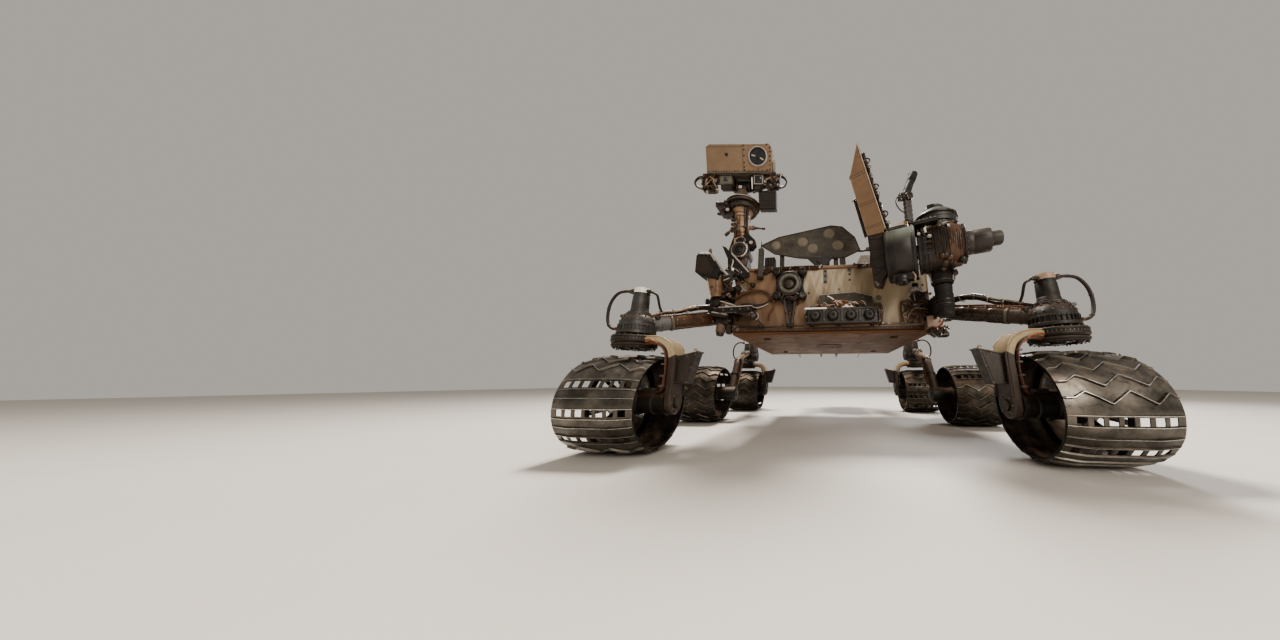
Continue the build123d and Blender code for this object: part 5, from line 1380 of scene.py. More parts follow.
# belly with its seams, hatch and fittings
g = Mesh()
g.plate(round_rect(-0.645, BODY_Y0 - 0.005, 0.645, BODY_Y1 + 0.005, 0.024), 0.0215, "belly", (0, 0, 0.655), X, Y, 0.0100)
for x in (-0.215, 0.215):
    g.block((x - 0.004, BODY_Y0 + 0.02, 0.6542), (x + 0.004, BODY_Y1 - 0.02, 0.6575), "seam", 0.0005)
for y in (-0.50, -0.06):
    g.block((-0.61, y - 0.003, 0.6543), (0.61, y + 0.003, 0.6575), "seam", 0.0005)
g.lathe((0, -0.28, 0.6560), -Z, [(0, 0), (0.105, 0), (0.105, 0.003), (0.098, 0.005), (0.090, 0.003), (0, 0.003)], "belly", 56)
g.bolts((0, -0.28, 0.6512), -Z, 0.0985, 16, 0.0042, 0.0035, "worn")
for x in (-0.58, -0.24, 0.24, 0.58):
    for i in range(9):
        g.bolt((x, BODY_Y0 + 0.06 + i * 0.145, 0.6555), -Z, 0.0042, 0.0036, "worn")
for x, y in ((-0.44, 0.16), (0.44, 0.16), (-0.44, -0.70), (0.44, -0.70)):
    g.lathe((x, y, 0.656), -Z, [(0, 0), (0.026, 0), (0.026, 0.008), (0.018, 0.012), (0, 0.012)], "seam", 28)
g.make("belly", "root", "belly_pan")

# deck: edge strip, panel plates, cable trays, boxes
g = Mesh()
g.plate(round_rect(-0.650, BODY_Y0 - 0.010, 0.650, BODY_Y1 + 0.010, 0.026), 0.020, "tan", (0, 0, BODY_TOP), X, Y, 0.0025)
for i in range(22):
    x = -0.63 + i * 0.06
    for y in (BODY_Y0 + 0.006, BODY_Y1 - 0.006):
        g.bolt((x, y, DECK_TOP), Z, 0.0045, 0.0045, "worn")
for i in range(20):
    y = BODY_Y0 + 0.05 + i * 0.064
    for x in (-0.634, 0.634):
        g.bolt((x, y, DECK_TOP), Z, 0.0045, 0.0045, "worn")
for x0, y0, x1, y1, m in (
    (-0.615, -0.700, -0.330, -0.260, "tan_light"), (-0.300, -0.560, 0.290, -0.265, "tan_light"), (0.320, -0.845, 0.560, -0.265, "tan_light"),
    (-0.615, -0.190, -0.290, 0.205, "tan_light"), (0.270, -0.190, 0.560, 0.030, "tan_light"), (-0.385, 0.225, 0.600, 0.415, "tan_light"),
    (-0.560, -0.850, 0.290, -0.715, "tan"),
):
    g.block((x0, y0, DECK_TOP - 0.001), (x1, y1, DECK_TOP + 0.0025), m, 0.0016)
    for sx in (x0 + 0.012, x1 - 0.012):
        for k in range(4):
            g.bolt((sx, y0 + 0.015 + (y1 - y0 - 0.03) * k / 3, DECK_TOP + 0.0025), Z, 0.0036, 0.0034, "steel")
# electronics boxes and covers
for x0, y0, x1, y1, h, m in (
    (-0.575, -0.560, -0.400, -0.420, 0.052, "lightgrey"), (-0.560, -0.130, -0.420, 0.020, 0.040, "tan"),
    (0.400, -0.560, 0.520, -0.400, 0.034, "lightgrey"), (0.02, 0.262, 0.20, 0.385, 0.045, "white"), (-0.33, 0.270, -0.20, 0.372, 0.030, "dark"),
):
    g.block((x0, y0, DECK_TOP), (x1, y1, DECK_TOP + h), m, 0.005)
    g.block((x0 - 0.012, y0 + 0.02, DECK_TOP), (x1 + 0.012, y0 + 0.045, DECK_TOP + 0.007), m, 0.0015)
    for sx in (x0 - 0.006, x1 + 0.006):
        g.bolt((sx, y0 + 0.032, DECK_TOP + 0.007), Z, 0.0034, 0.004)
    for sx in (x0 + 0.014, x1 - 0.014):
        for sy in (y0 + 0.014, y1 - 0.014):
            g.bolt((sx, sy, DECK_TOP + h), Z, 0.0034, 0.0034)
    connector(g, ((x0 + x1) / 2, y1, DECK_TOP + h * 0.5), Y, 0.010, 0.026, "steel", "black")
# small calibration plate with a short post and corner pads
g.block((-0.600, 0.060, DECK_TOP), (-0.510, 0.150, DECK_TOP + 0.010), "edge", 0.002)
g.lathe((-0.555, 0.105, DECK_TOP + 0.010), Z, [(0, 0), (0.026, 0), (0.026, 0.002), (0.018, 0.003), (0.004, 0.003), (0.004, 0.034), (0.007, 0.040), (0.004, 0.046), (0, 0.047)], "lightgrey", 24)
for dx, dy, m in ((-0.036, -0.036, "red"), (0.036, -0.036, "gold"), (-0.036, 0.036, "greygreen"), (0.036, 0.036, "white")):
    g.lathe((-0.555 + dx, 0.105 + dy, DECK_TOP + 0.010), Z, [(0, 0), (0.007, 0), (0.007, 0.002), (0, 0.002)], m, 16)
# cable trays
for line, count in (
    ([(-0.560, -0.690, 1.132), (-0.350, -0.660, 1.132), (-0.345, -0.300, 1.132), (-0.345, 0.24, 1.132), (-0.42, 0.31, 1.134)], 5),
    ([(0.36, 0.08, 1.134), (0.315, 0.06, 1.132), (0.315, -0.24, 1.132), (0.30, -0.62, 1.132), (0.20, -0.690, 1.132), (-0.30, -0.700, 1.132)], 4),
    ([(0.610, -0.50, 1.134), (0.600, -0.30, 1.132), (0.600, 0.20, 1.132), (0.44, 0.24, 1.132), (0.22, 0.32, 1.132)], 3),
):
    line = rounded(line, 0.05)
    harness(g, line, count, 0.012, 0.0044, ("cable", "film_dark", "copper"), seed=count * 7, ties=0.11, flat=0.5)
    marks = spaced(line, 0.15)
    for p, (a, u, t) in list(zip(marks, frames(marks)))[1:-1]:
        g.block((-0.008, -0.022, -0.012), (0.008, 0.022, -0.008), "titanium", 0.001, origin=p, x=t, y=a, z=u)
        g.bolt(p + a * 0.018 - u * 0.008, u, 0.0032, 0.0035)
# brown harness and brackets along the deck's front edge
harness(g, [(-0.50, -0.890, 1.098), (-0.36, -0.893, 1.104), (-0.22, -0.892, 1.112), (-0.06, -0.891, 1.103)], 5, 0.011, 0.0048, ("film", "copper", "cable", "red"), seed=5, ties=0.06, flat=0.9)
clutter(g, (-0.46, -0.886, 1.085), X, Z, 0.42, 0.030, -Y, 16, ("seam", "dark", "worn", "edge"), 11, (0.010, 0.024), (0.006, 0.014), 6, 0.0022, ("film", "copper", "cable"), 0.018)
clutter(g, (0.155, -0.886, 1.098), X, Z, 0.13, 0.022, -Y, 9, ("dark", "black", "worn"), 12, (0.010, 0.022), (0.006, 0.016), 3, 0.002, ("cable",), 0.014)
g.make("deck_plate", "root", "top_deck")
# ------------------------------------------------------------------ front face
FACE = BODY_Y0
FRONT = (X, Z, -Y)

# hazard camera box: four lenses in a dark box, a leaning cover over it, loose wires between
g = Mesh()
g.block((-0.140, -0.948, 0.710), (0.300, FACE, 0.800), "black", 0.007)
g.block((-0.148, -0.953, 0.706), (0.306, -0.905, 0.716), "dark", 0.003)
g.block((-0.142, -0.951, 0.792), (0.302, FACE, 0.806), "dark", 0.003)
g.block((-0.151, -0.957, 0.797), (-0.012, -0.938, 0.8085), "bright", 0.002)
for x in (-0.030, 0.080, 0.190):
    g.block((x - 0.010, -0.952, 0.714), (x + 0.010, -0.944, 0.798), "dark", 0.002)
    g.bolt((x, -0.952, 0.728), -Y, 0.004, 0.004, "worn")
    g.bolt((x, -0.952, 0.786), -Y, 0.004, 0.004, "worn")
for i, x in enumerate((-0.085, 0.025, 0.135, 0.245)):
    g.lathe((x, -0.944, 0.757), -Y, [(0, 0), (0.034, 0), (0.034, 0.012), (0.0315, 0.016), (0.0305, 0.029), (0.0285, 0.031), (0.0265, 0.0295), (0.0262, 0.026), (0, 0.0245)], "black", 44)
    g.lathe((x, -0.944, 0.757), -Y, [(0.0262, 0.0255), (0.0245, 0.0275), (0.019, 0.0292), (0.011, 0.0302), (0, 0.0306)], "lens_face", 36)
    g.lathe((x, -0.9735, 0.757), -Y, [(0.0125, 0.0), (0.0125, 0.0016), (0.0100, 0.0016), (0.0095, 0.0012), (0, 0.0012)], "deep", 28)
    g.bolts((x, -0.9565, 0.757), -Y, 0.0325, 6, 0.0022, 0.002, "worn", start=i * 0.3)
# leaning cover: a folded plate with bright worn edges
UPC = Vector((0, 0.33, 1)).normalized()
OUTC = X.cross(UPC)
cover = [(-0.060, 0.0), (-0.058, 0.104), (0.045, 0.112), (0.165, 0.121), (0.272, 0.086), (0.282, 0.0)]
g.plate(cover, 0.004, "cover_olive", (0, -0.932, 0.806), X, UPC, 0.0008)
rim = [Vector((0, -0.9345, 0.806)) + X * a + UPC * b for a, b in cover[1:5]]
g.tube(rim, 0.0028, "edge", 7, smooth=1)
g.tube([rim[0], Vector((-0.060, -0.934, 0.812))], 0.0022, "worn", 6, smooth=1)
for a, b in ((-0.058, 0.104), (0.165, 0.121), (0.272, 0.086)):
    p = Vector((0, -0.930, 0.806)) + X * a + UPC * b
    g.tube([p, (p.x, FACE + 0.002, p.z - 0.006)], 0.0045, "dark", 8, smooth=1)
g.plate([(-0.055, 0.806), (-0.055, 0.902), (0.270, 0.884), (0.278, 0.806)], 0.006, "black", (0, FACE, 0), X, Z, 0.001)
for a, b in ((-0.03, 0.085), (0.05, 0.092), (0.13, 0.095), (0.22, 0.075)):
    p = Vector((0, -0.936, 0.806)) + X * a + UPC * b
    g.bolt(p, OUTC, 0.0045, 0.004, "worn")
clutter(g, (-0.128, -0.948, 0.806), X, Y, 0.40, 0.035, Z, 34, ("edge", "dark", "worn", "black", "copper_film", "hood"), 21, (0.007, 0.020), (0.006, 0.024), 16, 0.0026, ("orange", "edge", "copper", "cable"), 0.032)
rng = random.Random(8)
for k in range(30):
    x = rng.uniform(-0.10, 0.21) if k % 2 else rng.uniform(0.02, 0.12)
    a = Vector((x, -0.946, rng.uniform(0.822, 0.850)))
    b = Vector((x + rng.uniform(0.015, 0.065), -0.948, rng.uniform(0.808, 0.836)))
    g.tube([a, a.lerp(b, 0.35) + Vector((0, -0.010, rng.uniform(-0.008, 0.014))), a.lerp(b, 0.7) + Vector((0, -0.012, rng.uniform(-0.012, 0.008))), b], rng.uniform(0.0014, 0.0026), ("orange", "edge", "copper", "orange", "bright", "film")[k % 6], 7, smooth=5)
g.tube([(0.0, -0.944, 0.880), (0.020, -0.950, 0.866), (0.050, -0.952, 0.852), (0.085, -0.952, 0.850), (0.120, -0.948, 0.846)], 0.0036, "orange", 8)
g.tube([(-0.006, -0.944, 0.884), (0.012, -0.952, 0.872), (0.030, -0.954, 0.858)], 0.0040, "bright", 8)
g.plate([(0.075, 0.806), (0.110, 0.833), (0.128, 0.820), (0.152, 0.812), (0.150, 0.806)], 0.010, "bright", (0, -0.944, 0), X, Z, 0.002)
# cable that drops past the right end, and small fittings at both ends
for k, m in enumerate(("film", "copper", "cable", "film")):
    o = k * 0.0065
    g.tube([(0.285, -0.915, 0.815 + o), (0.308 + o * 0.5, -0.925, 0.812 + o), (0.322 + o * 0.4, -0.930, 0.788), (0.318 + o * 0.4, -0.926, 0.750), (0.322, -0.920 + o, 0.718), (0.316, -0.895 + o, 0.704)], 0.0048, m, 8)
clutter(g, (0.300, -0.930, 0.715), Y, Z, 0.05, 0.08, X, 7, ("dark", "copper_film", "edge"), 22, (0.010, 0.020), (0.006, 0.014), 3, 0.0024, ("copper", "cable"), 0.014)
clutter(g, (-0.140, -0.940, 0.720), Y, Z, 0.05, 0.07, -X, 6, ("dark", "worn", "black"), 23, (0.010, 0.022), (0.006, 0.014), 2, 0.0024, ("cable",), 0.012)
for x in (-0.110, 0.060, 0.270):
    g.block((x - 0.014, -0.925, 0.700), (x + 0.014, FACE, 0.710), "dark", 0.002)
g.make("hazard_cameras", "root", "hazard_camera_box")

# bit holder: round socket with four bosses on a dark web, on a V strut
g = Mesh()
HX, HZ = -0.255, 0.985
g.lathe((HX, FACE, HZ), -Y, [(0, 0), (0.082, 0), (0.082, 0.046), (0.0855, 0.049), (0.0855, 0.056), (0.080, 0.061), (0.068, 0.062), (0.0665, 0.0605), (0.0665, 0.058)], "black", 64)
g.lathe((HX, FACE, HZ), -Y, [(0.0665, 0.056), (0.0665, 0.061), (0.063, 0.0635), (0.0515, 0.0635), (0.0475, 0.060), (0.0465, 0.036), (0.0465, 0.030)], "ring_olive", 60)
g.lathe((HX, FACE, HZ), -Y, [(0, 0.030), (0.0468, 0.030)], "black", 40)
g.plate([(HX - 0.078, 0.912), (HX + 0.078, 0.912), (HX + 0.046, 0.868), (HX + 0.006, 0.806), (HX - 0.014, 0.806), (HX - 0.050, 0.868)], 0.008, "hood", (0, FACE - 0.003, 0), X, Z, 0.0015)
g.lathe((HX, FACE, HZ), -Y, [(0.030, 0.030), (0.030, 0.044), (0.026, 0.048), (0.010, 0.050), (0.010, 0.054), (0, 0.054)], "tube", 36)
g.bolts((HX, FACE - 0.0635, HZ), -Y, 0.055, 10, 0.0030, 0.0025, "worn")
g.bolts((HX, FACE - 0.061, HZ), -Y, 0.0755, 14, 0.0030, 0.003, "dark")
web = []
for dx, dz in ((-0.084, 0.084), (-0.080, -0.080), (0.086, -0.084), (0.086, 0.082)):
    a = math.atan2(dz, dx)
    for t in (-0.6, -0.2, 0.2, 0.6):
        web.append((HX + dx + 0.020 * math.cos(a + t * 2.2), HZ + dz + 0.020 * math.sin(a + t * 2.2)))
    b = a + math.pi / 4
    web.append((HX + 0.086 * math.cos(b), HZ + 0.086 * math.sin(b)))
g.plate(web, 0.014, "black", (0, FACE - 0.006, 0), X, Z, 0.002)
for i, (dx, dz) in enumerate(((-0.084, 0.084), (0.086, 0.082), (-0.080, -0.080), (0.086, -0.084))):
    c = (HX + dx, FACE, HZ + dz)
    g.lathe(c, -Y, [(0, 0), (0.025, 0), (0.025, 0.020), (0.028, 0.022), (0.028, 0.060), (0.0245, 0.066), (0.019, 0.068), (0.017, 0.064), (0.0165, 0.058), (0, 0.058)], "black", 36)
    g.lathe(c, -Y, [(0.0162, 0.058), (0.0150, 0.0700), (0.0105, 0.0700), (0.0095, 0.060), (0, 0.060)], "ring_olive" if i == 3 else "dark", 24)
    g.lathe(c, -Y, [(0.0285, 0.028), (0.0300, 0.030), (0.0300, 0.036), (0.0285, 0.038)], "worn" if i == 3 else "dark", 32)
for s in (-1, 1):
    a, b = Vector((HX + s * 0.042, FACE - 0.030, HZ - 0.060)), Vector((HX + 0.004 + s * 0.008, FACE - 0.012, 0.712))
    g.tube([a, b], 0.0105, "tube", 14, smooth=1)
    g.tube([a + Vector((s * 0.006, -0.010, 0)), b + Vector((s * 0.006, -0.010, 0))], 0.0026, "worn", 6, smooth=1)
    g.block((-0.020, -0.014, -0.020), (0.020, 0.014, 0.016), "black", 0.004, origin=a + Z * 0.006)
    for t in (0.3, 0.62):
        band(g, a.lerp(b, t), b - a, 0.0105, 0.012, "dark", 0.003, 20)
g.block((HX - 0.018, FACE - 0.030, 0.700), (HX + 0.026, FACE, 0.724), "black", 0.004)
clutter(g, (HX - 0.050, FACE - 0.046, 0.870), X, Z, 0.11, 0.050, -Y, 9, ("black", "dark", "film"), 31, (0.014, 0.030), (0.010, 0.020), 5, 0.0030, ("copper", "film", "cable"), 0.020)
g.tube([(HX + 0.055, FACE - 0.030, 0.905), (HX + 0.075, FACE - 0.036, 0.885), (HX + 0.066, FACE - 0.030, 0.862), (HX + 0.050, FACE - 0.006, 0.850)], 0.0046, "copper", 8)
for dx in (-0.02, 0.025):
    g.tube([(HX + dx, FACE - 0.010, 0.84), (HX + dx * 0.8, FACE - 0.016, 0.80), (HX + dx * 0.2 + 0.004, FACE - 0.012, 0.735)], 0.0030, "edge", 6)
g.make("bit_socket", "root", "bit_holder")

# corner canister: dark hood with a bright sloping lid over a leaning tan canister
g = Mesh()
hood = [(-0.879, 1.068), (-0.832, 1.035), (-0.724, 1.011), (-0.713, 1.078), (-0.786, 1.190), (-0.866, 1.197), (-0.879, 1.186)]
g.plate(hood, 0.132, "deep", (0, -0.862, 0), X, Z, 0.008)
g.plate([(-0.868, 1.078), (-0.830, 1.050), (-0.760, 1.036), (-0.752, 1.082), (-0.800, 1.168), (-0.860, 1.176)], 0.003, "hood", (0, -0.9935, 0), X, Z, 0.003)
slope = (Vector((-0.713, 0, 1.080)) - Vector((-0.785, 0, 1.196))).normalized()
g.block((0, -0.134, 0), (0.134, 0, 0.0095), "edge", 0.003, origin=(-0.7855, -0.861, 1.1935), x=slope, y=Y, z=slope.cross(Y))
g.block((0.070, -0.1352, -0.004), (0.134, -0.120, 0.0100), "hood", 0.002, origin=(-0.7855, -0.861, 1.1935), x=slope, y=Y, z=slope.cross(Y))
g.tube([(-0.852, -0.992, 1.1985), (-0.824, -0.993, 1.2005), (-0.796, -0.9925, 1.199), (-0.782, -0.992, 1.192)], 0.0050, "bright", 9, smooth=2)
g.tube([(-0.864, -0.870, 1.1985), (-0.864, -0.990, 1.1985)], 0.0035, "worn", 8, smooth=1)
for x, z in ((-0.868, 1.088), (-0.735, 1.030), (-0.868, 1.170), (-0.738, 1.094), (-0.812, 1.184)):
    g.bolt((x, -0.995, z), -Y, 0.0040, 0.004, "black")
g.lathe((-0.811, -0.930, 1.196), Z, [(0, 0), (0.020, 0), (0.020, 0.004), (0.013, 0.008), (0.009, 0.010), (0.0085, 0.030), (0, 0.030)], "tube", 24)
g.lathe((-0.811, -0.930, 1.222), Z, [(0.009, 0), (0.0125, 0.003), (0.0125, 0.014), (0.010, 0.018), (0.010, 0.030), (0.006, 0.038), (0, 0.039)], "bracket", 22)
lean = (Vector((-0.742, -0.930, 0.900)) - Vector((-0.764, -0.930, 1.046))).normalized()
g.lathe((-0.764, -0.930, 1.052), lean, [(0.0, 0), (0.0515, 0), (0.0515, 0.020), (0.0495, 0.023), (0.0480, 0.060), (0.0430, 0.105), (0.0370, 0.132), (0.034, 0.137), (0.034, 0.152), (0, 0.152)], "canister", 48)
for t, r in ((0.028, 0.0495), (0.084, 0.0455)):
    band(g, Vector((-0.764, -0.930, 1.052)) + lean * t, lean, r, 0.009, "bracket", 0.0020, 44)
g.tube([(-0.802, -0.962, 1.028), (-0.790, -0.964, 0.985), (-0.776, -0.958, 0.925)], 0.0040, "vane", 7)
g.tube([(-0.738, -0.978, 1.030), (-0.734, -0.976, 0.99), (-0.736, -0.968, 0.93)], 0.0050, "copper", 8)
g.lathe((-0.760, -0.975, 0.960), -Y, [(0, 0), (0.008, 0), (0.008, 0.005), (0, 0.006)], "copper_film", 16)
# dark bracket and its load of small parts between hood and body
g.block((-0.722, -0.900, 0.905), (-0.690, -0.800, 1.050), "deep", 0.006)
g.block((-0.790, -0.862, 0.905), (-0.700, -0.805, 1.040), "deep", 0.006)
g.block((-0.700, -0.865, 0.885), (-0.640, -0.800, 1.000), "hood", 0.006)
g.block((-0.735, -0.945, 1.000), (-0.655, -0.880, 1.060), "hood", 0.008)
g.plate([(-0.735, 0.900), (-0.655, 0.915), (-0.645, 1.045), (-0.700, 1.062)], 0.010, "hood", (0, -0.905, 0), X, Z, 0.003)
clutter(g, (-0.735, -0.915, 0.905), X, Z, 0.095, 0.150, -Y, 22, ("hood", "dark", "black", "bracket", "worn"), 41, (0.012, 0.034), (0.008, 0.028), 8, 0.0032, ("cable", "copper", "film", "edge"), 0.024)
g.block((-0.706, -0.950, 1.028), (-0.664, -0.936, 1.036), "edge", 0.002, x=(0.94, 0, 0.34), z=(-0.34, 0, 0.94), origin=(0.318, 0, 0.285))
g.make("canister_hood", "root", "corner_canister")

# corner frame: dark frame with two round holes, knob and bosses
g = Mesh()
g.block((-0.735, -0.935, 0.716), (-0.652, -0.856, 0.878), "dark", 0.006)
for z in (0.760, 0.830):
    g.lathe((-0.697, -0.934, z), -Y, [(0.024, -0.02), (0.024, 0.008), (0.027, 0.011), (0.032, 0.011), (0.034, 0.008), (0.034, 0)], "hood", 36)
    g.lathe((-0.697, -0.9352, z), -Y, [(0, 0), (0.0245, 0)], "black", 32)
g.block((-0.655, -0.905, 0.740), (-0.640, -0.858, 0.860), "dark", 0.003)
g.bolts((-0.697, -0.935, 0.795), -Y, 0.0775, 4, 0.0045, 0.005, "worn", start=math.pi / 4)
g.block((-0.790, -0.930, 0.800), (-0.735, -0.860, 0.905), "hood", 0.008)
g.lathe((-0.786, -0.905, 0.880), (-1, -0.15, 0.1), [(0, 0), (0.014, 0), (0.014, 0.018), (0.020, 0.022), (0.020, 0.034), (0.012, 0.038), (0, 0.038)], "black", 24)
clutter(g, (-0.785, -0.930, 0.805), X, Z, 0.12, 0.090, -Y, 14, ("dark", "hood", "black"), 42, (0.014, 0.034), (0.010, 0.028), 5, 0.0034, ("cable", "film"), 0.02)
# tan cylinder and dark foot under the frame
g.lathe((-0.706, -0.905, 0.722), (-0.10, 0, -1), [(0, 0), (0.031, 0), (0.031, 0.050), (0.028, 0.054), (0, 0.054)], "bracket", 32)
g.lathe((-0.711, -0.905, 0.668), (-0.10, 0, -1), [(0, 0), (0.024, 0), (0.026, 0.008), (0.020, 0.022), (0, 0.022)], "hood", 28)
g.block((-0.672, -0.920, 0.660), (-0.640, -0.870, 0.722), "hood", 0.006)
g.make("corner_block", "root", "corner_frame")

# crossing bars with bright edges, stacked plates, lever, leads on the face
g = Mesh()
for x, z in ((-0.600, 0.806), (-0.500, 0.776)):
    g.lathe((x, FACE, z), -Y, [(0, 0), (0.020, 0), (0.020, 0.006), (0.012, 0.008), (0.012, 0.100), (0, 0.100)], "tube", 22)
for a, b, y, m in (((-0.716, 0.850), (-0.470, 0.758), -0.962, "hood"), ((-0.700, 0.800), (-0.480, 0.806), -0.975, "deep")):
    p, q = Vector((a[0], y, a[1])), Vector((b[0], y, b[1]))
    d = (q - p).normalized()
    u = (Z - d * d.z).normalized()
    g.block((0, -0.012, -0.019), ((q - p).length, 0.010, 0.017), m, 0.004, origin=p, x=d, y=Y, z=u)
    g.tube([p + u * 0.018 - Y * 0.008, q + u * 0.018 - Y * 0.008], 0.0040, "edge", 8, smooth=1)
    g.tube([p - u * 0.019 - Y * 0.008, p.lerp(q, 0.55) - u * 0.019 - Y * 0.008], 0.0026, "worn", 7, smooth=1)
    for t in (0.15, 0.4, 0.65, 0.88):
        g.bolt(p.lerp(q, t) - Y * 0.012, -Y, 0.0048, 0.005, "worn")
for x, z in ((-0.716, 0.850), (-0.470, 0.758)):
    g.lathe((x, -0.950, z), -Y, [(0, 0), (0.020, 0), (0.022, 0.003), (0.022, 0.030), (0.018, 0.038), (0.010, 0.040), (0, 0.040)], "black", 30)
g.lathe((-0.470, -0.990, 0.758), -Y, [(0.0125, -0.001), (0.0125, 0.003), (0.006, 0.004), (0, 0.004)], "worn", 20)
g.tube([(-0.452, -0.972, 0.780), (-0.443, -0.974, 0.764), (-0.446, -0.974, 0.744), (-0.458, -0.972, 0.736)], 0.0036, "edge", 7)
tilt_u, tilt_v = Vector((1, 0, -0.18)).normalized(), Vector((0.18, 0, 1)).normalized()
for k in range(5):
    g.block((-0.050, -0.012, k * 0.0150), (0.052 - k * 0.004, 0.016, k * 0.0150 + 0.0085), ("edge", "hood", "worn", "hood", "hood")[k], 0.002, origin=(-0.700 + k * 0.001, -0.968 + k * 0.003, 0.778), x=tilt_u, y=Y, z=tilt_v)
g.block((-0.060, -0.010, -0.012), (0.050, 0.020, 0.004), "hood", 0.003, origin=(-0.700, -0.965, 0.772), x=tilt_u, y=Y, z=tilt_v)
g.tube([(-0.690, -0.975, 0.862), (-0.640, -0.978, 0.846), (-0.590, -0.976, 0.828)], 0.0042, "edge", 8)
g.tube([(-0.662, -0.972, 0.835), (-0.625, -0.976, 0.818)], 0.0055, "edge", 8, smooth=1)
# lever with a knob, small dark knob, rods low on the face
g.tube([(-0.592, -0.886, 1.042), (-0.560, -0.905, 1.020), (-0.512, -0.915, 0.992)], [0.0035, 0.0035, 0.005, 0.008], "dark", 10)
g.lathe((-0.505, -0.915, 0.988), (0.7, -0.35, -0.5), [(0, -0.012), (0.013, -0.010), (0.018, 0), (0.017, 0.012), (0.008, 0.020), (0, 0.021)], "black", 24)
g.block((-0.603, -0.894, 1.030), (-0.578, FACE, 1.054), "dark", 0.003)
g.lathe((-0.609, FACE, 0.975), -Y, [(0, 0), (0.019, 0), (0.019, 0.010), (0.022, 0.013), (0.022, 0.030), (0.016, 0.036), (0, 0.036)], "black", 28)
g.tube([(-0.606, -0.882, 1.020), (-0.598, -0.888, 1.000), (-0.570, -0.888, 0.965), (-0.545, -0.884, 0.948)], 0.0030, "edge", 7)
g.tube([(-0.548, -0.884, 1.015), (-0.541, -0.888, 0.985), (-0.525, -0.886, 0.960)], 0.0026, "bracket", 7)
g.tube([(-0.479, -0.962, 0.775), (-0.450, -0.930, 0.734), (-0.420, -0.884, 0.700)], 0.0042, "hood", 8)
g.tube([(-0.592, -0.900, 0.716), (-0.500, -0.892, 0.700), (-0.420, -0.884, 0.694)], 0.0048, "hood", 8)
# brown lead in a wide loop on the face, and its hanging end
big = [(-0.650, -0.885, 0.905), (-0.612, -0.892, 0.917), (-0.570, -0.896, 0.938), (-0.523, -0.898, 0.953), (-0.462, -0.898, 0.955), (-0.415, -0.896, 0.944), (-0.384, -0.893, 0.920), (-0.371, -0.890, 0.890)]
g.tube(big, 0.0058, "copper", 10)
g.tube([Vector(p) + Vector((0.002, -0.006, -0.010)) for p in big[:-1]] + [Vector((-0.378, -0.892, 0.872))], 0.0042, "film", 8)
g.tube([(-0.371, -0.890, 0.892), (-0.362, -0.893, 0.860), (-0.368, -0.892, 0.826), (-0.388, -0.890, 0.790), (-0.396, -0.886, 0.752)], 0.0056, "copper", 9)
g.tube([(-0.560, -0.960, 0.842), (-0.523, -0.930, 0.852), (-0.485, -0.900, 0.853), (-0.440, -0.892, 0.858), (-0.405, -0.890, 0.872), (-0.384, -0.888, 0.896)], 0.0052, "hood", 9)
g.tube([(-0.520, -0.940, 0.838), (-0.480, -0.900, 0.833), (-0.440, -0.890, 0.842), (-0.400, -0.888, 0.862)], 0.0040, "edge", 8)
clutter(g, (-0.398, -0.888, 0.868), X, Z, 0.040, 0.060, -Y, 8, ("copper_film", "film", "edge"), 51, (0.010, 0.018), (0.006, 0.012), 6, 0.0034, ("copper", "film", "red"), 0.016)
clutter(g, (-0.640, FACE, 0.775), X, Z, 0.15, 0.075, -Y, 14, ("black", "dark", "hood", "edge"), 52, (0.014, 0.032), (0.010, 0.040), 7, 0.0036, ("cable", "film", "copper"), 0.03)
clutter(g, (-0.640, FACE, 0.690), X, Z, 0.045, 0.08, -Y, 8, ("hood", "bracket", "dark"), 53, (0.012, 0.026), (0.010, 0.024), 3, 0.003, ("film",), 0.02)
clutter(g, (-0.636, FACE, 0.925), X, Z, 0.06, 0.13, -Y, 13, ("hood", "dark", "bracket", "edge"), 54, (0.012, 0.028), (0.008, 0.026), 5, 0.003, ("film", "copper", "edge"), 0.022)
g.make("crossing_bars", "root", "link_bars")

# tilted cover plate with a pale edge, upright stalk with a spike, box behind it
g = Mesh()
g.plate([(-0.726, 1.277), (-0.700, 1.262), (-0.524, 1.068), (-0.522, 1.040), (-0.562, 1.030), (-0.612, 1.060), (-0.668, 1.150)], 0.012, "deep", (0, -0.925, 0), X, Z, 0.002)
strip = Vector((0.180, 0, -0.2055)).normalized()
g.block((0.070, -0.012, 0), (0.262, 0.034, 0.011), "edge", 0.003, origin=(-0.704, -0.934, 1.264), x=strip, y=Y, z=strip.cross(Y))
g.block((0.0, -0.008, -0.002), (0.262, 0.030, 0.0035), "black", 0.001, origin=(-0.704, -0.930, 1.264), x=strip, y=Y, z=strip.cross(Y))
g.block((-0.600, -0.925, 1.095), (-0.560, -0.880, 1.118), "hood", 0.004)
g.plate([(-0.655, 1.120), (-0.560, 1.120), (-0.560, 1.048), (-0.610, 1.040)], 0.014, "deep", (0, -0.888, 0), X, Z, 0.003)
g.tube([(-0.668, -0.930, 1.150), (-0.662, -0.915, 1.190), (-0.668, -0.905, 1.215)], 0.0036, "hood", 7)
g.tube([(-0.650, -0.935, 1.110), (-0.640, -0.938, 1.150), (-0.646, -0.930, 1.176)], 0.0052, "edge", 8)
g.lathe((-0.640, -0.930, 1.096), (0.3, -1, 0.1), [(0, 0), (0.012, 0.002), (0.010, 0.012), (0, 0.015)], "bright", 18)
clutter(g, (-0.640, -0.925, 1.050), X, Z, 0.10, 0.075, -Y, 15, ("hood", "black", "dark", "bracket"), 61, (0.012, 0.030), (0.006, 0.018), 6, 0.0030, ("cable", "film", "edge"), 0.018)
g.block((-0.474, -0.9115, 1.036), (-0.438, -0.8865, 1.256), "stalk", 0.004)
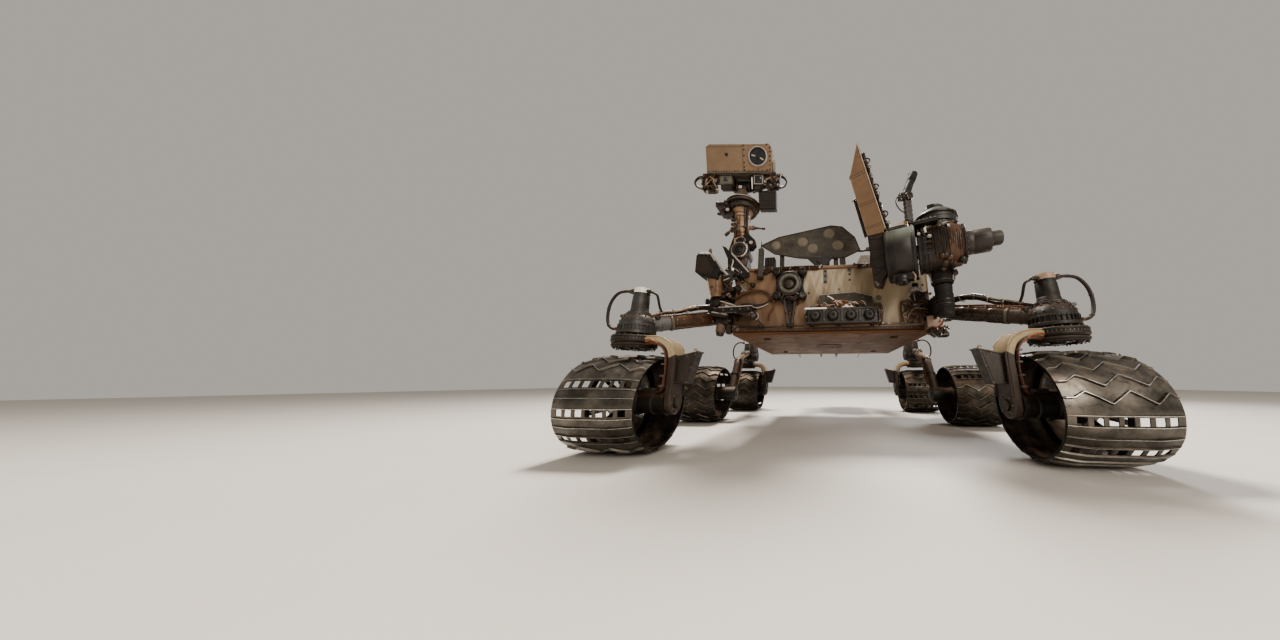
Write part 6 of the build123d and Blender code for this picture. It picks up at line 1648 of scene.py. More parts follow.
g.block((-0.477, -0.914, 1.030), (-0.435, -0.885, 1.052), "black", 0.005)
g.lathe((-0.456, -0.899, 1.250), Z, [(0, 0), (0.010, 0), (0.010, 0.012), (0.0035, 0.018), (0.0025, 0.055), (0, 0.070)], "dark", 14)
for z in (1.09, 1.15, 1.21):
    g.bolt((-0.456, -0.9115, z), -Y, 0.0045, 0.004, "worn")
g.block((-0.475, -0.901, 1.101), (-0.430, -0.885, 1.119), "dark", 0.003)
g.block((-0.436, -0.872, 1.120), (-0.366, -0.812, 1.206), "deep", 0.004)
g.plate([(-0.436, 1.130), (-0.366, 1.130), (-0.376, 1.092), (-0.428, 1.066)], 0.012, "black", (0, -0.885, 0), X, Z, 0.002)
for x in (-0.420, -0.400, -0.382):
    g.block((x - 0.003, -0.876, 1.130), (x + 0.003, -0.868, 1.200), "dark", 0.001)
g.make("shield_plate", "root", "tilted_cover_plate")

# observation tray: mottled plate with a dark rim, five round pads, stains and brackets
g = Mesh()
tray = [(-0.487, 1.337), (-0.353, 1.398), (0.030, 1.470), (0.111, 1.456), (0.198, 1.367), (0.232, 1.266), (0.131, 1.218), (-0.032, 1.206), (-0.211, 1.227), (-0.383, 1.267)]
g.plate(tray, 0.0115, "tray_olive", (0, -0.7835, 0), X, Z, 0.0015)
g.tube([(a, -0.7955, b) for a, b in tray], 0.0042, "hood", 7, closed=True, smooth=1)
for x, z, r in ((-0.374, 1.334, 0.030), (-0.178, 1.350, 0.034), (-0.104, 1.296, 0.034), (0.016, 1.406, 0.036), (0.076, 1.310, 0.036)):
    g.lathe((x, -0.7945, z), -Y, [(0, 0), (r + 0.004, 0), (r + 0.004, 0.0015), (r, 0.0020), (r, 0.0050), (r - 0.002, 0.0058), (0, 0.0058)], "pad", 40)
rng = random.Random(4)
for x, z, w, h in ((-0.27, 1.335, 0.036, 0.024), (0.00, 1.300, 0.026, 0.036), (0.13, 1.290, 0.040, 0.024), (-0.05, 1.252, 0.050, 0.018), (0.155, 1.350, 0.022, 0.016), (-0.31, 1.296, 0.030, 0.014), (-0.08, 1.385, 0.026, 0.014)):
    ring = []
    for k in range(14):
        a = 2 * math.pi * k / 14
        q = rng.uniform(0.75, 1.2)
        ring.append((x + math.cos(a) * w * q, z + math.sin(a) * h * q))
    g.plate(ring, 0.0012, "tube", (0, -0.7948, 0), X, Z, 0.0003)
for a, b in (((0.04, 1.44), (0.12, 1.40)), ((0.09, 1.375), (0.17, 1.365)), ((-0.30, 1.39), (-0.22, 1.40)), ((-0.20, 1.24), (0.00, 1.222)), ((0.10, 1.34), (0.19, 1.33)), ((-0.26, 1.37), (-0.12, 1.395)), ((-0.42, 1.30), (-0.30, 1.275))):
    g.tube([(a[0], -0.7962, a[1]), (b[0], -0.7962, b[1])], 0.0022, "ring_olive", 6, smooth=1)
for x, z in ((-0.45, 1.335), (-0.34, 1.385), (-0.06, 1.440), (0.09, 1.452), (0.19, 1.35), (0.21, 1.27), (0.12, 1.228), (-0.12, 1.222), (-0.30, 1.255)):
    g.bolt((x, -0.7955, z), -Y, 0.0042, 0.0035, "worn")
for x, z in ((-0.330, 1.290), (0.060, 1.230)):
    g.block((x - 0.016, -0.7835, DECK_TOP), (x + 0.016, -0.763, z), "dark", 0.003)
    g.block((x - 0.034, -0.800, DECK_TOP), (x + 0.034, -0.745, DECK_TOP + 0.008), "dark", 0.002)
    for q in (-0.026, 0.026):
        g.bolt((x + q, -0.752, DECK_TOP + 0.008), Z, 0.0045, 0.0045)
        g.bolt((x + q, -0.792, DECK_TOP + 0.008), Z, 0.0045, 0.0045)
    g.plate([(-0.7640, DECK_TOP + 0.006), (-0.700, DECK_TOP + 0.006), (-0.7640, z - 0.03)], 0.006, "dark", (x - 0.003, 0, 0), Y, Z, 0.001)
g.block((-0.015, -0.780, 1.140), (0.015, -0.766, 1.212), "dark", 0.003)
g.plate([(-0.150, 1.222), (0.045, 1.222), (0.010, 1.180), (-0.020, 1.122), (-0.075, 1.122), (-0.100, 1.170)], 0.010, "black", (0, -0.797, 0), X, Z, 0.002)
g.lathe((-0.060, -0.806, 1.190), -Y, [(0, 0), (0.016, 0), (0.016, 0.006), (0.008, 0.010), (0, 0.010)], "dark", 24)
g.plate([(0.085, 1.225), (0.125, 1.228), (0.128, 1.165), (0.105, 1.150), (0.086, 1.165)], 0.006, "tube", (0, -0.790, 0), X, Z, 0.001)
g.block((0.085, -0.797, DECK_TOP), (0.128, -0.775, 1.160), "tube", 0.003)
# short arm from the tray's right corner, towards the shoulder
g.tube([(0.215, -0.792, 1.262), (0.245, -0.800, 1.256), (0.282, -0.812, 1.258)], 0.0075, "dark", 10)
g.block((0.270, -0.824, 1.246), (0.300, -0.804, 1.274), "dark", 0.004)
g.make("tray_plate", "root", "observation_tray")

# sample inlets: cups with hinged covers
g = Mesh()
for x, y, r in ((-0.260, -0.640, 0.058), (-0.060, -0.650, 0.046), (0.120, -0.640, 0.046)):
    g.lathe((x, y, DECK_TOP), Z, [(0, 0), (r + 0.012, 0), (r + 0.012, 0.006), (r, 0.008), (r, 0.048), (r + 0.004, 0.050), (r + 0.004, 0.054), (0, 0.054)], "lightgrey", 48)
    g.lathe((x, y, DECK_TOP + 0.054), Z, [(0, 0), (r + 0.010, 0), (r + 0.010, 0.010), (r + 0.004, 0.016), (r * 0.5, 0.018), (0, 0.0180)], "white", 48)
    g.bolts((x, y, DECK_TOP + 0.006), Z, r + 0.006, 10, 0.0032, 0.0035)
    for q in (-0.014, 0.014):
        g.block((x + q - 0.005, y + r, DECK_TOP + 0.03), (x + q + 0.005, y + r + 0.018, DECK_TOP + 0.070), "dark", 0.002)
    g.tube([(x - 0.026, y + r + 0.012, DECK_TOP + 0.058), (x + 0.026, y + r + 0.012, DECK_TOP + 0.058)], 0.006, "steel", 12, smooth=1)
    g.block((x - 0.022, y + r + 0.004, DECK_TOP), (x + 0.022, y + r + 0.036, DECK_TOP + 0.030), "dark", 0.003)
    connector(g, (x + 0.030, y + r + 0.020, DECK_TOP + 0.015), X, 0.009, 0.024)
g.make("inlet_cups", "root", "sample_inlets")
# ------------------------------------------------------------------ mast
MX, MY = MAST.x, MAST.y

g = Mesh()
g.block((MX - 0.084, MY - 0.066, DECK_TOP), (MX + 0.084, MY + 0.092, DECK_TOP + 0.012), "dark", 0.003)
for x in (MX - 0.075, MX - 0.025, MX + 0.025, MX + 0.075):
    for y in (MY - 0.058, MY + 0.084):
        g.bolt((x, y, DECK_TOP + 0.012), Z, 0.0050, 0.006)
g.block((MX - 0.064, MY - 0.053, DECK_TOP + 0.010), (MX + 0.064, MY + 0.073, 1.225), "bracket", 0.007)
for s in (-1, 1):
    g.plate([(MY - 0.060, DECK_TOP + 0.012), (MY + 0.085, DECK_TOP + 0.012), (MY + 0.050, 1.222), (MY - 0.030, 1.222)], 0.006, "dark", (MX + s * 0.066 - 0.003, 0, 0), Y, Z, 0.001)
    g.block((MX + s * 0.052 - 0.010, MY - 0.050, 1.200), (MX + s * 0.052 + 0.010, MY + 0.070, 1.290), "dark", 0.004)
g.block((MX - 0.040, MY - 0.052, 1.180), (MX + 0.040, MY + 0.072, 1.300), "greygreen", 0.005)
# ring joint: barrel along y with concentric rings on its front
JX, JZ = MX + 0.018, 1.268
g.lathe((JX, MY + 0.075, JZ), -Y, [(0, 0), (0.055, 0), (0.0590, 0.005), (0.0590, 0.060), (0.057, 0.062), (0.057, 0.070), (0.0590, 0.072), (0.0590, 0.128), (0.0605, 0.131), (0.0605, 0.150), (0.059, 0.153), (0, 0.153)], "greygreen", 56)
ribs_along = 28
for k in range(ribs_along):
    a = 2 * math.pi * k / ribs_along
    d = Vector((math.cos(a), 0, math.sin(a)))
    g.block((0.056, -0.003, -0.028), (0.0608, 0.003, 0.028), "dark", 0.001, origin=(JX, MY - 0.022, JZ), x=d, y=Vector((-math.sin(a), 0, math.cos(a))), z=-Y)
g.lathe((JX, MY - 0.078, JZ), -Y, [(0.0600, 0), (0.0600, 0.009), (0.058, 0.012), (0.051, 0.012), (0.049, 0.009), (0.049, 0.002)], "worn", 52)
g.lathe((JX, MY - 0.078, JZ), -Y, [(0.050, 0.004), (0.050, 0.006), (0.040, 0.006), (0.040, 0.012), (0.037, 0.014), (0.031, 0.014), (0.029, 0.010), (0.029, 0.002)], "tube", 44)
g.lathe((JX, MY - 0.078, JZ), -Y, [(0.029, 0.003), (0.022, 0.004), (0.022, 0.011), (0.016, 0.013), (0, 0.013)], "black", 36)
g.bolts((JX, MY - 0.090, JZ), -Y, 0.0545, 18, 0.0030, 0.0035, "edge")
g.bolts((JX, MY - 0.084, JZ), -Y, 0.045, 9, 0.0028, 0.003, "dark", start=0.2)
# bright arc on one side of the ring's front only: painted highlight
g.lathe((JX, MY - 0.086, JZ), -Y, [(0.058, 0), (0.0615, 0.001), (0.0615, 0.007), (0.058, 0.008)], "bright", 40, hint=X, arc=(math.radians(-70), math.radians(62)))
# small drum over the joint, dark box beside it, and their fittings
g.lathe((MX + 0.022, MY - 0.020, 1.337), -Y, [(0, 0), (0.031, 0), (0.031, 0.044), (0.034, 0.046), (0.034, 0.056), (0.028, 0.060), (0.020, 0.060), (0.018, 0.056), (0, 0.056)], "black", 36)
# pale arc on one side of the drum's rim only: painted highlight
g.lathe((MX + 0.022, MY - 0.066, 1.337), -Y, [(0.035, 0), (0.0385, 0.001), (0.0385, 0.008), (0.035, 0.009)], "edge", 32, hint=Z, arc=(math.radians(-80), math.radians(50)))
g.plate([(0.040, 1.394), (0.078, 1.398), (0.124, 1.350), (0.130, 1.312), (0.104, 1.278), (0.080, 1.284), (0.062, 1.340)], 0.050, "deep", (MX, MY - 0.020, 0), X, Z, 0.005)
g.lathe((MX + 0.098, MY - 0.070, 1.326), -Y, [(0, 0), (0.014, 0), (0.014, 0.005), (0.009, 0.009), (0, 0.009)], "edge", 22)
g.lathe((MX + 0.112, MY - 0.070, 1.302), -Y, [(0, 0), (0.009, 0), (0.009, 0.006), (0, 0.006)], "black", 18)
clutter(g, (MX + 0.020, MY - 0.070, 1.238), X, Z, 0.060, 0.030, -Y, 8, ("dark", "edge", "greygreen"), 71, (0.010, 0.020), (0.006, 0.014), 3, 0.0028, ("cable", "braid"), 0.014)
for k, (m, r) in enumerate((("cable", 0.0062), ("film", 0.0052), ("cable", 0.0056), ("copper", 0.0048))):
    o = k * 0.011
    g.tube([(MX - 0.062 - o * 0.3, MY - 0.020 + o, 1.130), (MX - 0.078 - o * 0.2, MY - 0.020 + o, 1.20), (MX - 0.080, MY - 0.015 + o, 1.29), (MX - 0.066, MY - 0.010 + o, 1.36), (MX - 0.052, MY - 0.006 + o, 1.410)], r, m, 8)
g.make("mast_base", "root", "mast_foot")

# tube: tan in a much paler copy as painted light, wound with leads, brown film round its root
g = Mesh()
g.block((MX - 0.042, MY - 0.040, 1.333), (MX + 0.042, MY + 0.040, 1.392), "neck_tan_lit", 0.005)
g.lathe((MX, MY, 0), Z, [(0.045, 1.370), (0.0535, 1.372), (0.0535, 1.384), (0.050, 1.387), (0.052, 1.43), (0.0565, 1.50), (0.0575, 1.502), (0.0575, 1.508), (0.0565, 1.51), (0.062, 1.596), (0.068, 1.612), (0.078, 1.6205), (0.090, 1.622)], "neck_tan_lit", 56)
sleeve(g, [(MX, MY, 1.390), (MX, MY, 1.444)], film(0.0555, 0.018, 0.0022, 0.004, 2.0), "copper_film", 40, 0.004, hint=-Y)
for z in (1.470, 1.560, 1.590):
    band(g, (MX, MY, z), Z, 0.0545 + (z - 1.45) * 0.055, 0.010, "bracket", 0.003, 40, lug=(0.6, -1, 0))
g.lathe((MX, MY, 0), Z, [(0.080, 1.6205), (0.106, 1.620), (0.110, 1.625), (0.110, 1.632), (0.1065, 1.634), (0.1065, 1.640), (0.110, 1.642), (0.110, 1.650), (0.106, 1.6535), (0.05, 1.6535)], "dark", 64)
g.bolts((MX, MY, 1.6200), -Z, 0.098, 18, 0.0036, 0.004, "worn")
for k in range(36):
    a = 2 * math.pi * k / 36
    d = Vector((math.cos(a), math.sin(a), 0))
    g.block((0.104, -0.0022, 1.6335), (0.1092, 0.0022, 1.6405), "worn", 0.0005, origin=(MX, MY, 0), x=d, y=Z.cross(d), z=Z)
# leads down the tube: a thick one at the right, a wandering pair in front, lumps at the left
g.tube([(MX + 0.062, MY - 0.062, 1.618), (MX + 0.056, MY - 0.050, 1.575), (MX + 0.052, MY - 0.042, 1.510), (MX + 0.052, MY - 0.040, 1.455), (MX + 0.062, MY - 0.044, 1.415), (MX + 0.074, MY - 0.045, 1.395)], 0.0098, "cable", 12)
g.tube([(MX + 0.040, MY - 0.072, 1.618), (MX + 0.043, MY - 0.060, 1.570), (MX + 0.041, MY - 0.054, 1.520), (MX + 0.046, MY - 0.048, 1.460)], 0.0066, "film_dark", 10)
for k, m in enumerate(("film", "cable", "copper", "film")):
    z = Vector((MX - 0.026 + k * 0.009, MY - 0.060, 0))
    rng = random.Random(70 + k)
    g.tube([z + Vector((rng.uniform(-0.008, 0.008), 0.006 * (1 - t) + rng.uniform(-0.002, 0.002), 1.60 - 0.21 * t)) for t in (0, 0.2, 0.4, 0.6, 0.8, 1.0)], rng.uniform(0.0034, 0.0058), m, 8)
for z, m in ((1.535, "hood"), (1.497, "film"), (1.462, "hood"), (1.446, "copper_film")):
    g.block((-0.026, -0.010, -0.010), (0.020, 0.012, 0.012), m, 0.004, origin=(MX - 0.044, MY - 0.040, z))
g.lathe((MX - 0.060, MY - 0.034, 1.545), (-1, -0.6, 0.2), [(0, 0), (0.009, 0), (0.009, 0.010), (0.005, 0.014), (0, 0.014)], "edge", 16)
g.tube([(MX - 0.048, MY - 0.036, 1.470), (MX - 0.070, MY - 0.042, 1.448), (MX - 0.088, MY - 0.044, 1.426)], 0.0085, "bracket", 12)
g.tube([(MX - 0.082, MY - 0.044, 1.432), (MX - 0.106, MY - 0.046, 1.408)], 0.0115, "hood", 14, smooth=1)
# dark box with a bright plug under the disc's right-hand side
g.block((MX - 0.122, MY - 0.085, 1.590), (MX - 0.070, MY + 0.010, 1.651), "hood", 0.009)
g.block((MX - 0.150, MY - 0.080, 1.578), (MX - 0.112, MY + 0.005, 1.613), "hood", 0.007)
g.block((MX - 0.120, MY - 0.060, 1.560), (MX - 0.055, MY - 0.010, 1.600), "dark", 0.006)
g.lathe((MX - 0.085, MY - 0.080, 1.600), (-0.2, -1, -0.6), [(0, 0), (0.012, 0), (0.012, 0.012), (0.007, 0.016), (0, 0.016)], "edge", 18)
clutter(g, (MX - 0.120, MY - 0.085, 1.592), X, Z, 0.048, 0.050, -Y, 6, ("hood", "black", "dark"), 72, (0.012, 0.022), (0.006, 0.012), 2, 0.003, ("cable",), 0.010)
for a, b in (((MX, MY, 1.570), (MX - 0.078, MY - 0.018, 1.582)), ((MX, MY, 1.495), (MX + 0.076, MY + 0.035, 1.508))):
    g.tube([a, b], 0.0155, "tan", 18, smooth=1)
    band(g, b, Vector(b) - Vector(a), 0.0155, 0.012, "bracket", 0.0025, 24)
g.make("mast_neck", "root", "mast_tube")

g = Mesh()
for a, b in (((MX - 0.078, MY - 0.018, 1.582), (MX - 0.182, MY - 0.042, 1.598)), ((MX + 0.076, MY + 0.035, 1.508), (MX + 0.1634, MY + 0.07525, 1.52295))):
    a, b = Vector(a), Vector(b)
    d = (b - a).normalized()
    n = (b - a).length
    g.lathe(a, d, [(0, 0), (0.0128, 0), (0.0128, 0.018), (0.0085, 0.024), (0.0078, n * 0.72), (0.0105, n * 0.76), (0.0105, n * 0.95), (0.006, n), (0, n)], "dark", 20)
    for t in (0.45, 0.58):
        g.lathe(a + d * n * t, d, [(0.0080, 0), (0.0095, 0.001), (0.0095, 0.005), (0.0080, 0.006)], "worn", 16)
g.make("finger_booms", "root", "weather_booms")

# pan disc and yoke
g = Mesh()
g.lathe((MX, MY, 0), Z, [(0.02, 1.6565), (0.116, 1.6565), (0.120, 1.659), (0.1275, 1.659), (0.1300, 1.662), (0.1300, 1.668), (0.1265, 1.6695), (0.1265, 1.675), (0.1300, 1.6765), (0.1300, 1.683), (0.1270, 1.6865), (0.105, 1.6870), (0.100, 1.6880), (0.060, 1.6885), (0.02, 1.6885)], "hood", 80)
for k in range(24):
    a = 2 * math.pi * k / 24
    d = Vector((math.cos(a), math.sin(a), 0))
    g.block((0.126, -0.004, 1.6690), (0.1296, 0.004, 1.6755), "dark", 0.0008, origin=(MX, MY, 0), x=d, y=Z.cross(d), z=Z)
# pale arcs on the front of the disc's rims only: painted highlights
g.lathe((MX, MY, 1.6790), Z, [(0.1300, 0), (0.1325, 0.0008), (0.1325, 0.0048), (0.1300, 0.0056)], "edge", 60, hint=X, arc=(math.radians(-88), math.radians(-18)))
g.lathe((MX, MY, 1.6590), Z, [(0.1285, 0), (0.1310, 0.0008), (0.1310, 0.0040), (0.1285, 0.0048)], "worn", 60, hint=X, arc=(math.radians(-150), math.radians(-40)))
for r, z, t, m in ((0.117, 1.6850, 0.0062, "cable"), (0.103, 1.6860, 0.0052, "film_dark"), (0.088, 1.6865, 0.0056, "cable")):
    g.tube([(MX + math.cos(a) * r, MY + math.sin(a) * r, z + 0.0008 * math.sin(3 * a)) for a in (2 * math.pi * k / 36 for k in range(36))], t, m, 8, closed=True, smooth=2)
g.block((MX - 0.203, MY - 0.046, 1.660), (MX - 0.102, MY + 0.046, 1.700), "hood", 0.008)
clutter(g, (MX - 0.200, MY - 0.046, 1.664), X, Z, 0.090, 0.032, -Y, 7, ("hood", "black", "dark"), 77, (0.010, 0.024), (0.004, 0.010), 3, 0.003, ("cable",), 0.012)
YK = dict(origin=(MX, MY, 0), x=HEAD_SIDE, y=Z.cross(HEAD_SIDE), z=Z)
back = Z.cross(HEAD_SIDE)
g.block((-0.031, -0.041, 1.690), (0.031, 0.041, 1.845), "hood", 0.006, **YK)
g.block((-0.046, -0.038, 1.690), (0.046, 0.038, 1.740), "hood", 0.006, **YK)
axle = TILT - HEAD_SIDE * 0.058
g.lathe(axle, HEAD_SIDE, [(0, 0), (0.036, 0), (0.041, 0.004), (0.041, 0.112), (0.036, 0.116), (0, 0.116)], "dark", 48)
for t in (0.012, 0.104):
    band(g, axle + HEAD_SIDE * t, HEAD_SIDE, 0.041, 0.008, "worn", 0.0016, 44)
# brown bracket ahead of the post
g.plate([(-0.028, 1.800), (0.028, 1.800), (0.034, 1.760), (0.054, 1.700), (-0.054, 1.700), (-0.034, 1.760)], 0.0035, "bracket", Vector((MX, MY, 0)) - back * 0.0415, HEAD_SIDE, Z, 0.002)
g.lathe(Vector((MX, MY, 1.722)) - back * 0.0446, -back, [(0, 0), (0.011, 0), (0.011, 0.0012), (0, 0.0012)], "black", 22)
g.block((-0.030, -0.0462, 1.806), (-0.004, -0.040, 1.830), "bright", 0.002, **YK)
for x, z, w, h, m in ((0.004, 1.804, 0.024, 0.018, "bracket"), (0.002, 1.824, 0.020, 0.016, "dark"), (-0.020, 1.832, 0.018, 0.010, "black"), (0.012, 1.841, 0.016, 0.008, "hood")):
    g.block((x, -0.0460, z), (x + w, -0.040, z + h), m, 0.002, **YK)
for s in (-1, 1):
    g.bolt(Vector((MX, MY, 1.712)) - back * 0.0448 + HEAD_SIDE * 0.040 * s, -back, 0.0045, 0.0022, "worn")
    g.bolt(Vector((MX, MY, 1.785)) - back * 0.0448 + HEAD_SIDE * 0.018 * s, -back, 0.0040, 0.0020, "worn")
    g.tube([Vector((MX, MY, 1.705)) + HEAD_SIDE * 0.050 * s + back * 0.030, Vector((MX, MY, 1.750)) + HEAD_SIDE * 0.047 * s + back * 0.034, Vector((MX, MY, 1.800)) + HEAD_SIDE * 0.040 * s + back * 0.036], 0.0060, "cable", 9)
g.make("pan_disc", "mast_pan", "pan_yoke")

# ------------------------------------------------------------------ head
HB = dict(origin=TILT, x=HEAD_SIDE, y=HEAD_BACK, z=HEAD_UP)
OUTW = -HEAD_BACK


def hp(x, y, z):
    return head_point(x, y, z)


g = Mesh()
shell = [(-0.236, 0.062), (-0.230, 0.056), (0.230, 0.056), (0.236, 0.062), (0.236, 0.228), (0.220, 0.246), (-0.214, 0.246), (-0.236, 0.226)]
g.plate(shell, 0.210, "head_tan", hp(0, 0.060, 0), HEAD_SIDE, HEAD_UP, 0.003)
# square window plate at the left third of the rover's head, with its bolts and ring
g.plate([(0.032, 0.060), (0.233, 0.060), (0.233, 0.226), (0.217, 0.242), (0.032, 0.242)], 0.0045, "head_plate", hp(0, -0.1495, 0), HEAD_SIDE, HEAD_UP, 0.0012)
W = hp(0.140, -0.154, 0.158)
g.lathe(W, OUTW, [(0.0600, 0.0005), (0.0600, 0.0100), (0.0625, 0.0112), (0.0660, 0.0098), (0.0690, 0.0050), (0.0690, 0)], "edge", 72)
g.lathe(W, OUTW, [(0.0690, 0), (0.0690, 0.0022), (0.0800, 0.0022), (0.0800, 0)], "head_tan", 72)
g.lathe(W, OUTW, [(0, 0.0008), (0.0610, 0.0008)], "lens", 64)
g.lathe(W, OUTW, [(0.0600, 0.0012), (0.0590, 0.0040), (0.0520, 0.0040), (0.0510, 0.0012)], "black", 64)
g.lathe(W, OUTW, [(0, 0.0075), (0.0150, 0.0075), (0.0150, 0.0015)], "black", 40)
# of the four vanes two are pale and two black: the pale pair stand for glints in the window, a painted reflection
for a, m in ((168, "vane"), (-30, "vane"), (70, "black"), (-105, "black")):
    d = HEAD_SIDE * math.cos(math.radians(a)) + HEAD_UP * math.sin(math.radians(a))
    g.block((0.018, -0.0055, 0.0012), (0.047, 0.0055, 0.0040), m, 0.0012, origin=W, x=d, y=OUTW.cross(d), z=OUTW)
g.bolts(W + OUTW * 0.0022, OUTW, 0.0768, 20, 0.0022, 0.0022, "bracket")
for x, z in [(0.040, v) for v in (0.070, 0.090, 0.120, 0.165, 0.205, 0.234)] + [(0.226, v) for v in (0.072, 0.100, 0.130, 0.160, 0.190, 0.216)] + [(v, 0.236) for v in (0.075, 0.110, 0.140, 0.170, 0.204)] + [(v, 0.067) for v in (0.075, 0.105, 0.140, 0.175, 0.205)]:
    g.bolt(hp(x, -0.1540, z), OUTW, 0.0042, 0.0038, "copper_film" if x > 0.2 or x < 0.05 else "bracket")
g.lathe(hp(-0.088, -0.150, 0.176), OUTW, [(0, 0.0004), (0.0085, 0.0004), (0.0105, 0.002), (0.0115, 0.002), (0.0125, 0)], "hood", 24)
g.block((-0.236, -0.1520, 0.2265), (0.026, -0.149, 0.2290), "bracket", 0.0006, **HB)
g.block((0.0275, -0.1515, 0.062), (0.0305, -0.149, 0.244), "bracket", 0.0006, **HB)
for k in range(24):
    g.bolt(hp(-0.228 + k * 0.0195, -0.1505, 0.0635), OUTW, 0.0036, 0.0040, ("bracket", "worn", "copper_film", "dark")[k % 4])
g.block((-0.238, -0.153, 0.050), (0.238, 0.062, 0.0575), "ring_olive", 0.002, **HB)
# lid, side plates, and a plugged and ribbed back
g.block((-0.212, -0.142, 0.2455), (0.218, 0.046, 0.2490), "tan_light", 0.0015, **HB)
for x in (-0.204, -0.07, 0.07, 0.210):
    for y in (-0.134, -0.045, 0.036):
        g.bolt(hp(x, y, 0.2490), HEAD_UP, 0.0038, 0.0035, "worn")
for s in (-1, 1):
    g.block((min(s * 0.2355, s * 0.2390), -0.130, 0.075), (max(s * 0.2355, s * 0.2390), 0.040, 0.215), "tan_light", 0.0012, **HB)
    for y in (-0.120, -0.045, 0.030):
        for z in (0.085, 0.205):
            g.bolt(hp(s * 0.2390, y, z), HEAD_SIDE * s, 0.0038, 0.0035, "worn")
for k in range(9):
    x = -0.19 + k * 0.032
    g.block((x - 0.003, 0.058, 0.090), (x + 0.003, 0.072, 0.225), "tan_light", 0.001, **HB)
for k in range(3):
    connector(g, hp(0.125 + k * 0.036, 0.060, 0.10), HEAD_BACK, 0.012, 0.030, "steel", "black")
    hoop(g, hp(0.125 + k * 0.036, 0.086, 0.10), hp(0.10 + k * 0.030, 0.020, 0.040), HEAD_BACK * 0.055 - HEAD_UP * 0.02, 0.0050, "cable", 8)
g.block((0.240, -0.106, 0.070), (0.262, -0.070, 0.146), "lightgrey", 0.003, **HB)
g.block((0.236, -0.098, 0.078), (0.244, -0.078, 0.100), "dark", 0.002, **HB)
# cheeks on the tilt axis
for s in (-1, 1):
    g.block((min(s * 0.060, s * 0.088), -0.038, -0.038), (max(s * 0.060, s * 0.088), 0.040, 0.052), "hood", 0.006, **HB)
    g.lathe(hp(s * 0.087, 0, 0), HEAD_SIDE * s, [(0, 0), (0.030, 0), (0.030, 0.005), (0.024, 0.008), (0.010, 0.008), (0, 0.006)], "dark", 34)
    g.bolts(hp(s * 0.092, 0, 0), HEAD_SIDE * s, 0.025, 8, 0.0032, 0.0035, "worn")
g.make("head_shell", "mast_head", "head_box")

# camera bar: light square frames with dark openings, wound ends with loops
g = Mesh()
for x0, x1 in ((-0.290, -0.070), (0.070, 0.290)):
    g.block((x0, -0.116, -0.002), (x1, -0.052, 0.052), "hood", 0.005, **HB)
g.block((-0.070, -0.100, 0.0470), (0.070, -0.060, 0.0540), "bracket", 0.002, **HB)
for x0, x1, z0, z1, hole, m in ((-0.154, -0.060, -0.018, 0.046, 0.0125, "ring_olive"), (0.096, 0.176, -0.025, 0.046, 0.0265, "ring_olive")):
    cx, cz = (x0 + x1) / 2, (z0 + z1) / 2 + 0.002
    g.block((x0, -0.128, z0), (x1, -0.058, z1), m, 0.005, **HB)
    g.block((cx - hole - 0.005, -0.1305, cz - hole - 0.005), (cx + hole + 0.005, -0.126, cz + hole + 0.005), "edge" if hole > 0.02 else "ring_olive", 0.0015, **HB)
    g.block((cx - hole, -0.1318, cz - hole), (cx + hole, -0.129, cz + hole), "black", 0.0008, **HB)
    g.lathe(hp(cx, -0.1316, cz), OUTW, [(hole * 0.82, 0), (hole * 0.82, 0.003), (hole * 0.62, 0.004), (hole * 0.60, 0.002), (0, 0.0028)], "lens", 30)
    for dx in (0.006, x1 - x0 - 0.006):
        for z in (z0 + 0.007, z1 - 0.007):
            g.bolt(hp(x0 + dx, -0.128, z), OUTW, 0.0030, 0.003, "worn")
    g.block((x0 + 0.004, -0.118, z0 - 0.036), (x1 - 0.006, -0.066, z0 + 0.002), "hood", 0.006, **HB)
    g.block((x0 - 0.004, -0.110, z1 - 0.006), (x1 + 0.004, -0.060, 0.0545), "dark", 0.003, **HB)
clutter(g, hp(-0.292, -0.116, -0.072), HEAD_SIDE, HEAD_UP, 0.120, 0.118, OUTW, 42, ("bracket", "hood", "copper_film", "black", "ring_olive", "edge"), 73, (0.012, 0.026), (0.006, 0.020), 16, 0.0042, ("cable", "film", "copper", "braid"), 0.020)
g.block((-0.286, -0.112, -0.070), (-0.190, -0.058, 0.010), "hood", 0.010, **HB)
clutter(g, hp(0.180, -0.112, -0.040), HEAD_SIDE, HEAD_UP, 0.105, 0.092, OUTW, 34, ("bracket", "hood", "ring_olive", "black", "edge"), 74, (0.012, 0.026), (0.006, 0.020), 14, 0.0042, ("cable", "film", "braid"), 0.020)
g.block((0.178, -0.108, -0.050), (0.286, -0.060, 0.010), "hood", 0.008, **HB)
g.lathe(hp(0.236, -0.116, 0.020), OUTW, [(0, 0), (0.018, 0), (0.018, 0.014), (0.012, 0.018), (0.010, 0.014), (0, 0.014)], "bracket", 28)
g.block((0.083, -0.127, -0.052), (0.0905, -0.110, 0.030), "bright", 0.0015, **HB)
g.plate([(0.160, -0.062), (0.216, -0.060), (0.206, -0.040), (0.186, -0.036)], 0.010, "bright", hp(0, -0.108, 0), HEAD_SIDE, HEAD_UP, 0.002)
for s, reach in ((-1, 0.060), (1, 0.052)):
    for k, (r, m) in enumerate(((0.0052, "cable"), (0.0044, "hood"))):
        o = k * 0.008
        loop = [hp(s * 0.270, -0.100 + o, 0.034 - o), hp(s * 0.292, -0.100 + o, 0.046 - o), hp(s * (0.292 + reach * 0.55), -0.098 + o, 0.038 - o), hp(s * (0.290 + reach), -0.096 + o, 0.006), hp(s * (0.292 + reach * 0.7), -0.096 + o, -0.026 + o), hp(s * 0.296, -0.098 + o, -0.040 + o), hp(s * 0.268, -0.100 + o, -0.034 + o)]
        g.tube(loop, r, m, 9)
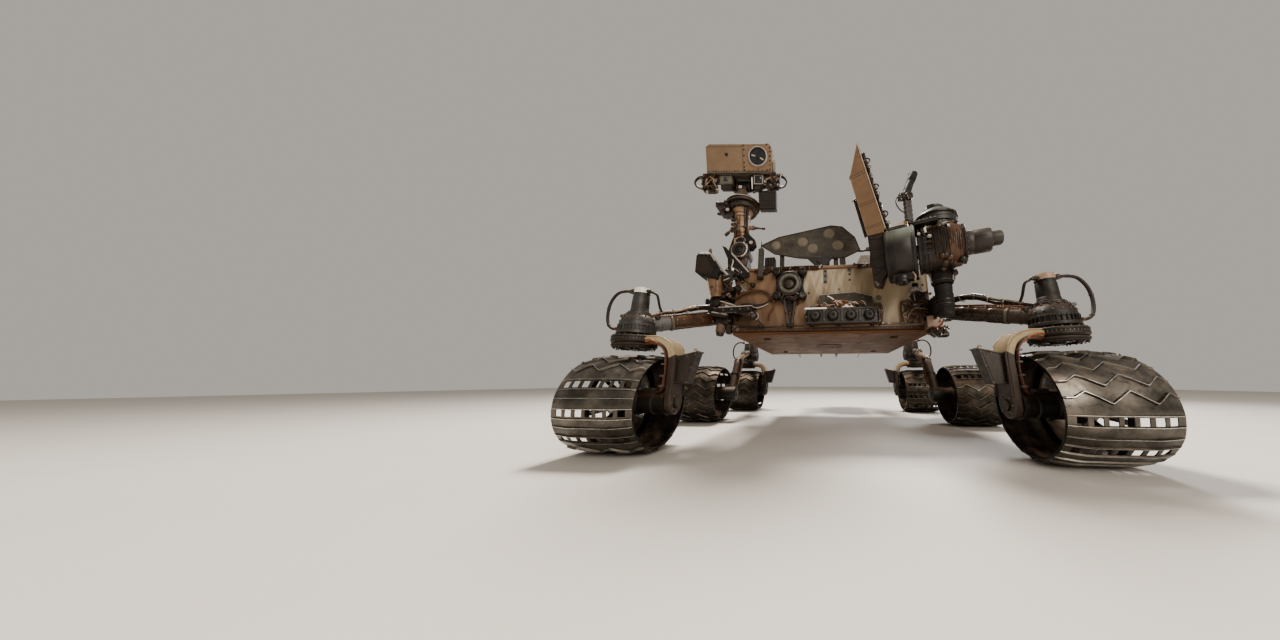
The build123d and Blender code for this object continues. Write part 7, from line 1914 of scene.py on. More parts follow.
# leads along the top of the bar, under the box's floor
for k, m in enumerate(("cable", "film", "braid", "cable")):
    rng = random.Random(80 + k)
    g.tube([hp(x, -0.124 - 0.004 * k + rng.uniform(-0.004, 0.004), 0.0500 + rng.uniform(-0.001, 0.001)) for x in (-0.27, -0.20, -0.13, -0.06, 0.02, 0.08, 0.15, 0.21, 0.27)], 0.0030, m, 7)
g.make("camera_bar", "mast_head", "stereo_camera_bar")

g = Mesh()
g.block((0.132, -0.110, -0.194), (0.262, -0.008, -0.046), "black", 0.006, **HB)
g.block((0.140, -0.050, -0.048), (0.258, -0.008, 0.050), "hood", 0.005, **HB)
for k in range(8):
    z = -0.186 + k * 0.0185
    g.block((0.134, -0.1138, z), (0.260, -0.108, z + 0.0045), "dark", 0.0008, **HB)
    g.block((0.134, -0.108, z), (0.1300, -0.012, z + 0.0045), "dark", 0.0008, **HB)
for k in range(7):
    x = 0.137 + k * 0.0196
    g.block((x, -0.1150, -0.190), (x + 0.0042, -0.108, -0.050), "tube", 0.0008, **HB)
    g.block((x, -0.108, -0.1985), (x + 0.0042, -0.012, -0.193), "tube", 0.0008, **HB)
clutter(g, hp(0.130, -0.110, -0.062), HEAD_SIDE, HEAD_UP, 0.12, 0.024, OUTW, 10, ("black", "hood", "tube"), 76, (0.010, 0.022), (0.008, 0.016), 5, 0.0034, ("cable",), 0.016)
g.tube([hp(0.150, -0.112, -0.060), hp(0.120, -0.112, -0.048), hp(0.092, -0.104, -0.020), hp(0.090, -0.090, 0.010)], 0.0060, "cable", 9)
g.make("electronics_box", "mast_head", "camera_electronics_box")
# ------------------------------------------------------------------ arm
A0 = SHOULDER + UP * SHOULDER_Z
FACING = -BEAM_BACK


def on_beam(d, u, out=0.0):
    """Point on the beam's front face, or standing off it."""
    return beam_point(d, -0.050 - out, u)


# fixed foot of the shoulder on the body's front left corner
g = Mesh()
# foot and its block in the near-black painted shade
g.lathe(AZ, Z, [(0, 0.692), (0.036, 0.692), (0.040, 0.697), (0.040, 0.735), (0.044, 0.740), (0.044, 0.795), (0.0455, 0.798), (0.0455, 0.812), (0.043, 0.815), (0.045, 0.846), (0.0455, 0.861), (0, 0.861)], "deep", 48)
g.bolts(AZ + Z * 0.861, Z, 0.036, 8, 0.0042, 0.004, "worn")
for z in (0.752, 0.775):
    g.lathe(AZ + Z * z, Z, [(0.044, 0), (0.0465, 0.001), (0.0465, 0.007), (0.044, 0.008)], "dark", 44)
g.block((AZ.x - 0.010, AZ.y + 0.016, 0.734), (AZ.x + 0.021, FACE, 0.842), "deep", 0.006)
for k in range(5):
    g.block((AZ.x - 0.0105, AZ.y + 0.050 + k * 0.036, 0.742), (AZ.x + 0.0215, AZ.y + 0.056 + k * 0.036, 0.846), "black", 0.001)
g.plate([(FACE, 0.695), (FACE, 0.735), (AZ.y + 0.060, 0.735)], 0.012, "black", (AZ.x - 0.004, 0, 0), Y, Z, 0.002)
# tan-grey corner block with bent rods and dark load below
g.block((0.580, -0.952, 0.664), (0.668, FACE, 0.726), "bracket", 0.008)
g.plate([(0.576, 0.668), (0.576, 0.735), (0.640, 0.748), (0.672, 0.722), (0.660, 0.668)], 0.012, "cap_tan", (0, -0.952, 0), X, Z, 0.003)
g.tube([(0.648, -0.968, 0.776), (0.664, -0.974, 0.768), (0.671, -0.976, 0.744), (0.658, -0.976, 0.718), (0.645, -0.974, 0.700)], 0.0056, "edge", 9)
g.tube([(0.662, -0.965, 0.782), (0.682, -0.970, 0.768), (0.686, -0.972, 0.742), (0.672, -0.970, 0.712)], 0.0045, "bright", 9)
g.tube([(0.596, -0.966, 0.672), (0.618, -0.972, 0.664), (0.640, -0.970, 0.674), (0.656, -0.968, 0.690), (0.668, -0.960, 0.712)], 0.0040, "red", 8)
g.tube([(0.588, -0.962, 0.652), (0.620, -0.970, 0.646), (0.652, -0.966, 0.655), (0.674, -0.958, 0.676)], 0.0050, "hood", 8)
g.block((0.592, -0.945, 0.632), (0.690, -0.885, 0.668), "hood", 0.008)
g.block((0.640, -0.940, 0.615), (0.704, -0.890, 0.650), "black", 0.008)
clutter(g, (0.590, -0.946, 0.618), X, Z, 0.105, 0.050, -Y, 18, ("black", "hood", "dark", "worn", "tube"), 81, (0.012, 0.028), (0.008, 0.020), 8, 0.0034, ("cable", "film", "copper"), 0.020)
clutter(g, (0.640, -0.945, 0.680), Y, Z, 0.06, 0.10, X, 12, ("black", "hood", "worn", "dark"), 82, (0.012, 0.026), (0.008, 0.020), 5, 0.0032, ("cable", "edge"), 0.018)
# brown cable net over small grey-brown boxes on the face
for x, z, w, h in ((0.470, 0.820, 0.030, 0.030), (0.510, 0.760, 0.034, 0.026), (0.475, 0.745, 0.026, 0.030), (0.550, 0.812, 0.036, 0.028), (0.545, 0.745, 0.030, 0.026), (0.600, 0.790, 0.034, 0.030), (0.590, 0.735, 0.026, 0.022), (0.630, 0.760, 0.028, 0.030)):
    g.block((x - w / 2, -0.895, z - h / 2), (x + w / 2, FACE, z + h / 2), "cap_tan" if x < 0.56 else "bracket", 0.007)
net = [
    [(0.452, 0.846), (0.448, 0.800), (0.450, 0.752), (0.456, 0.712)],
    [(0.452, 0.846), (0.492, 0.852), (0.540, 0.842), (0.592, 0.838), (0.640, 0.842), (0.655, 0.800), (0.652, 0.745), (0.648, 0.716)],
    [(0.455, 0.836), (0.480, 0.800), (0.520, 0.786), (0.562, 0.770), (0.600, 0.762), (0.648, 0.770)],
    [(0.452, 0.770), (0.480, 0.790), (0.508, 0.826), (0.530, 0.846)],
    [(0.456, 0.735), (0.490, 0.728), (0.520, 0.735), (0.532, 0.775), (0.575, 0.820), (0.600, 0.838)],
    [(0.500, 0.712), (0.505, 0.742), (0.492, 0.775), (0.498, 0.800), (0.535, 0.815), (0.575, 0.790), (0.612, 0.815), (0.640, 0.826)],
    [(0.556, 0.712), (0.562, 0.745), (0.585, 0.770), (0.625, 0.785), (0.650, 0.812)],
    [(0.605, 0.712), (0.600, 0.745), (0.622, 0.770), (0.618, 0.800), (0.590, 0.836)],
]
for k, line in enumerate(net):
    rng = random.Random(90 + k)
    m = ("film", "copper", "hood", "film", "copper_film")[k % 5]
    g.tube([(a, -0.902 - 0.006 * rng.random(), b) for a, b in line], rng.uniform(0.0048, 0.0070), m, 9)
    g.tube([(a + 0.010, -0.905 - 0.005 * rng.random(), b - 0.005) for a, b in line], rng.uniform(0.0026, 0.0040), ("braid", "copper", "cable")[k % 3], 7)
clutter(g, (0.455, -0.896, 0.712), X, Z, 0.190, 0.130, -Y, 26, ("bracket", "hood", "film", "tube"), 83, (0.010, 0.024), (0.004, 0.014), 10, 0.0030, ("copper", "film", "braid"), 0.014)
# dark box and its pale connector under the shoulder
g.block((0.520, -0.925, 0.820), (0.612, FACE, 0.902), "black", 0.008)
g.block((0.528, -0.938, 0.832), (0.600, -0.920, 0.885), "hood", 0.006)
g.lathe((0.538, -0.925, 0.898), Z, [(0, 0), (0.032, 0), (0.032, 0.010), (0.037, 0.013), (0.037, 0.022), (0.031, 0.026), (0, 0.026)], "edge", 34)
for k in range(12):
    a = 2 * math.pi * k / 12
    d = Vector((math.cos(a), math.sin(a), 0))
    g.block((0.034, -0.003, 0.0115), (0.0385, 0.003, 0.0235), "worn", 0.0008, origin=(0.538, -0.925, 0.898), x=d, y=Z.cross(d), z=Z)
g.lathe((0.538, -0.925, 0.922), Z, [(0, 0), (0.026, 0), (0.024, 0.012), (0.020, 0.030), (0, 0.030)], "black", 30)
clutter(g, (0.520, -0.930, 0.812), X, Z, 0.105, 0.080, -Y, 16, ("hood", "black", "dark", "worn"), 84, (0.012, 0.028), (0.006, 0.018), 7, 0.0034, ("cable", "film", "copper"), 0.018)
# flat strips that come down beside the column
for x0, x1, m in ((0.512, 0.500, "edge"), (0.524, 0.516, "cap_tan"), (0.536, 0.534, "edge")):
    g.tube([(x0, -0.935, 0.955), (x0 + 0.002, -0.938, 0.925), (x1 + 0.022, -0.936, 0.880), (x1 + 0.030, -0.930, 0.840)], 0.0030, m, 7)
g.make("shoulder_foot", "root", "shoulder_base")

# azimuth drive: column, dome, and the elevation drive across the front
g = Mesh()
# column in the near-black painted shade
g.lathe(AZ, Z, [(0, 0.8690), (0.050, 0.8690), (0.054, 0.873), (0.058, 0.900), (0.063, 0.960), (0.0655, 1.05), (0.0655, 1.162), (0, 1.162)], "deep", 56)
for z in (0.882, 0.905):
    g.lathe(AZ + Z * z, Z, [(0.054, 0), (0.0575, 0.001), (0.0575, 0.006), (0.055, 0.007)], "dark", 48)
front = (Vector((-0.015, -2.585, 0)) - Vector((AZ.x, AZ.y, 0))).normalized()
cross = Z.cross(front)
for s, m in ((-1.05, "edge"), (-0.86, "cap_tan"), (1.02, "edge"), (1.16, "bracket")):
    a = AZ + front * 0.030 + cross * (0.058 * s)
    g.tube([a + Z * 0.935 + cross * 0.004 * s, a + Z * 0.915 - cross * 0.003 * s, a + Z * 0.880 - cross * 0.008 * s], 0.0038, m, 8)
g.lathe(AZ + cross * 0.058 + front * 0.020 + Z * 0.918, (0.4, -1, 0.2), [(0, 0), (0.018, 0), (0.018, 0.012), (0.012, 0.018), (0, 0.018)], "dark", 24)
# dome with an overhanging rim and cap, paler where they face up as painted light from above
g.lathe(AZ, Z, [(0, 1.1605), (0.098, 1.1605), (0.1015, 1.165), (0.1015, 1.2045), (0.109, 1.207), (0.1095, 1.211), (0.1095, 1.222), (0.1075, 1.224), (0.1075, 1.229), (0.1095, 1.231), (0.109, 1.2515), (0, 1.2515)], "dome_top_lit", 72)
g.lathe(AZ, Z, [(0.104, 1.249), (0.1165, 1.251), (0.1170, 1.254), (0.1165, 1.261), (0.110, 1.263)], "black", 72)
g.lathe(AZ, Z, [(0, 1.307), (0.064, 1.307), (0.070, 1.304), (0.095, 1.285), (0.107, 1.267), (0.110, 1.261), (0, 1.261)][::-1], "dome_top_lit", 72)
g.lathe(AZ, Z, [(0, 1.305), (0.058, 1.305), (0.0595, 1.309), (0.056, 1.327), (0.046, 1.341), (0.030, 1.346), (0, 1.3465)], "dome_top_lit", 52)
g.bolts(AZ + Z * 1.261, Z, 0.1115, 22, 0.0030, 0.003, "dark")
for k in range(7):
    a = math.radians(195 + k * 15)
    d = Vector((math.cos(a), math.sin(a), 0))
    g.block((0.1005, -0.004, 1.166), (0.1040, 0.004, 1.2045), "black", 0.001, origin=AZ, x=d, y=Z.cross(d), z=Z)
g.block((-0.020, -0.012, 1.307), (0.018, 0.012, 1.335), "black", 0.003, origin=AZ + front * 0.050 - cross * 0.012, x=cross, y=front, z=Z)
for p, q, r, m in (
    ((-0.118, 0.02, 1.216), (-0.134, 0.03, 1.235), 0.006, "edge"), ((-0.134, 0.03, 1.235), (-0.120, 0.025, 1.250), 0.005, "black"),
    ((-0.112, 0.03, 1.258), (-0.136, 0.02, 1.278), 0.007, "black"),
):
    a, b = (AZ + cross * v[0] + front * v[1] + Z * v[2] for v in (p, q))
    g.tube([a, b], r, m, 10, smooth=1)
g.block((-0.160, -0.01, 1.205), (-0.104, 0.03, 1.240), "black", 0.006, origin=AZ, x=cross, y=front, z=Z)
clutter(g, AZ - cross * 0.112 + front * 0.055 + Z * 1.216, cross, Z, 0.085, 0.034, front, 16, ("black", "hood", "dark", "tube"), 85, (0.012, 0.030), (0.008, 0.024), 8, 0.0036, ("cable", "film", "copper"), 0.022)
# housing of the elevation drive
g.lathe(A0 + D * 0.240, D, [(0.042, 0), (0.118, 0), (0.1235, 0.004), (0.1235, 0.016), (0.120, 0.018), (0.120, 0.026), (0.1235, 0.028), (0.1235, 0.044), (0.118, 0.048), (0.098, 0.051), (0.094, 0.195), (0, 0.195)], "black", 80)
for t, m in ((0.006, "dark"), (0.030, "dark")):
    g.bolts(A0 + D * (0.2395 + t), D, 0.1225, 30, 0.0042, 0.0050, m)
g.block((-0.060, -0.122, 0.105), (0.055, 0.030, 0.126), "black", 0.005, origin=A0 + D * 0.292, x=D, y=N, z=UP)
for i in range(6):
    for n in (-0.108, -0.076, -0.044):
        g.bolt(A0 + D * (0.245 + i * 0.018) + N * n + UP * 0.126, UP, 0.0048, 0.006, "worn" if (i + int(n * 1000)) % 3 else "dark")
for k in range(9):
    a = math.radians(150 + k * 13)
    d = N * math.cos(a) - UP * math.sin(a)
    g.block((-0.020, -0.006, 0.118), (0.022, 0.006, 0.1275), ("dark", "black", "hood")[k % 3], 0.0015, origin=A0 + D * 0.285, x=D, y=D.cross(d), z=d)
# bright curved strip over the front
strip = []
for k in range(15):
    t = k / 14
    a = math.radians(88 - 92 * t)
    d = -N * math.cos(a) + UP * math.sin(a)
    strip.append(A0 + D * (0.268 + 0.040 * t + 0.012 * math.sin(t * 7)) + d * 0.1285)
g.tube(strip[:11], 0.0062, "bright", 9, smooth=3)
g.tube([p + D * 0.014 for p in strip[1:8]], 0.0040, "edge", 8, smooth=3)
g.tube([p - D * 0.016 for p in strip[2:13]], 0.0048, "cable", 8, smooth=3)
g.bolt(strip[12], -N, 0.007, 0.006, "edge")
g.lathe(A0 + D * 0.252 - N * 0.110 + UP * 0.045, -N, [(0, 0), (0.008, 0), (0.008, 0.018), (0, 0.018)], "edge", 16)
# wrap of brown film with lumps above and below
wrap = film(0.1165, 0.0085, 0.0022, 0.0075, 4.0)
sleeve(g, [A0 + D * 0.288, A0 + D * 0.386], lambda t, a, p: wrap(t, a, p) - 0.003 * t, "wrap", 88, 0.0022, hint=UP)
sleeve(g, [A0 + D * 0.384, A0 + D * 0.442], lambda t, a, p: wrap(t, a, p) - 0.003 - 0.014 * t * t, "wrap_red", 88, 0.0022, hint=UP)
# thin hoops and straps that hold the wrap
for k in range(9):
    g.lathe(A0 + D * (0.298 + 0.0105 * k), D, [(0.1165, 0), (0.1195 + 0.0012 * (k % 3), 0.0008), (0.1195 + 0.0012 * (k % 3), 0.0034), (0.1165, 0.0042)], ("black", "hood", "deep")[k % 3], 64)
for k in range(5):
    g.lathe(A0 + D * (0.392 + 0.0095 * k), D, [(0.1120 - 0.0016 * k, 0), (0.1160 - 0.0016 * k, 0.0008), (0.1160 - 0.0016 * k, 0.0026), (0.1120 - 0.0016 * k, 0.0034)], ("copper_film", "hood")[k % 2], 64)
for k in range(26):
    rng = random.Random(200 + k)
    t = rng.uniform(0.296, 0.436)
    a = math.radians(rng.uniform(40, 118))
    d = -N * math.cos(a) + UP * math.sin(a)
    p = A0 + D * t + d * (0.118 - 0.10 * max(0, t - 0.39))
    m = ("edge", "hood", "wrap_red", "black", "worn", "hood", "vane", "black")[k % 8]
    if k % 3:
        g.lathe(p, d, [(0, 0), (rng.uniform(0.006, 0.011), 0), (0.008, 0.006), (0.005, 0.011), (0, 0.011)], m, 14)
    else:
        g.block((-0.010, -0.006, 0), (0.010, 0.006, 0.010), m, 0.002, origin=p, x=D, y=d.cross(D), z=d)
for k, (t0, t1, a0, a1, r, m) in enumerate(((0.296, 0.440, 72, 60, 0.0046, "edge"), (0.300, 0.436, 86, 78, 0.0040, "cable"), (0.310, 0.430, 100, 92, 0.0050, "copper"), (0.300, 0.425, 50, 62, 0.0042, "film"), (0.330, 0.430, 66, 80, 0.0036, "bright"))):
    line = []
    for i in range(9):
        s = i / 8
        a = math.radians(a0 + (a1 - a0) * s + 5 * math.sin(s * 9 + k))
        d = -N * math.cos(a) + UP * math.sin(a)
        line.append(A0 + D * (t0 + (t1 - t0) * s) + d * (0.124 + 0.003 * math.sin(s * 12 + k) - 0.10 * max(0, t0 + (t1 - t0) * s - 0.39)))
    g.tube(line, r, m, 8)
for k in range(12):
    rng = random.Random(300 + k)
    t = rng.uniform(0.345, 0.440)
    a = math.radians(rng.uniform(-88, -42))
    d = -N * math.cos(a) + UP * math.sin(a)
    p = A0 + D * t + d * 0.105
    g.lathe(p, d, [(0, 0), (0.016, 0.002), (0.018, 0.010), (0.014, 0.020), (0.006, 0.025), (0, 0.026)], ("hood", "film", "black", "copper_film")[k % 4], 18)
# dark flange, motor and rounded end; motor and end paler where they face up as painted light from above
g.lathe(A0 + D * 0.436, D, [(0, 0), (0.100, 0), (0.1035, 0.003), (0.1035, 0.009), (0.0985, 0.0110), (0.0985, 0.0150), (0.1035, 0.017), (0.1035, 0.024), (0.099, 0.0265), (0.066, 0.0265), (0.062, 0.030), (0, 0.030)], "hood", 80)
g.bolts(A0 + D * 0.4625, D, 0.088, 20, 0.0040, 0.004, "worn")
g.lathe(A0 + D * 0.462, D, [(0, 0), (0.0605, 0), (0.0615, 0.003), (0.0615, 0.030), (0.0600, 0.032), (0.0600, 0.036), (0.0615, 0.038), (0.0615, 0.104), (0.0580, 0.109), (0.040, 0.110), (0, 0.110)], "drive_top_lit", 64)
g.lathe(A0 + D * 0.571, D, [(0, 0), (0.040, 0), (0.0400, 0.003), (0.0372, 0.006), (0.0375, 0.036), (0.0345, 0.046), (0.028, 0.0505), (0, 0.0510)], "drive_top_lit", 52)
g.lathe(A0 + D * 0.500, D, [(0.0615, 0), (0.0622, 0.0005), (0.0622, 0.0015), (0.0615, 0.002)], "tube", 60)
g.bolts(A0 + D * 0.572, D, 0.050, 8, 0.0032, 0.003, "worn")
connector(g, A0 + D * 0.520 + N * 0.058, N, 0.014, 0.030, "steel", "black")
g.lathe(A0 + D * 0.185, D, [(0, 0), (0.038, 0), (0.0395, 0.002), (0.0395, 0.060), (0, 0.060)], "steel", 40)
# leads behind the drive
for k, m in enumerate(("cable", "film", "cable", "copper")):
    o = k * 0.012
    g.tube([A0 + D * (0.300 + o) + N * 0.118 + UP * (0.02 + o), A0 + D * (0.330 + o) + N * 0.150 + UP * (0.06 + o * 0.5), AZ + N * (0.075 + o) + D * 0.02 + UP * 1.180, AZ + N * (0.108) + D * (0.01 + o) + UP * 1.240], 0.0058, m, 8)
g.make("shoulder_drive", "arm_azimuth", "shoulder_azimuth_drive")

# barrel of the elevation joint, grey-green above as painted light from above, dark below as painted shade
g = Mesh()
g.lathe(A0 + D * 0.078, D, [(0.030, 0), (0.142, 0), (0.1480, 0.003), (0.1495, 0.007), (0.1495, 0.013), (0.1470, 0.0145), (0.1470, 0.022), (0.1485, 0.024), (0.1485, 0.128), (0.1470, 0.130), (0.1470, 0.138), (0.1495, 0.140), (0.1495, 0.152), (0.146, 0.156), (0.046, 0.156)], "barrel_top_lit", 96)
g.lathe(A0 + D * 0.084, D, [(0.1495, 0), (0.1500, 0.0005), (0.1500, 0.0050), (0.1495, 0.0055)], "black", 96)
g.bolts(A0 + D * 0.219, D, 0.1475, 36, 0.0034, 0.0028, "dark")
g.lathe(A0 + D * 0.232, D, [(0.050, 0), (0.050, 0.002), (0.138, 0.002), (0.138, 0)], "dark", 72)
g.lathe(A0 + D * 0.1335, D, [(0.1485, 0), (0.1490, 0.0004), (0.1490, 0.0012), (0.1485, 0.0016)], "tube", 96)
# low cylinder and plate hung under the barrel
g.block((0.098, -0.075, -0.170), (0.215, -0.020, -0.130), "black", 0.008, origin=A0, x=D, y=N, z=UP)
g.lathe(A0 + D * 0.150 - N * 0.052 - UP * 0.150, -UP, [(0, 0), (0.040, 0), (0.040, 0.016), (0.036, 0.020), (0.036, 0.032), (0.030, 0.036), (0, 0.036)], "black", 40)
g.bolts(A0 + D * 0.150 - N * 0.052 - UP * 0.186, -UP, 0.025, 6, 0.0038, 0.0035, "worn")
g.tube([A0 + D * 0.205 - N * 0.070 - UP * 0.135, A0 + D * 0.216 - N * 0.080 - UP * 0.160, A0 + D * 0.212 - N * 0.070 - UP * 0.182], 0.0046, "cap_tan", 8)
g.make("shoulder_roll", "arm_upper", "shoulder_barrel")

# box beam with a pointed end, its clamps, root bracket and foot
g = Mesh()
SLAB = [(-0.016, 0.138), (0.076, 0.138), (0.076, 0.153), (0.092, 0.153), (-0.020, 0.697), (-0.084, 0.508)]
g.plate(SLAB, 0.100, "arm_tan", beam_point(0, 0.050, 0), D, BEAM_UP, 0.0025)


def edge_d(u):
    return 0.092 - 0.112 * (u - 0.153) / 0.544


def left_d(u):
    return -0.016 - 0.068 * (u - 0.138) / 0.370


lean_axis = (beam_point(edge_d(0.697), 0, 0.697) - beam_point(edge_d(0.153), 0, 0.153)).normalized()
side_axis = FACING.cross(lean_axis)
g.tube([on_beam(edge_d(u) - 0.0035, u, 0.0004) for u in (0.160, 0.30, 0.45, 0.60, 0.690)], 0.0026, "vane", 7, smooth=1)
g.tube([on_beam(left_d(u) + 0.002, u, 0.0002) for u in (0.145, 0.30, 0.505)] + [on_beam(-0.0205, 0.694, 0.0002)], 0.0012, "tan_light", 6, smooth=1)
for u, gap in ((0.497, 0.014), (0.318, 0.012), (0.180, 0.011)):
    for k in (0, 1):
        v = u + k * gap
        g.tube([on_beam(left_d(v) + 0.001, v - 0.004, 0.0004), on_beam(edge_d(v) - 0.006, v + 0.010, 0.0004)], 0.0010, "tube", 6, smooth=1)
    g.tube([on_beam(left_d(u) - 0.001, u - 0.002, 0.0), on_beam(left_d(u) - 0.001, u + gap, 0.0)], 0.0028, "dark", 6, smooth=1)
# three dark clamps with looped leads on the right edge
for u0, u1, seed in ((0.530, 0.622, 1), (0.362, 0.462, 2), (0.182, 0.308, 3)):
    rng = random.Random(400 + seed)
    mid = (u0 + u1) / 2
    for u in (u0 + 0.010, mid, u1 - 0.010):
        p = beam_point(edge_d(u), -0.020, u)
        g.block((-0.002, -0.018, -0.014), (0.013 + 0.006 * rng.random(), 0.016, 0.014), "black", 0.003, origin=p, x=D, y=BEAM_BACK, z=BEAM_UP)
    g.tube([beam_point(edge_d(u) + 0.010 + 0.005 * math.sin(i * 2.1), -0.030, u) for i, u in enumerate([u0 - 0.02 + (u1 - u0 + 0.03) * k / 7 for k in range(8)])], 0.0066, "cable", 9)
    g.tube([beam_point(edge_d(u) + 0.006 + 0.003 * math.sin(i * 1.7), -0.044, u) for i, u in enumerate([u0 + (u1 - u0) * k / 6 for k in range(7)])], 0.0042, "hood", 8)
    hoop(g, beam_point(edge_d(mid) + 0.010, -0.036, mid - 0.018), beam_point(edge_d(mid) + 0.010, -0.036, mid + 0.018), D * 0.024, 0.0036, "hood", 8)
    hoop(g, beam_point(edge_d(u0) + 0.008, -0.030, u0), beam_point(edge_d(u0) + 0.006, -0.030, u0 + 0.022), D * 0.020, 0.0030, "braid", 7)
    g.bolt(beam_point(edge_d(mid) + 0.010, -0.040, mid), FACING, 0.0052, 0.008, "worn")
for k, m in enumerate(("cable", "film_dark", "cable")):
    g.tube([beam_point(edge_d(u) + 0.0055 + 0.002 * math.sin(u * 60 + k * 2), -0.012 + 0.014 * k, u) for u in [0.165 + 0.47 * i / 14 for i in range(15)]], 0.0052, m, 8)
# dark strip with a lip low on the left edge
g.plate([(left_d(0.372) - 0.020, 0.372), (left_d(0.372) - 0.003, 0.372), (left_d(0.150) - 0.002, 0.150), (left_d(0.150) - 0.018, 0.142)], 0.026, "hood", beam_point(0, -0.006, 0), D, BEAM_UP, 0.002)
g.tube([on_beam(left_d(0.372) - 0.028, 0.370, -0.014), on_beam(left_d(0.372) + 0.002, 0.376, -0.014)], 0.0046, "hood", 8, smooth=1)
for u in (0.18, 0.25, 0.33):
    g.block((-0.010, -0.01, -0.006), (0.014, 0.012, 0.006), "dark", 0.001, origin=beam_point(left_d(u) - 0.008, -0.022, u), x=D, y=BEAM_BACK, z=BEAM_UP)
# root bracket: dark panel, ribs, foot with a round pin, thin strut
g.plate([(-0.006, -0.150), (0.008, -0.166), (0.032, -0.168), (0.040, -0.150), (0.075, -0.070), (0.076, 0.140), (-0.016, 0.140)], 0.090, "hood", beam_point(0, 0.046, 0), D, BEAM_UP, 0.004)
g.plate([(0.004, -0.100), (0.066, -0.052), (0.068, 0.126), (-0.006, 0.126)], 0.005, "hood", on_beam(0, 0, -0.006), D, BEAM_UP, 0.002)
for u in (0.118, 0.060, 0.002, -0.050):
    g.tube([on_beam(-0.008 + (0.118 - u) * 0.05, u, 0.0), on_beam(0.068, u - 0.012, 0.0)], 0.0026, "black", 7, smooth=1)
g.tube([on_beam(0.028, -0.136, 0.006), on_beam(0.052, -0.108, 0.010), on_beam(0.078, -0.086, 0.014)], 0.0052, "hood", 9)
g.lathe(on_beam(0.015, -0.150, -0.010), FACING, [(0, 0), (0.020, 0), (0.020, 0.014), (0.016, 0.018), (0.010, 0.018), (0.009, 0.014), (0, 0.014)], "hood", 28)
g.lathe(on_beam(0.015, -0.150, 0.0045), FACING, [(0, 0), (0.0085, 0), (0.0085, 0.003), (0, 0.004)], "worn", 20)
for d, u in ((0.006, 0.120), (0.062, 0.120), (0.000, 0.040), (0.066, 0.030), (0.008, -0.070)):
    g.bolt(on_beam(d, u, 0.0), FACING, 0.0050, 0.005, "tube")
g.lathe(beam_point(-0.010, 0, 0), -D, [(0, 0), (0.046, 0), (0.046, 0.004), (0.036, 0.008), (0, 0.008)], "dark", 36)
# back of the beam: cover, leads and elbow lugs with the pin
for u in (0.20, 0.32, 0.44):
    g.block((-0.030, -0.001, -0.040), (0.030, 0.005, 0.040), "tan_light", 0.002, origin=beam_point((left_d(u) + edge_d(u)) / 2, 0.050, u), x=side_axis if side_axis.dot(D) > 0 else -side_axis, y=BEAM_BACK, z=lean_axis)
for k, m in enumerate(("cable", "film", "copper")):
    g.tube([beam_point((left_d(u) + edge_d(u)) / 2 + 0.020 - 0.012 * k, 0.058, u) for u in [0.15 + 0.30 * i / 9 for i in range(10)]], 0.0052, m, 8)
ED = -0.032
for d0, d1 in ((ED - 0.054, ED - 0.037), (ED + 0.037, ED + 0.054)):
    start = d0 if BEAM_BACK.cross(BEAM_UP).dot(D) > 0 else d1
    g.plate([(0.040, 0.464), (0.120, 0.496), (0.150, 0.505), (0.165, 0.540), (0.150, 0.575), (0.120, 0.585), (0.040, 0.552)], d1 - d0, "dark", beam_point(start, 0, 0), BEAM_BACK, BEAM_UP, 0.003)
    out = -1 if d0 < ED else 1
    face_d = d0 if out < 0 else d1
    g.lathe(beam_point(face_d, 0.120, 0.540), D * out, [(0, 0), (0.040, 0), (0.040, 0.001), (0.030, 0.0016), (0, 0.0016)], "bracket", 36)
    g.bolts(beam_point(face_d, 0.120, 0.540), D * out, 0.034, 8, 0.0036, 0.003, "worn")
g.lathe(beam_point(ED - 0.0535, 0.120, 0.540), D, [(0, 0), (0.0195, 0), (0.0195, 0.107), (0, 0.107)], "steel", 30)
g.make("arm_beam", "arm_upper", "upper_arm")

# ------------------------------------------------------------------ forearm and turret
g = Mesh()
g.lathe(ELBOW - D * 0.0338, D, [(0.0205, 0), (0.044, 0), (0.0475, 0.004), (0.0475, 0.022), (0.046, 0.024), (0.046, 0.044), (0.0475, 0.046), (0.0475, 0.0636), (0.044, 0.0676), (0.0205, 0.0676)], "greygreen", 52)
g.bolts(ELBOW + D * 0.0335, D, 0.038, 10, 0.0032, 0.0015, "worn")
reach = WRIST - ELBOW
along = reach.normalized()
perp = along.cross(D)
n = reach.length
g.block((-0.028, -0.033, n * 0.09), (0.028, 0.033, n * 0.985), "tan", 0.007, origin=ELBOW, x=D, y=along.cross(D), z=along)
for t in (0.22, 0.48, 0.74):
    g.block((-0.0295, -0.0345, n * t), (0.0295, 0.0345, n * t + 0.010), "bracket", 0.002, origin=ELBOW, x=D, y=perp, z=along)
g.tube([ELBOW + along * (n * t) + perp * 0.040 + D * (0.010 + 0.003 * math.sin(t * 20)) for t in (0.16, 0.3, 0.45, 0.6, 0.75, 0.86)], 0.0068, "cable", 9)
g.tube([ELBOW + along * (n * t) + perp * 0.039 - D * (0.006 + 0.003 * math.sin(t * 16)) for t in (0.16, 0.3, 0.45, 0.6, 0.75, 0.86)], 0.0054, "film", 9)
g.lathe(WRIST - D * 0.034, D, [(0, 0), (0.042, 0), (0.0475, 0.005), (0.0475, 0.030), (0.045, 0.032), (0.045, 0.052), (0.0475, 0.054), (0.0475, 0.082), (0.043, 0.086), (0, 0.086)], "greygreen", 52)
g.bolts(WRIST - D * 0.034, -D, 0.034, 8, 0.0036, 0.003, "worn")
g.make("fore_link", "arm_fore", "forearm")

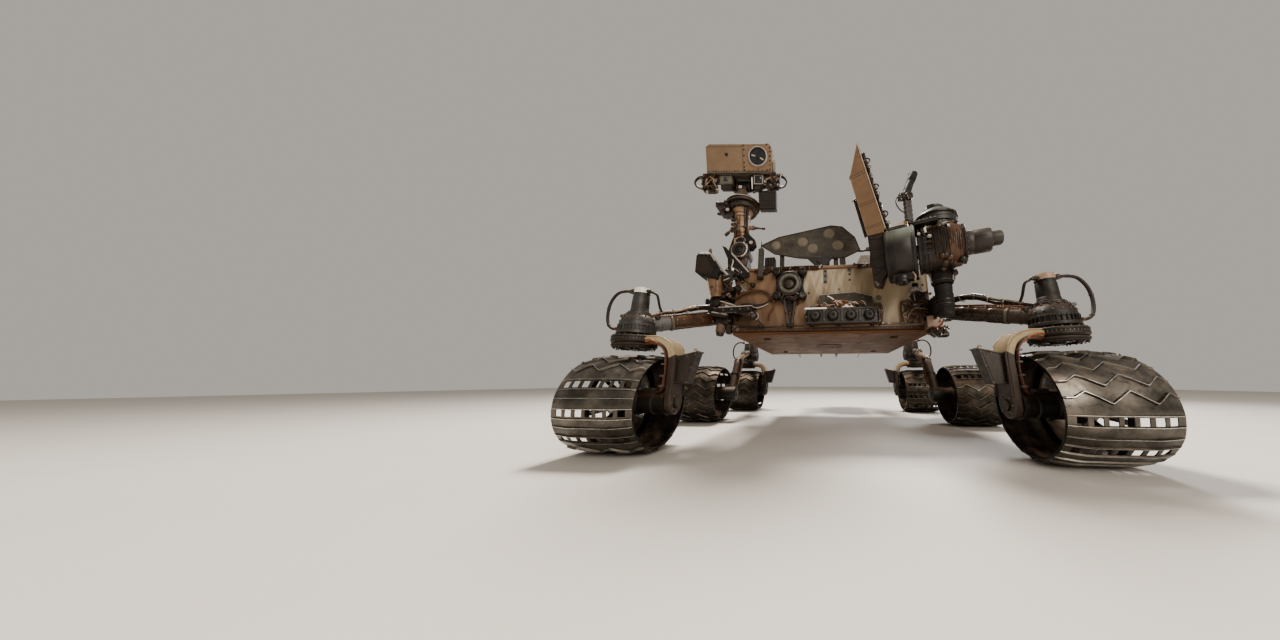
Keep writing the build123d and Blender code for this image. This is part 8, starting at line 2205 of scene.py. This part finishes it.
g = Mesh()
g.lathe(WRIST + D * 0.060, D, [(0, 0), (0.066, 0), (0.0735, 0.006), (0.0735, 0.020), (0.070, 0.022), (0.070, 0.148), (0.0735, 0.150), (0.0735, 0.164), (0.066, 0.1695), (0, 0.1695)], "dark", 64)
g.bolts(WRIST + D * 0.2295, D, 0.058, 12, 0.0042, 0.0045, "worn")
g.lathe(WRIST + D * 0.2285, D, [(0, 0), (0.044, 0), (0.044, 0.0012), (0, 0.0015)], "steel", 40)
for i, (angle, out, half) in enumerate(((0, 0.112, 0.034), (72, 0.116, 0.030), (144, 0.108, 0.036), (216, 0.116, 0.030), (288, 0.110, 0.034))):
    a = math.radians(angle)
    spoke = N * math.cos(a) + UP * math.sin(a)
    tang = spoke.cross(D)
    reach_out = math.sqrt(out * out - half * half)
    skin_m = ("tan", "lightgrey", "greygreen", "tan_light", "bracket")[i]
    S = dict(origin=WRIST + D * 0.145, x=D, y=tang, z=spoke)
    g.block((-0.069, -half + 0.001, 0.050), (0.069, half - 0.001, reach_out - 0.004), skin_m, 0.008, **S)
    g.block((-0.060, -half + 0.006, reach_out - 0.006), (0.060, half - 0.006, reach_out - 0.0015), "dark", 0.002, **S)
    for x in (-0.058, 0.058):
        for y in (-half + 0.008, half - 0.008):
            g.bolt(WRIST + D * (0.145 + x) + tang * y + spoke * (reach_out - 0.004), spoke, 0.0036, 0.003, "worn")
    for x in (-0.040, 0.0, 0.040):
        g.block((x - 0.003, -half - 0.0005, 0.060), (x + 0.003, half + 0.0005, reach_out - 0.010), "dark", 0.001, **S)
    tip = WRIST + D * 0.214 + spoke * (reach_out * 0.74)
    if i == 0:
        g.lathe(tip, D, [(0, 0), (0.024, 0), (0.024, 0.004), (0.010, 0.006), (0.009, 0.0125), (0, 0.014)], "steel", 30)
    elif i == 1:
        g.lathe(tip, D, [(0, 0), (0.022, 0), (0.022, 0.008), (0.018, 0.010), (0.017, 0.006), (0, 0.006)], "black", 30)
        g.lathe(tip + D * 0.0062, D, [(0, 0), (0.0165, 0)], "lens", 28)
    elif i == 2:
        g.lathe(tip, D, [(0, 0), (0.026, 0), (0.026, 0.007), (0.022, 0.010), (0, 0.010)], "gold", 34)
    elif i == 3:
        g.ring(tip, D, 0.012, 0.022, 0.010, "steel", 0.001, 30)
    else:
        g.block((-0.020, -0.020, 0), (0.020, 0.020, 0.008), "lightgrey", 0.003, origin=tip, x=tang, y=spoke, z=D)
    for k in range(3):
        g.tube([WRIST + D * (0.085 + 0.03 * k) + tang * (half * 0.5) + spoke * 0.070, WRIST + D * (0.090 + 0.03 * k) + tang * (half + 0.006) + spoke * 0.078, WRIST + D * (0.100 + 0.03 * k) + tang * (half * 0.9) + spoke * 0.095], 0.0036, ("cable", "copper", "film")[k], 7)
g.make("turret_tools", "arm_turret", "tool_turret")
# ------------------------------------------------------------------ antennas on the deck
DX, DY, DZ = 0.430, 0.120, 1.480

g = Mesh()
g.lathe((DX, DY, DECK_TOP), Z, [(0, 0), (0.076, 0), (0.078, 0.003), (0.078, 0.011), (0.075, 0.014), (0.053, 0.014), (0.052, 0.018), (0.052, 0.040), (0.049, 0.042), (0.049, 0.090), (0.052, 0.093), (0.052, 0.107), (0.048, 0.1095), (0, 0.1095)], "lightgrey", 60)
g.bolts((DX, DY, DECK_TOP + 0.014), Z, 0.066, 14, 0.0042, 0.005, "worn")
for k in range(12):
    a = 2 * math.pi * k / 12
    d = Vector((math.cos(a), math.sin(a), 0))
    g.block((0.0485, -0.0025, 0.044), (0.0515, 0.0025, 0.088), "bracket", 0.0008, origin=(DX, DY, DECK_TOP), x=d, y=Z.cross(d), z=Z)
connector(g, (DX + 0.020, DY + 0.048, DECK_TOP + 0.030), (0.35, 0.94, 0), 0.011, 0.030)
connector(g, (DX - 0.020, DY + 0.048, DECK_TOP + 0.030), (-0.35, 0.94, 0), 0.011, 0.030)
for s in (-1, 1):
    g.tube([(DX + s * 0.030, DY + 0.074, DECK_TOP + 0.030), (DX + s * 0.040, DY + 0.092, DECK_TOP + 0.022), (DX + s * 0.034, DY + 0.112, DECK_TOP + 0.008), (DX + s * 0.020, DY + 0.160, DECK_TOP + 0.006)], 0.0052, "cable", 9)
g.make("dish_foot", "root", "dish_base")

g = Mesh()
z0 = DECK_TOP + 0.114
g.lathe((DX, DY, z0), Z, [(0, 0), (0.055, 0), (0.058, 0.003), (0.058, 0.022), (0.055, 0.024), (0.055, 0.034), (0.058, 0.036), (0.058, 0.057), (0.054, 0.060), (0, 0.060)], "lightgrey", 60)
g.bolts((DX, DY, z0 + 0.060), Z, 0.048, 12, 0.0036, 0.004, "worn")
g.block((DX - 0.025, DY + 0.021, z0 + 0.052), (DX + 0.025, DY + 0.053, DZ + 0.033), "lightgrey", 0.006)
for s in (-1, 1):
    g.block((DX + s * 0.0255 - 0.001, DY + 0.026, z0 + 0.070), (DX + s * 0.0255 + 0.001, DY + 0.048, DZ - 0.040), "bracket", 0.0006)
for z in (1.330, 1.380, 1.430):
    g.block((DX - 0.0262, DY + 0.0205, z), (DX + 0.0262, DY + 0.0538, z + 0.008), "dark", 0.001)
    g.bolt((DX, DY + 0.0538, z + 0.004), Y, 0.0040, 0.003, "worn")
g.block((DX - 0.025, DY - 0.005, DZ - 0.029), (DX + 0.025, DY + 0.030, DZ + 0.029), "lightgrey", 0.005)
g.lathe((DX - 0.0595, DY, DZ), X, [(0, 0), (0.030, 0), (0.034, 0.004), (0.034, 0.022), (0.031, 0.024), (0.031, 0.095), (0.034, 0.097), (0.034, 0.115), (0.030, 0.119), (0, 0.119)], "dark", 48)
g.lathe((DX, DY, DZ), X, [(0.032, -0.012), (0.0338, -0.010), (0.0338, 0.010), (0.032, 0.012)], "worn", 40)
connector(g, (DX, DY + 0.0535, 1.475), Y, 0.010, 0.028)
g.tube([(DX, DY + 0.078, 1.475), (DX + 0.006, DY + 0.092, 1.460), (DX + 0.016, DY + 0.086, 1.400), (DX + 0.022, DY + 0.070, 1.340), (DX + 0.028, DY + 0.060, 1.302)], 0.0050, "cable", 9)
g.make("dish_post", "dish_turn", "dish_yoke")

g = Mesh()
hexagon = [(0.1640 * math.cos(math.radians(60 * k)), 0.1640 * math.sin(math.radians(60 * k))) for k in range(6)]
g.plate([(a, b) for a, b in hexagon], 0.018, "white", (DX, DY - 0.0755, DZ), X, Z, 0.002)
g.plate([(a * 0.985, b * 0.985) for a, b in hexagon], 0.0045, "lightgrey", (DX, DY - 0.0935, DZ), X, Z, 0.0012)
for k in range(6):
    a, b = (Vector((DX + v[0] * 0.992, DY - 0.0975, DZ + v[1] * 0.992)) for v in (hexagon[k], hexagon[(k + 1) % 6]))
    g.tube([a, b], 0.0022, "edge", 7, smooth=1)
# triangular grid of seams on the face and stiffening ribs behind
for k in range(3):
    d = Vector((math.cos(math.radians(60 * k)), 0, math.sin(math.radians(60 * k))))
    q = Vector((-d.z, 0, d.x))
    for i in range(-3, 4):
        off = i * 0.0355
        half = 0.1600 - abs(off) / math.sqrt(3)
        p = Vector((DX, DY - 0.0983, DZ)) + q * off
        g.tube([p - d * half, p + d * half], 0.0009, "bracket", 5, smooth=1)
    p = Vector((DX, DY - 0.0725, DZ))
    g.block((-0.150, -0.0030, -0.0035), (0.150, 0.0030, 0.0035), "lightgrey", 0.001, origin=p, x=d, y=Y, z=q)
g.lathe((DX, DY - 0.0755, DZ), Y, [(0, 0), (0.050, 0), (0.050, 0.006), (0.046, 0.010), (0.020, 0.012), (0, 0.012)], "lightgrey", 44)
g.bolts((DX, DY - 0.0655, DZ), Y, 0.040, 8, 0.0036, 0.003, "worn")
for s in (-1, 1):
    x0, x1 = sorted((DX + s * 0.0625, DX + s * 0.0838))
    g.plate([(DY - 0.074, DZ - 0.029), (DY + 0.010, DZ - 0.029), (DY + 0.029, DZ - 0.012), (DY + 0.029, DZ + 0.012), (DY + 0.010, DZ + 0.029), (DY - 0.074, DZ + 0.029)], x1 - x0, "lightgrey", (x0, 0, 0), Y, Z, 0.002)
    g.lathe((DX + s * 0.0838, DY, DZ), X * s, [(0, 0), (0.020, 0), (0.020, 0.0010), (0.012, 0.0014), (0, 0.0014)], "dark", 34)
    for z in (-0.020, 0.020):
        g.bolt((DX + s * 0.0838, DY - 0.050, DZ + z), X * s, 0.0040, 0.003, "worn")
g.make("dish_face", "dish_tip", "dish_panel")

# relay antenna: pale cylinder wound with a fine rib, on a bolted foot
g = Mesh()
RX, RY = -0.500, 0.310
g.lathe((RX, RY, DECK_TOP), Z, [(0, 0), (0.084, 0), (0.086, 0.003), (0.086, 0.016), (0.083, 0.019), (0.071, 0.019), (0.069, 0.024), (0.0685, 0.230), (0.0695, 0.233), (0.0695, 0.258), (0.064, 0.268), (0.020, 0.2695), (0, 0.2695)], "white", 64)
g.bolts((RX, RY, DECK_TOP + 0.019), Z, 0.0775, 16, 0.0038, 0.0045, "worn")
turns = [(RX + math.cos(a) * 0.0690, RY + math.sin(a) * 0.0690, DECK_TOP + 0.032 + 0.190 * a / (10 * math.pi)) for a in (10 * math.pi * k / 180 for k in range(181))]
g.tube(turns, 0.0010, "bracket", 5, smooth=1)
g.lathe((RX, RY, DECK_TOP + 0.232), Z, [(0.0696, 0), (0.0700, 0.001), (0.0700, 0.005), (0.0696, 0.006)], "bracket", 60)
connector(g, (RX + 0.050, RY - 0.066, DECK_TOP + 0.012), (0.6, -0.8, 0), 0.010, 0.026)
g.tube([(RX + 0.066, RY - 0.087, DECK_TOP + 0.012), (RX + 0.090, RY - 0.105, DECK_TOP + 0.008), (RX + 0.140, RY - 0.110, DECK_TOP + 0.006)], 0.0046, "cable", 8)
g.make("relay_can", "root", "relay_antenna")

# leaning aerial post: foot, thin pale tube, dark box with a ribbed collar, thick dark tube and a wire hook
g = Mesh()
g.lathe((0.616, -0.560, DECK_TOP), Z, [(0, 0), (0.040, 0), (0.040, 0.008), (0.022, 0.012), (0.0215, 0.052), (0, 0.052)], "dark", 34)
g.bolts((0.616, -0.560, DECK_TOP + 0.008), Z, 0.031, 6, 0.0040, 0.004, "worn")
low, high = Vector((0.616, -0.560, 1.160)), Vector((0.652, -0.560, 1.640))
up = (high - low).normalized()
side = Y.cross(up)
g.lathe(low, up, [(0, 0), (0.021, 0), (0.021, 0.030), (0.0165, 0.036), (0.0160, 0.220), (0.0210, 0.226), (0.0215, 0.252), (0.0165, 0.258), (0.0160, 0.430), (0.021, 0.436), (0.021, 0.480), (0, 0.480)], "rough_black", 30)
for t in (0.10, 0.16, 0.33, 0.39):
    band(g, low + up * t, up, 0.0162, 0.010, "dark", 0.0035, 26, lug=(0, -1, 0))
g.tube([low + up * t - side * 0.020 - Y * 0.008 for t in (0.02, 0.12, 0.24, 0.36, 0.47)], 0.0034, "worn", 7)
g.tube([low + up * t + side * (0.020 + 0.002 * math.sin(t * 40)) - Y * 0.004 for t in (0.02, 0.10, 0.18, 0.26, 0.34, 0.42, 0.47)], 0.0050, "cable", 8)
g.block((0.636, -0.580, 1.602), (0.694, -0.540, 1.828), "hood", 0.008)
for z in (1.622, 1.660, 1.700, 1.740, 1.780):
    g.block((0.6350, -0.5812, z), (0.6950, -0.5388, z + 0.012), "dark", 0.002)
    g.bolt((0.650, -0.5812, z + 0.006), -Y, 0.0040, 0.003, "worn")
    g.bolt((0.680, -0.5812, z + 0.006), -Y, 0.0040, 0.003, "worn")
g.block((0.596, -0.586, 1.817), (0.710, -0.534, 1.868), "black", 0.008)
for k in range(8):
    g.block((0.600 + k * 0.0138, -0.5875, 1.820), (0.6050 + k * 0.0138, -0.5325, 1.8695), "dark", 0.0015)
low, high = Vector((0.652, -0.560, 1.838)), Vector((0.745, -0.560, 2.072))
up = (high - low).normalized()
side = Y.cross(up)
g.lathe(low, up, [(0, 0), (0.0290, 0), (0.0305, 0.004), (0.0305, 0.150), (0.0290, 0.153), (0.0290, 0.158), (0.0320, 0.162), (0.0335, 0.196), (0.0335, 0.236), (0.028, 0.2440), (0, 0.2450)], "rough_black", 44)
for t in (0.040, 0.110):
    band(g, low + up * t, up, 0.0305, 0.008, "dark", 0.0010, 36)
g.tube([low + up * t - side * 0.033 for t in (0.010, 0.060, 0.120, 0.170, 0.210)], 0.0036, "cable", 7)
hook = [low + up * 0.196 - side * 0.026, low + up * 0.228 - side * 0.040, low + up * 0.249 - side * 0.026, low + up * 0.249 - side * 0.006, low + up * 0.238 + side * 0.004]
g.tube(hook, 0.0034, "hood", 8)
g.tube([Vector((0.600, -0.562, 1.842)), Vector((0.578, -0.566, 1.830)), Vector((0.574, -0.566, 1.780)), Vector((0.600, -0.570, 1.720)), Vector((0.632, -0.574, 1.690))], 0.0044, "cable", 8)
clutter(g, (0.600, -0.586, 1.790), X, Z, 0.100, 0.060, -Y, 10, ("black", "hood", "dark", "worn"), 91, (0.010, 0.022), (0.006, 0.014), 5, 0.0030, ("cable", "film"), 0.014)
g.make("aerial", "root", "aerial_post")

# ------------------------------------------------------------------ power unit at the back
PZ = 0.960


def at_back(y):
    return Vector((0, y, PZ))


g = Mesh()
g.lathe(at_back(0.640), Y, [(0, 0), (0.156, 0), (0.160, 0.004), (0.160, 0.014), (0.154, 0.016), (0.154, 0.024), (0.160, 0.026), (0.160, 0.037), (0.156, 0.040), (0.132, 0.040), (0.129, 0.046), (0.129, 0.719), (0.132, 0.725), (0.156, 0.725), (0.160, 0.729), (0.160, 0.745), (0.154, 0.747), (0.154, 0.756), (0.160, 0.758), (0.160, 0.780), (0.150, 0.7845), (0.120, 0.7845), (0.116, 0.780), (0.060, 0.780), (0.056, 0.7845), (0, 0.7845)], "greygreen", 88)
g.bolts(at_back(0.6405), -Y, 0.146, 24, 0.0046, 0.0035, "worn")
g.bolts(at_back(1.4235), Y, 0.138, 24, 0.0044, 0.0012, "worn")
g.bolts(at_back(1.4235), Y, 0.046, 8, 0.0040, 0.0012, "worn")
for k in range(8):
    a = math.radians(22.5 + 45 * k)
    d = Vector((math.cos(a), 0, math.sin(a)))
    q = d.cross(Y)
    # fin: flat sheet with a thick root, a lip at the tip and a line of bolts
    g.plate([(0.126, 0.701), (0.284, 0.701), (0.290, 0.712), (0.290, 1.333), (0.284, 1.3445), (0.126, 1.3445)], 0.0056, "greygreen", at_back(0) - d.cross(Y) * 0.0028, d, Y, 0.0008)
    g.block((0.126, 0.705, -0.0085), (0.150, 1.340, 0.0085), "greygreen", 0.003, origin=at_back(0), x=d, y=Y, z=q)
    g.block((0.276, 0.715, -0.0040), (0.2895, 1.330, 0.0040), "greygreen", 0.0015, origin=at_back(0), x=d, y=Y, z=q)
    for i in range(9):
        for s in (-1, 1):
            g.bolt(at_back(0.730 + i * 0.0725) + d * 0.140 + q * 0.0085 * s, q * s, 0.0040, 0.0035, "worn")
    for y in (0.735, 0.945, 1.155, 1.300):
        g.block((0.152, y, -0.0040), (0.276, y + 0.008, 0.0040), "greygreen", 0.0010, origin=at_back(0), x=d, y=Y, z=q)
    # thin coolant line along the fin
    line = [at_back(0.715) + d * 0.160 + q * 0.0062, at_back(0.76) + d * 0.225 + q * 0.0062, at_back(1.28) + d * 0.235 + q * 0.0062, at_back(1.325) + d * 0.175 + q * 0.0062]
    g.tube(rounded(line, 0.03), 0.0034, "steel", 8, smooth=1)
for k in range(8):
    a = math.radians(45 * k)
    d = Vector((math.cos(a), 0, math.sin(a)))
    q = d.cross(Y)
    g.block((0.128, 0.720, -0.020), (0.1325, 1.320, 0.020), "lightgrey", 0.002, origin=at_back(0), x=d, y=Y, z=q)
    for y in (0.74, 0.90, 1.06, 1.22, 1.30):
        g.bolt(at_back(y) + d * 0.1325, d, 0.0042, 0.004, "worn")
g.make("power_core", "root", "power_unit")

g = Mesh()
for sx in (-1, 1):
    for z in (1.060, 0.760):
        foot = Vector((sx * 0.230, 0.425, z))
        g.block((-0.031, 0, -0.031), (0.031, 0.0155, 0.031), "dark", 0.003, origin=foot)
        for a in (-0.022, 0.022):
            for b in (-0.022, 0.022):
                g.bolt(foot + Vector((a, 0.0155, b)), Y, 0.0048, 0.005, "worn")
        p, q = Vector((sx * 0.230, 0.436, z)), Vector((sx * 0.1196, 0.624, PZ + (z - PZ) * 0.52))
        d = (q - p).normalized()
        n = (q - p).length
        g.lathe(p, d, [(0, 0), (0.024, 0), (0.024, 0.014), (0.0175, 0.026), (0.0170, n - 0.030), (0.0215, n - 0.020), (0.0215, n), (0, n)], "tube", 28)
        for t in (0.35, 0.65):
            band(g, p.lerp(q, t), d, 0.0172, 0.008, "dark", 0.0028, 24)
g.lathe(at_back(0.6165), Y, [(0.100, 0), (0.161, 0), (0.165, 0.003), (0.165, 0.019), (0.161, 0.0225), (0.100, 0.0225)], "dark", 72)
g.bolts(at_back(0.6165), -Y, 0.152, 20, 0.0044, 0.005, "worn")
for k, m in enumerate(("steel", "steel", "braid")):
    o = k * 0.020
    g.tube(rounded([(-0.070 + o, 0.426, 1.090), (-0.070 + o, 0.500, 1.090 - o * 0.2), (-0.060 + o, 0.560, 1.060), (-0.050 + o * 0.8, 0.612, 1.030)], 0.03), 0.0060, m, 10, smooth=1)
g.make("power_cradle", "root", "power_unit_cradle")

g = Mesh()
for s in (-1, 1):
    sheet = [(0.471, 0.761), (1.239, 0.691), (1.239, 1.179), (0.471, 1.219)]
    g.plate(sheet, 0.016, "white", (s * 0.400 - 0.008, 0, 0), Y, Z, 0.003)
    rim = [Vector((s * 0.400, y, z)) for y, z in sheet]
    g.tube([p + (Vector((s * 0.400, 0.855, 0.963)) - p) * 0.012 for p in rim], 0.0085, "lightgrey", 10, closed=True, smooth=1)
    for k in range(9):
        y = 0.530 + k * 0.081
        lo, up_z = 0.761 - 0.070 * (y - 0.471) / 0.768 + 0.020, 1.219 - 0.040 * (y - 0.471) / 0.768 - 0.020
        g.tube([(s * 0.4085, y, lo), (s * 0.4085, y, up_z)], 0.0034, "lightgrey", 8, smooth=1)
    for k in range(8):
        y = 0.510 + k * 0.097
        lo, up_z = 0.761 - 0.070 * (y - 0.471) / 0.768 + 0.018, 1.219 - 0.040 * (y - 0.471) / 0.768 - 0.018
        g.bolt((s * 0.4085, y, lo), X * s, 0.0042, 0.003, "worn")
        g.bolt((s * 0.4085, y, up_z), X * s, 0.0042, 0.003, "worn")
    # inner coolant loop
    loop = []
    for k in range(5):
        z = 0.82 + k * 0.078
        ends = (0.54, 1.18) if k % 2 == 0 else (1.18, 0.54)
        loop += [(s * 0.3900, ends[0], z), (s * 0.3900, ends[1], z)]
    g.tube(rounded(loop, 0.035), 0.0045, "steel", 8, smooth=1)
    x0, x1 = sorted((s * 0.331, s * 0.390))
    g.block((x0, 0.426, 0.901), (x1, 0.519, 0.959), "dark", 0.004)
    for y in (0.450, 0.490):
        g.bolt(((x0 + x1) / 2, y, 0.959), Z, 0.0050, 0.004, "worn")
g.make("radiators", "root", "radiator_plates")
# ------------------------------------------------------------------ floor and light
floor_mesh = bpy.data.meshes.new("floor")
floor_mesh.from_pydata([(-16, -12, 0), (16, -12, 0), (16, 18, 0), (-16, 18, 0)], [], [(0, 1, 2, 3)])
floor = bpy.data.objects.new("floor", floor_mesh)
bpy.context.scene.collection.objects.link(floor)
fs = Shader("pale_floor")
floor_mesh.materials.append(fs.set(Base_Color=fs.mix(fs.noise(1.5, 3), (0.60, 0.565, 0.52), (0.64, 0.605, 0.56)), Roughness=0.85))

world = bpy.data.worlds.new("studio")
bpy.context.scene.world = world
world.use_nodes = True
world.node_tree.nodes["Background"].inputs[0].default_value = (0.80, 0.75, 0.685, 1)
world.node_tree.nodes["Background"].inputs[1].default_value = 0.50


def area(name, place, aim, size, power, colour):
    data = bpy.data.lights.new(name, "AREA")
    data.shape, data.size, data.energy, data.color = "DISK", size, power, colour
    o = bpy.data.objects.new(name, data)
    bpy.context.scene.collection.objects.link(o)
    o.location = place
    o.rotation_euler = (Vector(aim) - Vector(place)).to_track_quat("-Z", "Y").to_euler()


area("key", (-1.2, 0.6, 6.6), (0, -0.3, 0.7), 1.6, 620, (1.0, 0.955, 0.89))
area("front", (2.6, -6.2, 3.2), (0.2, -0.8, 0.9), 4.5, 240, (1.0, 0.93, 0.84))
area("rim", (4.2, 3.5, 4.2), (0, 0.0, 0.9), 2.6, 240, (0.95, 0.96, 1.0))
bpy.context.scene.view_settings.look = "AgX - Medium High Contrast"
